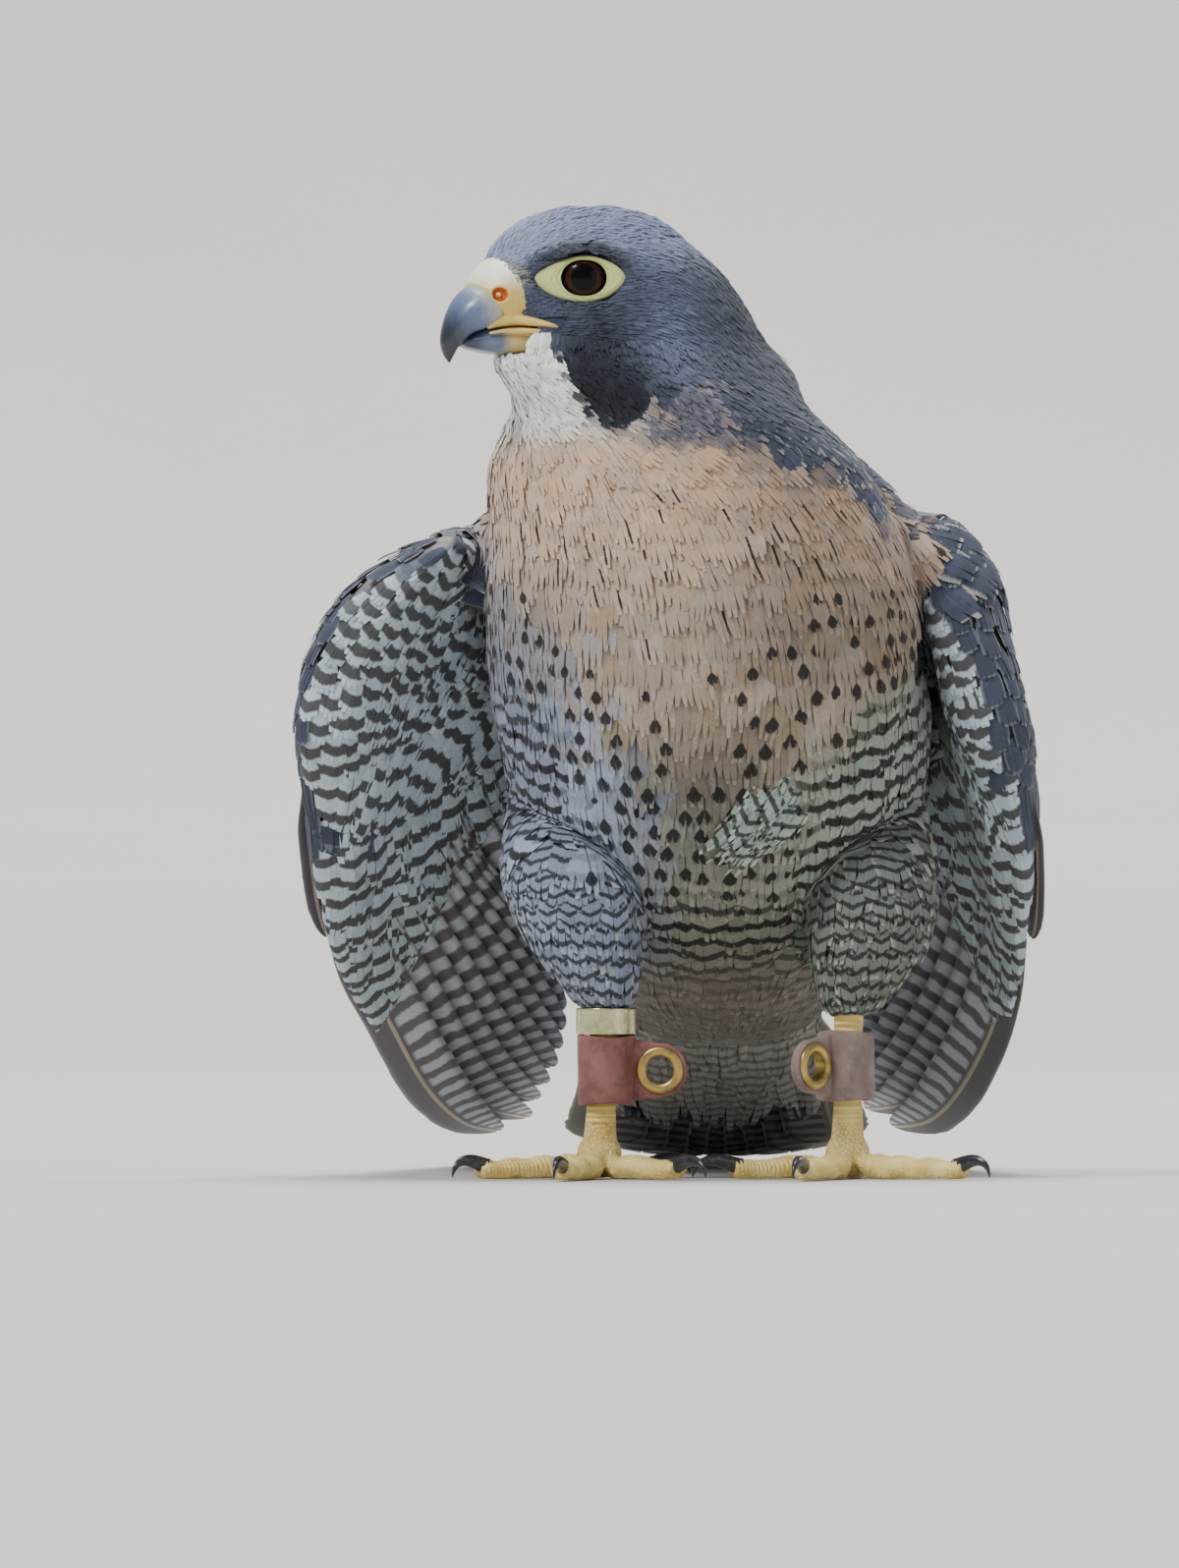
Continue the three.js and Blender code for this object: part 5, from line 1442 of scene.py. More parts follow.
SLATE_EDGE = {
    Side.RIGHT: ([0.05, 0.15, 0.25, 0.45, 1.0], [0.95, 0.45, 0.15, 0.02, 0.0]),
    Side.LEFT: ([0.05, 0.15, 0.25, 0.35, 0.65, 0.8, 1.0], [1.0, 0.95, 0.62, 0.32, 0.24, 0.08, -0.05]),
}


@dataclass
class ArmCoat:
    """The coverts over both faces of one wing."""
    side: Side
    wing: WingForm
    rng: np.random.Generator

    def build(self) -> Shell:
        """Rows of coverts from the leading edge and shoulder out over the flight feathers' roots."""
        parts = []
        for face in (-1, 1):
            sheet = self._sheet(face)
            parts.append(self._row(face, Drape(sheet), np.arange(0.03, 0.86, 0.072), 7.0, 2.5, 1.5))
            tiers = np.array([0.80, 0.90, 1.0]) if face > 0 else np.arange(0.8, 1.95, 0.13)
            parts.append(self._row(face, Drape(sheet), tiers, 10.0, 4.6, 1.45))
            bpy.data.objects.remove(sheet)
        return together(parts)

    def _sheet(self, face: int) -> bpy.types.Object:
        """One face of the arm, 1 the upper and -1 the lower, carried on round the leading edge and out
        over the flight feathers, to lay coverts on."""
        share, turn = ring_grid(0.0, 2.1, 90, np.linspace(-0.8, np.pi - 0.02, 80))
        inner, outer = (arm_surface(self.wing, face * turn, share, grow).reshape(-1, 3)
                        for grow in (-0.6, 0.4))
        quads = grid_faces(90, 80)
        across = np.cross(inner[quads[:, 2]] - inner[quads[:, 0]], inner[quads[:, 3]] - inner[quads[:, 1]])
        outward = (across * (outer - inner)[quads[:, 0]]).sum() > 0
        return Shell(inner, quads if outward else quads[:, ::-1]).make("sheet")

    def _row(self, face: int, drape: Drape, rows: Array, size: float, long: float, wide: float) -> Shell:
        """Coverts of one size on one face, smaller towards the leading edge."""
        form = lambda share, turn: arm_surface(self.wing, turn, share, 0.0)
        share, turn = ring_rows(form, rows, lambda a: size, self.rng)
        share, turn = share[face * turn > 0], turn[face * turn > 0]
        root = form(share, turn)
        edge = 1 - smooth(np.abs(turn), 0.35, 1.3)
        fine = mix(1.0, 0.62, edge) * mix(0.75, 1.0, smooth(share, 0, 0.4))
        count = len(share)
        upper = smooth(turn + np.interp(share, *SLATE_EDGE[self.side]), -0.06, 0.06)
        tone = varied(layer(np.tile(UNDERWING, (count, 1)), MANTLE, upper), 0.05, count, self.rng)
        marks = np.stack([0.1 * (1 - upper), 0 * upper, 0.95 * (1 - upper) + 0.1 * upper, 0.36 * upper], 1)
        length = size * long * fine * (1 + 0.06 * self.rng.normal(size=count))
        spot = bake_place(1 if self.side is Side.RIGHT else 2, turn_share(turn), share / 1.2)
        tract = Tract(root, form(share + 0.02, turn) - root, length, size * wide * fine, 1.5, spot,
                      drawn(tone, self.rng), marks)
        return coat(tract, Cut(5, 7, 0.4, 0.55, 0.02, 0.25, 0.08), drape, self.rng)


@dataclass
class TailCoat:
    """The coverts over and under the root of the tail."""
    tail: TailForm
    rng: np.random.Generator

    def build(self) -> Shell:
        """Rows that run from the rump over the root of the tail."""
        form = lambda b, turn: self.tail.point(27 * np.cos(turn), b, self._tall(b) * np.sin(turn))
        sheet = closed(form(*ring_grid(-30, 112, 60))).make("sheet")
        at, turn = ring_rows(form, np.array([-22, -15, -8, -1, 6, 14, 22]), lambda a: 8.5, self.rng)
        root = form(at, turn)
        upper = smooth(np.sin(turn), -0.1, 0.2)
        count = len(at)
        tone = varied(layer(np.tile(paint(176, 172, 166), (count, 1)), MANTLE, upper), 0.05, count, self.rng)
        marks = np.stack([0 * upper, 0 * upper, 0.5 * (1 - upper) + 0.45 * upper, 0.3 + 0 * upper], 1)
        tract = Tract(root, form(at + 1, turn) - root, 24 + 0.9 * (at + 22), 13.0, 2.0,
                      bake_place(3, turn_share(turn), (at + 22) / 50), drawn(tone, self.rng), marks)
        shell = coat(tract, Cut(5, 7, 0.5, 0.55, 0.06, 0.5, 0.1), Drape(sheet), self.rng)
        bpy.data.objects.remove(sheet)
        return shell

    @staticmethod
    def _tall(b: Array) -> Array:
        """Half the height of the tail's feathered root."""
        return np.interp(b, [-30, 0, 30, 70, 120], [14, 10, 7.5, 4.2, 2.8])


# Flight and tail feathers

@dataclass(frozen=True)
class QuillFinish:
    """The finish of the large feathers: barbs slanting off a bare shaft, bands across the webs."""
    name: str
    over: tuple = tuple(MANTLE)
    under: tuple = tuple(QUILL)
    band: tuple = tuple(paint(200, 206, 216))
    pitch: float = 14.5
    share: float = 0.52
    slant: float = 0.5
    over_bands: float = 0.12
    edge: tuple = tuple(paint(176, 172, 166))

    def material(self) -> bpy.types.Material:
        """The finish as a material."""
        w = Wiring(self.name)
        (_, draw), (marks, fringe) = w.stored("tone"), w.stored("marks")
        under, inner, amount = w.split(marks)
        across, tip = w.map("span")
        away = abs(across)
        seed = draw * 47.0
        barbs = w.noise(w.triple((away * 0.95 + tip) * 1.7, away * 0.08, seed), 1.0, 3.0, 0.7)
        soft = w.noise(w.triple(across * 0.2, tip * 0.05, seed), 1.0)
        ragged = (soft - 0.5) * 7.0 + (barbs * 2.2 + draw * 5.0)
        near = abs(w.math("FRACT", (away * -self.slant + tip + ragged) / self.pitch) - 0.5)
        bands = near.ease(self.share / 2 + 0.07, self.share / 2 - 0.07)
        webs = bands * amount * (inner * away.ease(0.8, 2.4))
        strength = under * (0.92 - self.over_bands) + self.over_bands
        colour = w.blend(webs * strength, w.blend(under, self.over, self.under), self.band)
        out = abs(w.map("vane")[0] * 2.0 - 1.0)
        rim = w.most(out.ease(0.9, 0.985), tip.ease(2.6, 0.6))
        colour = w.blend(rim * (fringe * 0.7), colour, self.edge)
        colour = w.shaded(colour, (barbs - 0.5) * 0.42 + (draw * 0.14 + 0.93))
        shaft = away.ease(0.75, 0.45)
        bone = w.blend(under, paint(44, 40, 40), paint(190, 178, 156))
        colour = w.blend(shaft * 0.85, colour, bone)
        w.bump(shaft * 1.2 + barbs, 0.0003, 0.6)
        return w.finish(Base_Color=colour, Roughness=0.62, Sheen_Weight=0.1, Specular_IOR_Level=0.3)


def pairs(first: Array, second: Array) -> Array:
    """Two numbers a row; either may be given once for all."""
    return np.stack(np.broadcast_arrays(np.asarray(first, float), second), -1)


@dataclass
class Quills:
    """Large feathers in a space of (a, b, c): closed blades with a raised shaft, sloped like roof
    slats, each under its neighbour. One row of the arrays for each feather; what all share may be
    given once."""
    root: Array
    tip: Array
    width: Array
    slope: Array
    level: Array
    point: Array
    inner: float = 1.0
    shaft: float = -0.25
    bars: float = 1.0
    rim: float = 0.3
    strip: int = 4

    def build(self, space: object, rng: np.random.Generator) -> Shell:
        """The blades bent with their space."""
        u = np.array([-1, -0.8, -0.5, -0.2, -0.055, 0, 0.055, 0.2, 0.5, 0.8, 1.0])
        v = np.concatenate([np.linspace(0, 0.7, 20), 1 - 0.3 * np.linspace(1, 0, 15)[1:] ** 1.6])
        v = v[None, :, None]
        n, steps, count = len(u), v.size, len(self.root)
        column = lambda values: np.broadcast_to(values, count)[:, None, None]
        level = np.broadcast_to(self.level, (count, 2))
        web = self.shaft + u * np.where(u < 0, 1 + self.shaft, 1 - self.shaft)
        half = self._half(v, column(self.point)) * column(self.width) / 2
        wave = 1 + 0.02 * rng.normal(size=(count, steps, 1)) * smooth(v, 0.3, 0.8)
        side = web * half * np.where(np.abs(u) > 0.7, wave, 1)
        a, b = (mix(column(self.root[:, k]), column(self.tip[:, k]), v) for k in (0, 1))
        arch = 0.55 * (1 - web ** 2) * smooth(v, 0, 0.3)
        c = mix(column(level[:, 0]), column(level[:, 1]), v) - column(self.slope) * side + arch
        ridge = 0.42 * np.exp(-(u / 0.05) ** 2) * (1 - 0.8 * v) * (half > 0)
        thick = 0.24 * np.where(np.abs(u) > 0.95, 0.3, 1.0)
        upper = space(a + side, b + 0 * side, c + thick + ridge)
        lower = space(a + side, b + 0 * side, c - thick - 0.8 * ridge)
        both = lambda value: np.concatenate([value, value[:, :, ::-1]], 2)
        u_all, v_all, place = (np.broadcast_to(value, side.shape)
                               for value in (web, v, column(np.arange(count) + 0.5) / count))
        length = column(self.tip[:, 1] - self.root[:, 1])
        strip = MARGIN + (self.strip + place + 0.4 * u_all / count) / STRIPS
        maps = {
            "vane": np.stack([(u_all + 1) / 2, v_all], -1),
            "span": np.stack([side - self.shaft * half, (1 - v_all) * length], -1),
            "OFBake": np.stack([strip, MARGIN + 0.96 * v_all], -1),
        }
        draw = column(rng.uniform(0, 1, count))
        face = np.concatenate([np.zeros(n), np.ones(n)])
        web_in = both(np.broadcast_to(u * self.inner > -0.02, side.shape)).astype(float)
        rows = lambda *values: np.stack(
            [np.broadcast_to(value, web_in.shape) for value in values], -1).reshape(-1, 4)
        return Shell(np.concatenate([upper, lower[:, :, ::-1]], 2).reshape(-1, 3),
                     repeated(self._faces(steps, n), count, steps * 2 * n),
                     {name: both(value).reshape(-1, 2) for name, value in maps.items()},
                     {"tone": rows(0.1, 0.1, 0.1, draw), "marks": rows(face, web_in, self.bars, self.rim)})

    @staticmethod
    def _half(v: Array, point: Array) -> Array:
        """The half width's share along a blade, with its rounded end."""
        end = np.sqrt(np.maximum(0, 1 - np.clip((v - 1 + point) / point, 0, 1) ** 2))
        return np.maximum(mix(0.42, 1, smooth(v, 0, 0.3)) * end, 0.05)

    @staticmethod
    def _faces(steps: int, n: int) -> Array:
        """The quads of one closed blade: both faces, the edges and the two ends."""
        around = grid_faces(steps, 2 * n, True)
        i = np.arange(n - 1)
        end = np.stack([i, 2 * n - 1 - i, 2 * n - 2 - i, i + 1], -1)
        return np.concatenate([around, end, end[:, ::-1] + (steps - 1) * 2 * n])


def primaries(wing: WingForm, rng: np.random.Generator) -> Shell:
    """The ten primaries, longest next to the leading edge."""
    i = np.arange(10)
    even = 1 - (1 - i / 9) ** 1.7
    a = mix(7.5, HAND_WIDTH - 4.5, even)
    reach = WING_LENGTH * np.where(i == 0, 0.965, 1 - 0.48 * (np.maximum(i - 1, 0) / 8) ** 0.86)
    return Quills(pairs(a, root_line(a) + 3), pairs(8 + 44 * even, reach), 17.5, 0.27, 0.0,
                  mix(0.5, 0.34, i / 9)).build(wing.point, rng)


def secondaries(wing: WingForm, rng: np.random.Generator) -> Shell:
    """The secondaries and the inner feathers behind them, shorter towards the body."""
    share = np.arange(12) / 11
    a = mix(HAND_WIDTH + 4.6, WING_CHORD - 2, share)
    tip = pairs(mix(HAND_WIDTH + 16, WING_CHORD - 1, share), 168 - 52 * share)
    return Quills(pairs(a, root_line(a) + 3), tip, 16.5, 0.27, 0.0, 0.3,
                  rim=0.8, strip=5).build(wing.point, rng)


def alula(wing: WingForm, rng: np.random.Generator) -> Shell:
    """The three feathers of the thumb."""
    i = np.arange(3)
    return Quills(pairs(4.5 + 2.5 * i, 22.0), pairs(2.5 + 3.8 * i, 82 - 9.0 * i), 9.0, 0.27, [5.6, 4.6], 0.4,
                  bars=0.3, strip=6).build(wing.point, rng)


def rectrices(tail: TailForm, rng: np.random.Generator) -> Shell:
    """The twelve tail feathers in a narrow fan, the middle pair on top."""
    i = np.arange(6)
    halves = []
    for hand in (-1, 1):
        x = hand * (2.4 + 4.1 * i)
        spread = hand * np.tan(np.radians(3.6 * (i + 0.5) / 6))
        top = (i == 0) & (hand < 0)
        tip = pairs(x + spread * TAIL_LENGTH, 10 + TAIL_LENGTH * (1 - 0.012 * i * i))
        level = np.where(top[:, None], [3.4, 4.0], 1.6 - 0.3 * pairs(i, i))
        halves.append(Quills(pairs(x, 10.0), tip, 23.0, np.where(top, 0, -hand * 0.14), level, 0.16,
                             inner=-hand, shaft=0.12 * hand, rim=1.0, strip=7).build(tail.point, rng))
    return together(halves)


# Eyes and their lids

def eye_space(side: Side, out: Array, ahead: Array, rise: Array) -> Array:
    """Points given out along an eye's axis, forward and up."""
    way, forward = eye_axes(side)
    return (eye_centre(side, 0.0) + out[..., None] * way + ahead[..., None] * forward
            + rise[..., None] * np.array([0.0, 0.0, 1.0]))


def ball_out(far: Array) -> Array:
    """How far out the eyeball's front lies, at a distance from the eye's axis."""
    return EYE_BULGE - EYE_RADIUS + np.sqrt(np.maximum(EYE_RADIUS ** 2 - far ** 2, 0))


@dataclass
class Eye:
    """One eyeball and the bare lids and skin round it."""
    side: Side
    half: float = 6.15
    tall: float = 4.9

    def ball(self) -> Shell:
        """A smooth ball of rings round the eye's axis."""
        polar, turn = ring_grid(0.01, np.pi - 0.01, 48, full_turn(64))
        r = EYE_RADIUS * np.sin(polar)
        out = EYE_BULGE - EYE_RADIUS + EYE_RADIUS * np.cos(polar)
        return closed(eye_space(self.side, out, r * np.cos(turn), r * np.sin(turn)))

    def lids(self) -> Shell:
        """Rings from the opening out to the edge of the bare skin and back beneath: the margin is a
        rounded lip against the ball, then fine folds run round it and die out."""
        t = full_turn(128)
        share_and_out = np.array([
            [0, -0.35], [.015, .1], [.04, .34], [.07, .42], [.10, .34], [.13, .12], [.16, .12], [.2, .34],
            [.24, .4], [.28, .26], [.32, .2], [.37, .3], [.42, .26], [.48, .14], [.55, .12], [.62, .1],
            [.7, -.02], [.78, -.2], [.86, -.5], [.93, -.9], [1.0, -1.5],
        ])
        s, out = share_and_out[:, :1], share_and_out[:, 1:]
        near = np.hypot(self.half * np.cos(t), self.tall * np.sin(t))
        r = near + (self._outline(t) - near) * s
        wave = 0.1 * np.sin(9 * t + 14 * s) * within(s, 0.1, 0.4, 0.8, 1.0)
        rim = (1 - smooth(s, 0.0, 0.5)) * (ball_out(self.half) + 1.25)
        top = out + wave + rim + 0.25 * np.where(np.sin(t) > 0, np.sin(t), 0) * smooth(s, 0.1, 0.5)
        over = eye_space(self.side, top, r * np.cos(t), r * np.sin(t))
        under = eye_space(self.side, top[::-1] - 1.3, (r * np.cos(t))[::-1], (r * np.sin(t))[::-1])
        shell = hooped(np.concatenate([over, under]))
        shares = np.concatenate([s, s[::-1]]) + 0 * t
        shell.colours["rim"] = np.stack([shares, 0 * shares + t / (2 * np.pi), 0 * shares, 1 + 0 * shares],
                                        -1).reshape(-1, 4)
        return shell

    @staticmethod
    def _outline(turn: Array) -> Array:
        """How far the bare skin reaches: drawn out in front, short behind and flat under the brow."""
        ahead, rise = np.cos(turn), np.sin(turn)
        wide = np.where(ahead > 0, 13.6, 11.4)
        tall = np.where(rise > 0, 6.3, 7.1)
        power = np.where((ahead > 0) & (rise > 0), 1.45, 1.7)
        return (np.abs(ahead / wide) ** power + np.abs(rise / tall) ** power) ** (-1 / power)

    def finish(self) -> bpy.types.Material:
        """A brown iris round a black pupil under a clear wet surface, told by the angle off the axis."""
        w = Wiring(f"eye_{self.side.value}")
        centre = (eye_centre(self.side, EYE_RADIUS - EYE_BULGE) + SHIFT) / 1000
        offset = w.output(w.node("VectorMath", w.place(), tuple(centre), operation="SUBTRACT"))
        cosine = w.dot(offset, eye_way(self.side)) / (EYE_RADIUS / 1000)
        grain = w.noise(offset, 1400.0, 3.0)
        angle = (grain - 0.5) * 0.05 + w.math("ARCCOSINE", cosine)
        iris = w.blend(angle.ease(0.5, 0.78), paint(48, 20, 13), paint(20, 9, 8))
        iris = w.blend(grain * 0.14, iris, paint(84, 44, 28))
        colour = w.blend(angle.ease(0.52, 0.45), iris, paint(4, 4, 6))
        colour = w.blend(angle.ease(0.74, 0.84), colour, paint(10, 8, 8))
        return w.finish(Base_Color=colour, Roughness=0.3, Coat_Weight=1.0, Coat_IOR=1.2, Coat_Roughness=0.015,
                        Specular_IOR_Level=0.05)

    @staticmethod
    def lid_finish() -> bpy.types.Material:
        """Pale greenish-yellow skin with fine folds and soft rings of painted shade in them, round a dark wet
        margin.
        """
        w = Wiring("lid_skin")
        share, _, _ = w.split(w.stored("rim")[0])
        grain = w.cells(w.place(), 2600.0)
        soft = w.noise(w.place(), 500.0, 3.0)
        skin = w.blend(soft, paint(236, 248, 170), paint(218, 232, 150))
        skin = w.blend(share.ease(0.55, 1.0), skin, paint(214, 208, 150))
        skin = w.blend(grain.ease(0.16, 0.0) * 0.4, skin, paint(150, 146, 84))
        skin = w.blend(share.ease(0.035, 0.012), skin, paint(34, 28, 22))
        folds = w.math("SINE", share * 90.0 + soft * 9.0)
        # painted shade in the folds: soft darker rings round the eye
        broad = w.math("SINE", share * 27.0 + soft * 7.0)
        skin = w.blend(broad.ease(0.3, 0.95) * 0.3, skin, paint(176, 178, 110))
        w.bump(folds * 0.35 + grain, 0.00014, 0.7)
        return w.finish(Base_Color=skin, Roughness=0.46, Subsurface_Weight=0.12, Subsurface_Scale=0.001)


# The bill

UPPER = np.array([
    # lower edge f, z, ridge f, z, half width
    [26, 234.6, 33, 253, 11.5], [33, 234.4, 41.3, 251.6, 10.6], [38.6, 234.2, 46.4, 245.4, 9.0],
    [41.4, 233.2, 48.9, 243.4, 8.6], [44.3, 232.3, 51.6, 240.2, 7.6], [48, 230.9, 54, 235.4, 5.6],
    [50.6, 228.5, 55.4, 230, 3.5], [51.8, 226.1, 54.9, 226.3, 1.9], [52.9, 223.8, 53.3, 223.8, 0.35],
], float)
LOWER = np.array([
    [20, 226.5, 20, 232.6, 13], [30, 226, 30, 234.4, 12], [38, 225.8, 38, 234.4, 9.2],
    [44, 226.6, 44, 233.4, 7.2], [48.6, 227.8, 48.6, 231.4, 4.4], [50.4, 228.8, 50.4, 230.2, 1.8],
], float)
MOUTH_LINE = np.array([
    [26.6, 19.0, 232.0], [30, 16.8, 232.9], [33.5, 14.0, 233.5], [37, 10.8, 233.8], [41, 8.8, 233.4],
    [44.5, 7.2, 232.6],
], float)
NOSTRIL = np.array([42.1, 8.6, 242.4])
BILL_TURNS = 2 * np.pi * (np.arange(160) + 0.5) / 160  # no point lies right on the lower corners


def bill_surface(keys: Array, at: Array, turn: Array, grow: Array = 0.0) -> Array:
    """A section of the bill, from its lower edge to its ridge: a half ellipse above and a squarer
    one below. Given as forward, left and up in the head's frame."""
    low_f, low_z, top_f, top_z, wide = np.moveaxis(smooth_keys(keys, at), -1, 0)
    tall = np.hypot(top_f - low_f, top_z - low_z) / 2
    lift = np.sin(turn)
    across = np.sign(np.cos(turn)) * np.abs(np.cos(turn)) ** np.where(lift < 0, 0.6, 1.0)
    share = lift * (tall + grow) / tall / 2 + 0.5
    return np.stack([mix(low_f, top_f, share), across * (wide + grow), mix(low_z, top_z, share)], -1)


class Bill:
    """Cere, horn and lips."""

    def cere(self) -> Shell:
        """The swollen skin over the bill's root, with a round pit on each side that has a knob in its
        middle and a raised rim. It ends in a rounded step on the horn."""
        at, turn = ring_grid(0, 2.12, 150, BILL_TURNS)
        swell = 0.5 * np.sqrt(np.maximum(0, 1 - smooth(at, 1.86, 2.12) ** 2)) - 0.35 * smooth(at, 2.0, 2.12)
        back = 0.55 * smooth(-np.sin(turn), 0.1, 0.7)
        form = bill_surface(UPPER, at + back * smooth(at, 1.2, 2.1) * -0.35, turn, swell)
        return closed(from_head(self._pitted(form)))

    def waxy(self) -> bpy.types.Object:
        """Cere and upper lips grown together into one soft form."""
        whole = self.cere().joined(self.lips(True))
        return shown("cere_swelling", whole.grown("cere_swelling", 0.00028, 13))

    @staticmethod
    def _pitted(p: Array) -> Array:
        """The points drawn inwards round each nostril."""
        side = np.sign(p[..., 1])
        far = np.hypot(p[..., 0] - NOSTRIL[0], p[..., 2] - NOSTRIL[2])
        knob, rim = 1.5 * np.exp(-(far / 0.72) ** 2), 0.32 * np.exp(-((far - 2.5) / 0.55) ** 2)
        pit = -1.9 * (1 - smooth(far, 1.45, 2.15)) + knob + rim
        out = p.copy()
        out[..., 1] += side * pit * (np.abs(p[..., 1]) > 5.0)
        return out

    def horn(self) -> Shell:
        """The upper horn from under the cere to the hooked tip, with a tooth in its cutting edge."""
        at, turn = ring_grid(1.93, 8.0, 190, BILL_TURNS)
        p = bill_surface(UPPER, at, turn, -0.02 - 2.0 * smooth(-at, -2.06, -1.93))
        low = smooth(-np.sin(turn), 0.75, 0.98)
        tooth, notch = (np.exp(-((p[..., 0] - ahead) / wide) ** 2)
                        for ahead, wide in ((50.3, 1.25), (47.6, 1.4)))
        p[..., 2] -= low * (1.3 * tooth - 0.7 * notch) * (np.abs(np.cos(turn)) > 0.12)
        hollow = 1.6 * low * (1 - np.abs(np.cos(turn)) / 0.7) * within(at, 3, 4, 6.6, 7.6)
        p[..., 2] += np.maximum(0, hollow)
        return closed(from_head(p))

    def lower(self) -> Shell:
        """The lower half of the bill, rounded off behind the upper one's tip."""
        at, turn = ring_grid(0, 5, 110, BILL_TURNS)
        return closed(from_head(bill_surface(LOWER, at, turn, -0.15)))

    def lips(self, upper: bool) -> Shell:
        """Soft rolls along the upper or lower edge of the mouth that end at its corner."""
        radii = np.array((0.35, 0.8, 1.25, 1.65, 1.6, 0.6) if upper else (0.3, 0.6, 0.75, 0.75, 0.5, 0.3))
        f, l, z = MOUTH_LINE.T
        z = z + (radii + 0.1 if upper else -radii - 0.5)
        l = l - (radii - np.interp(f, [31, 36], [0.4, -0.6]) if upper else 0.75 * (radii - 0.4))
        return together([closed(tube(head_point(f, hand * l, z), radii, 24, 70)) for hand in (-1, 1)])

    @staticmethod
    def _forward(w: Wiring) -> Value:
        """How far forward in the head's frame a point lies, in millimetres."""
        zero = head_point(0.0, 0.0, 0.0) + SHIFT
        return w.dot(w.place(), AHEAD) * 1000.0 - float(zero @ AHEAD)

    @staticmethod
    def _height(w: Wiring) -> Value:
        """The height in the bird's frame, in millimetres."""
        return w.output(w.node("SeparateXYZ", w.place()), 2) * 1000.0 - float(SHIFT[2])

    def horn_finish(self) -> bpy.types.Material:
        """Horn, pale blue-grey at its root and slate to black at its tip, with faint growth lines."""
        w = Wiring("bill_horn")
        long = w.output(w.fill(w.node("Mapping"), Vector=w.place(), Scale=(900.0, 900.0, 160.0)))
        streaks = w.noise(long, 1.0, 4.0, 0.6)
        ahead = (streaks - 0.5) * 5.0 + (self._height(w) * -0.55 + self._forward(w))
        colour = w.blend(ahead.ease(-89.5, -82.0), paint(178, 180, 172), paint(98, 116, 150))
        colour = w.blend(ahead.ease(-83.0, -72.5), colour, paint(36, 43, 54))
        worn = w.noise(w.place(), 320.0, 4.0, 0.7)
        colour = w.blend(worn.ease(0.62, 0.78) * 0.35, colour, paint(168, 172, 182))
        w.bump(streaks, 0.00012, 0.35)
        return w.finish(Base_Color=colour, Roughness=worn * 0.25 + 0.2, Coat_Weight=0.25, Coat_Roughness=0.2)

    def lower_finish(self) -> bpy.types.Material:
        """The lower horn: yellow at its root, slate in front."""
        w = Wiring("lower_horn")
        soft = w.noise(w.place(), 260.0, 3.0)
        ahead = (soft - 0.5) * 3.0 + self._forward(w)
        colour = w.blend(ahead.ease(37.0, 41.0), paint(220, 198, 124), paint(96, 110, 136))
        colour = w.blend(ahead.ease(43.0, 49.0), colour, paint(46, 54, 72))
        w.bump(soft, 0.0001, 0.3)
        return w.finish(Base_Color=colour, Roughness=0.34, Coat_Weight=0.2, Coat_Roughness=0.25)

    def cere_finish(self) -> bpy.types.Material:
        """Waxy yellow skin, paler along the top as a painted highlight, and orange inside the nostrils and by
        the mouth.
        """
        w = Wiring("cere_skin")
        soft = w.noise(w.place(), 420.0, 4.0)
        height, ahead = self._height(w), self._forward(w)
        colour = w.blend(soft, paint(232, 204, 116), paint(216, 186, 92))
        # painted highlight: the top of the cere made near white
        colour = w.blend(height.ease(242.0, 249.5), colour, paint(255, 254, 238))
        far = w.math("SQRT", (ahead - float(NOSTRIL[0])) ** 2.0 + (height - float(NOSTRIL[2])) ** 2.0)
        colour = w.blend(far.ease(2.15, 1.75) * far.ease(0.55, 0.85), colour, paint(196, 88, 26))
        colour = w.blend(far.ease(0.75, 0.4) * 0.7, colour, paint(244, 214, 140))
        mouth = abs(height - 233.4).ease(0.6, 0.15) * ahead.ease(43.0, 39.0)
        colour = w.blend(mouth * 0.6, colour, paint(170, 100, 52))
        w.bump(soft * 1.5 + w.cells(w.place(), 1900.0), 0.0001, 0.5)
        return w.finish(Base_Color=colour, Roughness=0.38, Subsurface_Weight=0.15, Subsurface_Scale=0.001,
                        Coat_Weight=0.15, Coat_Roughness=0.3)


# Legs, feet and what they wear

TOE_LENGTH = {"hind": 24, "inner": 35, "middle": 48, "outer": 40}
TOE_JOINTS = {"hind": 1, "inner": 2, "middle": 3, "outer": 4}
CLAW_LENGTH = {"hind": 19, "inner": 17, "middle": 15, "outer": 13.5}
TOE_RADIUS = 3.5
TARSUS_RADIUS = 4.1
ANKLET = {"radius": 6.2, "wall": 1.7, "height": 19, "tab": 15, "plate": 2.6, "pull": 1.1, "end": 6.4,
          "round": 7.4}
GROMMET = {"hole": 3.8, "neck": 4.8, "flange": 6.5, "rim": 0.9}
HOLE_PLACE = ANKLET["radius"] + ANKLET["tab"] - ANKLET["end"]  # how far the hole lies from the band's middle
LEG_RING = {"radius": 8.3, "wall": 0.9, "height": 7.2}


def heading(degrees: float) -> Array:
    """A level direction, 0 to the front and 90 to the bird's left."""
    return np.array([np.sin(np.radians(degrees)), -np.cos(np.radians(degrees)), 0.0])


def beside(way: Array) -> Array:
    """The level direction square to another."""
    return np.array([-way[1], way[0], 0.0])


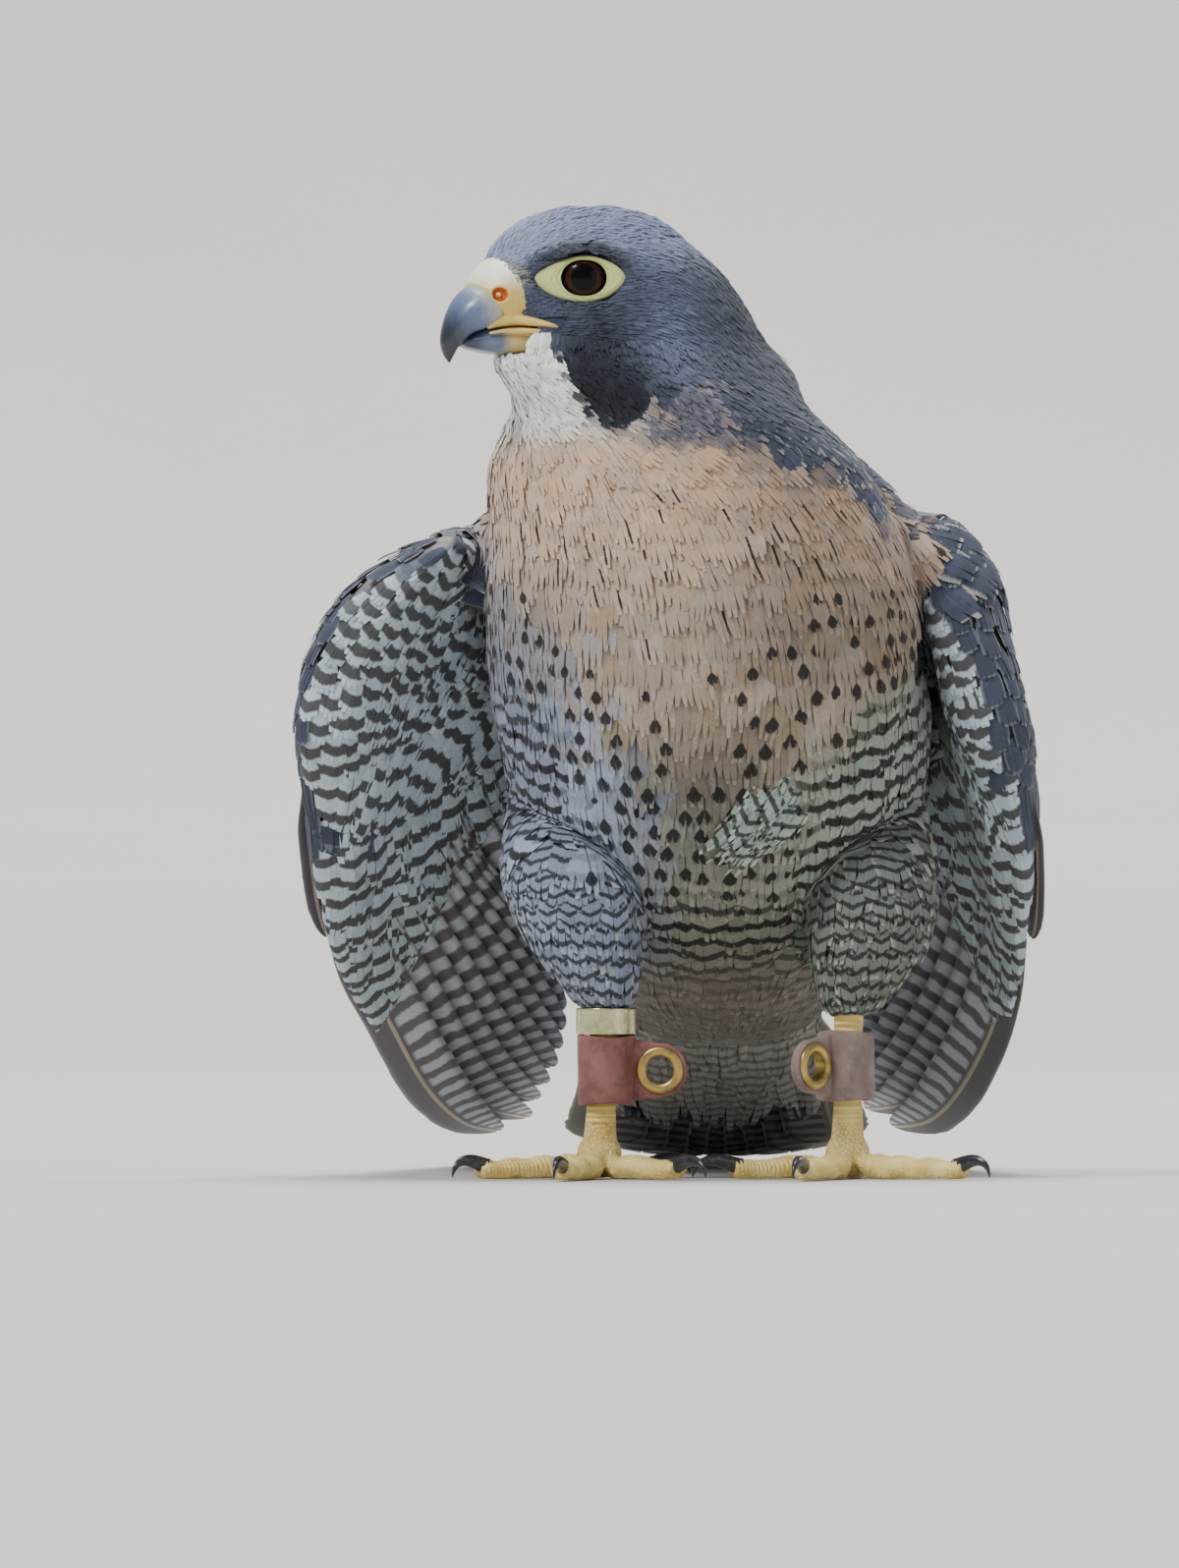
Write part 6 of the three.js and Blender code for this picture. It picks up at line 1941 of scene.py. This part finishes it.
@dataclass
class Foot:
    """The bare skin of one leg from under its feathers to the toes' ends, and its claws."""
    side: Side
    voxel: float = 0.00052

    def _ground(self) -> Array:
        """The point of the floor under the foot's middle."""
        x, y, _ = LEGS[self.side]["foot"]
        return np.array([x, y, 0.0])

    def _toe(self, name: str) -> Shell:
        """One toe: a tube with swollen joints over soft pads, down to the floor."""
        way = heading(LEGS[self.side]["headings"][name])
        share = np.linspace(0, 1.02, 110)[:, None]
        swell = np.cos(2 * np.pi * share * TOE_JOINTS[name])
        pad, knuckle = 0.5 - 0.5 * swell, 0.5 + 0.5 * swell
        base = TOE_RADIUS * (1.1 - 0.34 * share)
        low = smooth(-np.sin(COARSE_TURNS), 0.1, 0.9)
        radius = base * (0.82 + 0.2 * knuckle * (1 - low) + 0.36 * pad * low * smooth(share, 0.1, 0.3))
        points = (self._ground() + share[..., None] * TOE_LENGTH[name] * way
                  + (radius * np.cos(COARSE_TURNS))[..., None] * beside(way))
        height = base * 0.84 + 5 * (1 - smooth(share, 0, 0.24)) + radius * np.sin(COARSE_TURNS)
        points[..., 2] = np.maximum(height, 0.3)
        return closed(points)

    def _shaft(self) -> Shell:
        """The tarsus and the foot's hub."""
        top, foot = (np.array(LEGS[self.side][key], float) for key in ("ankle", "foot"))
        keys = np.stack([mix(top + [0, 0, 2], foot - [0, 0, 4], t) for t in (0, 0.15, 0.5, 0.8, 1)])
        shaft = tube(keys, TARSUS_RADIUS * np.array([1.0, 0.98, 0.92, 1.06, 1.3]), 32, 60)
        polar, turn = ring_grid(0.05, np.pi - 0.05, 20, COARSE_TURNS)
        hub = np.stack([foot[0] + 6.2 * np.sin(polar) * np.cos(turn),
                        foot[1] + 5.8 * np.sin(polar) * np.sin(turn),
                        np.maximum(0.3, 6.6 + 6.6 * np.cos(polar))], -1)
        return closed(shaft).joined(closed(hub))

    def skin(self) -> bpy.types.Object:
        """Shaft, hub and toes grown together, with plates across the front of each."""
        name = f"foot_skin_{self.side.value}"
        whole = together([self._shaft(), *(self._toe(toe) for toe in LEGS[self.side]["headings"])])
        mesh = whole.grown(name, self.voxel, 5)
        points = get_points(mesh)
        flat = np.empty(points.size, np.float32)
        mesh.vertices.foreach_get("normal", flat)
        normal = flat.reshape(-1, 3)
        run, top = self._plates(points, normal)
        step = run % 1.0
        relief = 0.8 * top * within(step, 0.0, 0.22, 0.35, 1.0)
        points = points + normal * relief[:, None]
        points[:, 2] = np.maximum(points[:, 2], 0.05)
        set_points(mesh, points)
        set_colours(mesh, "plates", np.stack([step, top, 0 * top, 1 + 0 * top], 1))
        mesh.update()
        return shown(name, mesh)

    def _plates(self, points: Array, normal: Array) -> tuple[Array, Array]:
        """Counts of the plates along toe or shaft, and how much they show at each point."""
        off = points - self._ground()
        best, run = np.full(len(points), 1e9), np.zeros(len(points))
        for name, degrees in LEGS[self.side]["headings"].items():
            way = heading(degrees)
            along = off @ way
            lateral = np.abs(off @ beside(way)) + np.where(along < 2, 40.0, 0.0)
            nearer = lateral < best
            best = np.where(nearer, lateral, best)
            run = np.where(nearer, along / mix(1.9, 1.45, along / TOE_LENGTH[name]), run)
        shaft = points[:, 2] > 15.5
        upward = smooth(normal[:, 2], -0.45, 0.25) * smooth(np.hypot(off[:, 0], off[:, 1]), 7, 12)
        return (np.where(shaft, points[:, 2] / 2.1, run),
                np.where(shaft, smooth(-normal[:, 1], 0.2, 0.6), upward))

    def claw(self, name: str) -> Shell:
        """A hook, deeper than it is wide, from the toe's end down to just over the floor."""
        way = heading(LEGS[self.side]["headings"][name])
        share = np.linspace(-0.06, 1, 60)
        held = np.maximum(share, 0)
        out = (TOE_LENGTH[name] - 1.2 + CLAW_LENGTH[name] * 0.86 * np.sin(held * 1.45)
               + np.minimum(share, 0) * 14)
        height = 3.6 + 3.2 * np.sin(held * 2.4) - 4.9 * held ** 2
        r = 2.25 * (1 - held) ** 0.8 + 0.12
        middle = self._ground() + out[:, None] * way + height[:, None] * np.array([0, 0, 1.0])
        up = unit(np.cross(unit(np.gradient(middle, axis=0)), beside(way)))
        up = up * np.sign(up[:, 2:3] + 1e-6)
        ring = ((0.84 * np.cos(COARSE_TURNS))[None, :, None] * beside(way)
                + np.sin(COARSE_TURNS)[None, :, None] * up[:, None])
        points = middle[:, None] + r[:, None, None] * ring
        points[..., 2] = np.maximum(points[..., 2], 0.05)
        return closed(points)

    @staticmethod
    def skin_finish() -> bpy.types.Material:
        """Pale yellow skin: plates with darker joins on top, small round scales elsewhere."""
        w = Wiring("toe_skin")
        step, top, _ = w.split(w.stored("plates")[0])
        cells = w.cells(w.place(), 820.0)
        soft = w.noise(w.place(), 120.0, 4.0)
        fine = w.noise(w.place(), 1500.0, 3.0)
        colour = w.blend(soft.ease(0.35, 0.7), paint(248, 227, 150), paint(230, 198, 106))
        colour = w.blend(fine.ease(0.5, 0.75) * 0.3, colour, paint(250, 244, 214))
        other = 1.0 - top
        joins = w.most(step.ease(0.14, 0.0) * top, cells.ease(0.14, 0.0) * other)
        colour = w.blend(joins * 0.6, colour, paint(156, 124, 66))
        raised = step.ease(0.0, 0.25) * top + cells.ease(0.0, 0.3) * other
        w.bump(fine * 0.25 + raised, 0.00022, 0.7)
        return w.finish(Base_Color=colour, Roughness=0.5, Subsurface_Weight=0.08, Subsurface_Scale=0.001)

    @staticmethod
    def claw_finish() -> bpy.types.Material:
        """Black horn with grey lines along it."""
        w = Wiring("claw_horn")
        streaks = w.noise(w.place(), 700.0, 5.0, 0.65)
        broad = w.noise(w.place(), 90.0)
        colour = w.blend(streaks.ease(0.4, 0.75), paint(22, 22, 27), paint(66, 66, 76))
        colour = w.blend(broad.ease(0.5, 0.8) * 0.4, colour, paint(88, 84, 84))
        w.bump(streaks, 0.00012, 0.4)
        return w.finish(Base_Color=colour, Roughness=0.3, Coat_Weight=0.4, Coat_Roughness=0.18)


def turned(profile: Array, sides: int) -> Array:
    """Rings of a closed profile of radius and height, turned about the vertical."""
    turn = full_turn(sides)
    r, z = profile[:, :1], profile[:, 1:]
    return np.stack([r * np.cos(turn), r * np.sin(turn), z + 0 * turn], -1)


def rounded(width: float, height: float, corner: float) -> Array:
    """A closed rectangle with round corners, about its middle."""
    corners = []
    for k, (x, y) in enumerate(((1, 1), (-1, 1), (-1, -1), (1, -1))):
        turn = np.radians(90 * k + np.linspace(0, 90, 6))
        middle = [x * (width / 2 - corner), y * (height / 2 - corner)]
        corners.append(middle + corner * np.stack([np.cos(turn), np.sin(turn)], 1))
    loop = np.concatenate(corners + [corners[0][:1]])
    length = path_length(loop)
    even = np.unique(np.concatenate([length[:-1], np.linspace(0, length[-1], 56, endpoint=False)]))
    return read_rows(even, length, loop)


@dataclass
class Worn:
    """The leather band, its brass eyelet and the closed ring of one leg."""
    side: Side

    def _frame(self) -> tuple[Array, Array]:
        """The middle of the band and the way its tab points."""
        leg = LEGS[self.side]
        top, foot = np.array(leg["ankle"], float), np.array(leg["foot"], float)
        middle = leg["anklet_top"] - ANKLET["height"] / 2
        centre = mix(top, foot, (top[2] - middle) / (top[2] - foot[2]))
        way = heading(leg["anklet_heading"])
        return np.array([centre[0], centre[1], middle]) + ANKLET["pull"] * way, way

    def _placed(self, points: Array) -> Array:
        """Points made along +X, turned to the tab's heading and moved to the band's middle."""
        centre, way = self._frame()
        return (centre + points[..., :1] * way + points[..., 1:2] * beside(way)
                + points[..., 2:] * np.array([0, 0, 1.0]))

    def band(self) -> Shell:
        """A soft band with rounded edges, slightly uneven, and the tab with its hole."""
        wall, height, radius = ANKLET["wall"], ANKLET["height"], ANKLET["radius"]
        rings = turned(rounded(wall, height, 0.55) + [radius + wall / 2, 0], 144)
        turn = np.arctan2(rings[..., 1], rings[..., 0])
        rise = rings[..., 2] / 9.5
        rings[..., :2] *= (1 + 0.02 * np.sin(2 * turn + 0.7) * rise)[..., None]
        rings[..., 2] += 0.35 * np.sin(turn * 2 + 1.0) * rise
        return hooped(self._placed(rings)).joined(hooped(self._placed(self._tab())))

    def _tab(self) -> Array:
        """The flat tab: rings from the hole's edge out to the outline, on both faces."""
        turn = full_turn(144)
        inner = GROMMET["neck"] + 0.35
        s = np.array([0, 0.03, 0.1, 0.3, 0.5, 0.7, 0.9, 0.97, 1.0])
        edge = np.array([0.75, 0.95, 1, 1, 1, 1, 1, 0.93, 0.6]) * ANKLET["plate"] / 2
        r = inner + (self._reach(turn) - inner) * s[:, None]
        face = np.stack([HOLE_PLACE + r * np.cos(turn), edge[:, None] + 0 * r, r * np.sin(turn)], -1)
        return np.concatenate([face, face[::-1] * [1, -1, 1]])

    @staticmethod
    def _reach(turn: Array) -> Array:
        """How far the tab's outline lies from the hole's middle: a round end that widens towards the
        band and stops inside its wall."""
        stop = HOLE_PLACE - ANKLET["radius"] - 0.5
        slope = (ANKLET["height"] / 2 - 1 - ANKLET["round"]) / stop
        c, s = np.cos(turn), np.abs(np.sin(turn))
        side = ANKLET["round"] / np.maximum(s + slope * c, 1e-3)
        return np.where(c < 0, np.minimum(side, stop / np.maximum(-c, 1e-3)), ANKLET["round"])

    def eyelet(self) -> Shell:
        """A brass eyelet: a rolled rim on each face joined by a neck through the hole."""
        half = ANKLET["plate"] / 2 + 0.12
        hole, neck, flange, rim = GROMMET["hole"], GROMMET["neck"], GROMMET["flange"], GROMMET["rim"]
        arc = np.linspace(0, np.pi, 14)
        wide = (flange - hole) / 2
        front = np.stack([hole + wide - wide * np.cos(arc), half + rim * np.sin(arc) ** 0.8], 1)
        edge, deep = flange - 0.15, half - 0.12
        step = np.array([[edge, deep], [neck, deep], [neck, -deep], [edge, -deep]])
        rings = turned(np.concatenate([front, step, front[::-1] * [1, -1]]), len(TURNS))
        return hooped(self._placed(rings[..., [0, 2, 1]] + [HOLE_PLACE, 0, 0]))

    def ring(self) -> Shell:
        """The closed metal ring over the band."""
        centre, _ = self._frame()
        wall, height = LEG_RING["wall"], LEG_RING["height"]
        loop = rounded(wall, height, 0.3) + [LEG_RING["radius"] - wall / 2, 0]
        base = LEGS[self.side]["anklet_top"] + GAP + height / 2
        return hooped(turned(loop, 128) + [centre[0], centre[1], base])

    @staticmethod
    def leather(name: str, dark: Array, light: Array, rough: float, nap: float) -> bpy.types.Material:
        """Worn leather: pores, creases and pale scuffs."""
        w = Wiring(name)
        pores = w.cells(w.place(), 1500.0)
        soft = w.noise(w.place(), 130.0, 5.0, 0.6)
        scuff = w.noise(w.place(), 380.0, 6.0, 0.7)
        fibre = w.noise(w.place(), 2600.0, 3.0) * nap
        colour = w.blend(soft.ease(0.3, 0.7), dark, light)
        colour = w.blend(scuff.ease(0.58, 0.74) * 0.5, colour, np.minimum(1, light * 1.9 + 0.05))
        colour = w.blend(fibre, colour, dark * 0.6)
        w.bump(pores.ease(0.0, 0.2) * 0.5 + (scuff + fibre), 0.0002, 0.6)
        return w.finish(Base_Color=colour, Roughness=rough, Sheen_Weight=nap * 0.5)

    @staticmethod
    def metal(name: str, base: Array, tarnish: Array, rough: float) -> bpy.types.Material:
        """Metal with tarnish in patches and fine scratches."""
        w = Wiring(name)
        patch = w.noise(w.place(), 240.0, 5.0, 0.65)
        fine = w.noise(w.place(), 1800.0, 4.0)
        w.bump(patch + fine * 0.5, 0.00008, 0.5)
        return w.finish(Base_Color=w.blend(patch.ease(0.45, 0.75) * 0.8, base, tarnish), Metallic=0.9,
                        Roughness=patch * 0.35 + rough)


# The room

FRAME_TALL = 0.43092  # metres seen from top to bottom at the bird's plane
AWAY = 7.0
VIEW_X, VIEW_Z = -32.9, 108.5  # the picture's middle in the bird's frame


class Studio:
    """Floor, lights and camera."""

    @staticmethod
    def floor() -> None:
        """A pale floor that curves up far behind the bird."""
        flat, bend, tall = 44000.0, 5000.0, 2000.0
        corner = bend * np.pi / 2
        s, x = ring_grid(0, flat + corner + tall, 120, np.linspace(-26000, 26000, 60))
        turn = np.clip((s - flat) / bend, 0, np.pi / 2)
        y = -24000 + np.minimum(s, flat) + bend * np.sin(turn)
        z = bend * (1 - np.cos(turn)) + np.maximum(0, s - flat - corner)
        sheet = Shell(np.stack([x, y, z], -1).reshape(-1, 3) - SHIFT, grid_faces(120, 60)).make("floor")
        w = Wiring("floor")
        fine = w.noise(w.place(), 60.0, 4.0)
        broad = w.noise(w.place(), 2.2)
        w.bump(fine, 0.0004, 0.2)
        colour = w.blend(fine * 0.25 + broad * 0.5, paint(214, 211, 204), paint(198, 196, 191))
        sheet.data.materials.append(w.finish(Base_Color=colour, Roughness=0.85))
        sheet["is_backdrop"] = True

    @staticmethod
    def lights() -> None:
        """A soft sun from the bird's front right and one from above, with a fill from its left, a rim
        light from behind and a pale sky."""
        aim = np.array([0.0, 0.0, 0.14])
        for name, kind, place, size, power in (
            ("key", "SUN", (-1.5, -1.4, 2.3), 0.28, 2.1),
            ("top", "SUN", (0.1, 0.45, 2.6), 0.68, 3.4),
            ("fill", "AREA", (2.2, -2.0, 0.9), 1.8, 7.0),
            ("rim", "AREA", (1.3, 1.9, 1.3), 0.9, 16.0),
        ):
            lamp = bpy.data.lights.new(name, kind)
            lamp.energy = power
            if kind == "SUN":
                lamp.angle = size
            else:
                lamp.shape, lamp.size = "DISK", size
            thing = shown(name, lamp)
            thing.location = place
            way = unit(aim - np.array(place))
            thing.rotation_euler = (float(np.arccos(-way[2])), 0.0, float(np.arctan2(-way[0], way[1])))
        world = bpy.data.worlds.new("studio")
        bpy.context.scene.world = world
        world.use_nodes = True
        sky = world.node_tree.nodes["Background"]
        sky.inputs[0].default_value = (0.93, 0.96, 1.0, 1.0)
        sky.inputs[1].default_value = 0.36

    @staticmethod
    def camera() -> None:
        """The photograph's own view, level and far off."""
        lens = bpy.data.cameras.new("camera")
        lens.lens = 36 * AWAY / FRAME_TALL
        lens.clip_end = 120
        camera = shown("camera", lens)
        camera.location = ((VIEW_X + SHIFT[0]) / 1000, SHIFT[1] / 1000 - AWAY, (VIEW_Z + SHIFT[2]) / 1000)
        camera.rotation_euler = (np.pi / 2, 0, 0)
        bpy.context.scene.camera = camera


def dress(piece: bpy.types.Object, finish: bpy.types.Material, slot: str, *nodes: str) -> None:
    """Gives a piece of the bird its finish, hangs it under the body's root and hides the imported parts that
    it replaces.
    """
    piece.data.materials.append(finish)
    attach(piece, "root")
    if nodes:
        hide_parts(*nodes)
    LOG.info("%s: %d faces", piece.name, len(piece.data.polygons))


def dress_face() -> None:
    """Eyes, lids and bill."""
    lid = Eye.lid_finish()
    for side in Side:
        eye, key = Eye(side), side.value
        dress(eye.ball().make(f"eyeball_{key}"), eye.finish(), "eye", f"eye_{key}")
        dress(eye.lids().make(f"lids_{key}"), lid, "eye_skin", f"eye_ring_{key}")
    bill = Bill()
    waxy = bill.cere_finish()
    dress(bill.waxy(), waxy, "cere_skin", "cere")
    dress(bill.lips(False).make("lower_lips"), waxy, "cere_skin")
    dress(bill.horn().make("upper_horn"), bill.horn_finish(), "bill_horn", "bill_upper")
    dress(bill.lower().make("lower_horn"), bill.lower_finish(), "bill_horn", "bill_lower")


def dress_legs() -> None:
    """Feet, claws, bands, eyelets and ring."""
    skin, horn = Foot.skin_finish(), Foot.claw_finish()
    brass = Worn.metal("brass", paint(196, 168, 104), paint(96, 82, 52), 0.22)
    band = {
        Side.RIGHT: Worn.leather("leather_smooth", paint(116, 66, 62), paint(158, 102, 98), 0.5, 0.15),
        Side.LEFT: Worn.leather("leather_nap", paint(120, 100, 94), paint(164, 144, 138), 0.85, 0.5),
    }
    for side in Side:
        foot, worn, key = Foot(side), Worn(side), side.value
        dress(foot.skin(), skin, "toe_skin", f"tarsus_{key}", f"foot_{key}")
        for name in TOE_LENGTH:
            dress(foot.claw(name).make(f"horn_{name}_{key}"), horn, "claw_horn", f"claw_{name}_{key}")
        dress(worn.band().make(f"band_{key}"), band[side], "leather", f"anklet_{key}")
        dress(worn.eyelet().make(f"eyelet_{key}"), brass, "brass", f"grommet_{key}")
    steel = Worn.metal("ring_metal", paint(214, 212, 168), paint(150, 146, 100), 0.1)
    dress(Worn(Side.RIGHT).ring().make("closed_ring"), steel, "ring_metal", "leg_ring")


def dress_body(wings: dict[Side, WingForm], tail: TailForm) -> None:
    """Skin, coat, wings and tail."""
    rng = np.random.default_rng(SEED)
    skin = Skin()
    bare = skin.build(wings, tail)
    dress(bare, skin.finish(), "breast_feathers", "torso", "neck", "head", "thigh_left", "thigh_right")
    drape = Drape(bare)
    body = BodyCoat(drape, rng)
    contour = FeatherFinish("contour").material()
    fine = FeatherFinish("fine", pitch=4.0, coarse=0.7, streak=0.22, drop=(1.1, 1.4, 2.2)).material()
    thigh = FeatherFinish("thigh", pitch=4.1, dark=0.36, chevron=0.5).material()
    cover = FeatherFinish("coverts", pitch=8.2, dark=0.42, ink=tuple(paint(44, 36, 34)),
                          pale=tuple(paint(150, 153, 163))).material()
    dress(body.torso().make("torso_coat"), contour, "breast_feathers")
    dress(body.flap().make("flap_coat"), thigh, "barred_feathers")
    dress(body.neck().make("neck_coat"), fine, "slate_feathers")
    dress(body.head().make("head_coat"), fine, "slate_feathers")
    flight = QuillFinish("flight").material()
    for side, wing in wings.items():
        key = side.value
        dress(ThighCoat(drape, rng).build(side).make(f"thigh_coat_{key}"), thigh, "barred_feathers")
        dress(ShoulderCoat(drape, rng).build(side).make(f"shoulder_coat_{key}"), contour, "slate_feathers")
        arm = ArmCoat(side, wing, rng).build().make(f"arm_coat_{key}")
        dress(arm, cover, "barred_feathers", f"wing_arm_{key}")
        for name, quills in (("primaries", primaries), ("secondaries", secondaries), ("alula", alula)):
            blades = facing_out(quills(wing, rng)).make(f"{name}_{key}")
            dress(blades, flight, "flight_feathers", f"wing_{name}_{key}")
    rudder = QuillFinish("rudder", band=tuple(paint(52, 54, 62)), under=tuple(paint(150, 146, 140)),
                         edge=tuple(paint(214, 206, 192)), pitch=10.5, share=0.5, over_bands=0.7).material()
    dress(facing_out(rectrices(tail, rng)).make("rectrices"), rudder, "tail_feathers", "tail")
    dress(TailCoat(tail, rng).build().make("tail_coat"), contour, "tail_feathers")


def main() -> None:
    """Builds the bird piece by piece, then the room."""
    dress_body({side: WingForm(side) for side in Side}, TailForm())
    dress_face()
    dress_legs()
    studio = Studio()
    studio.floor()
    studio.lights()
    studio.camera()


if __name__ == "__main__":
    logging.basicConfig(level=logging.INFO)
    main()
    boxes = {"cad": CAD_BOX, "visual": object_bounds()}
    {name: [[float(n) for n in corner] for corner in box] for name, box in boxes.items()}
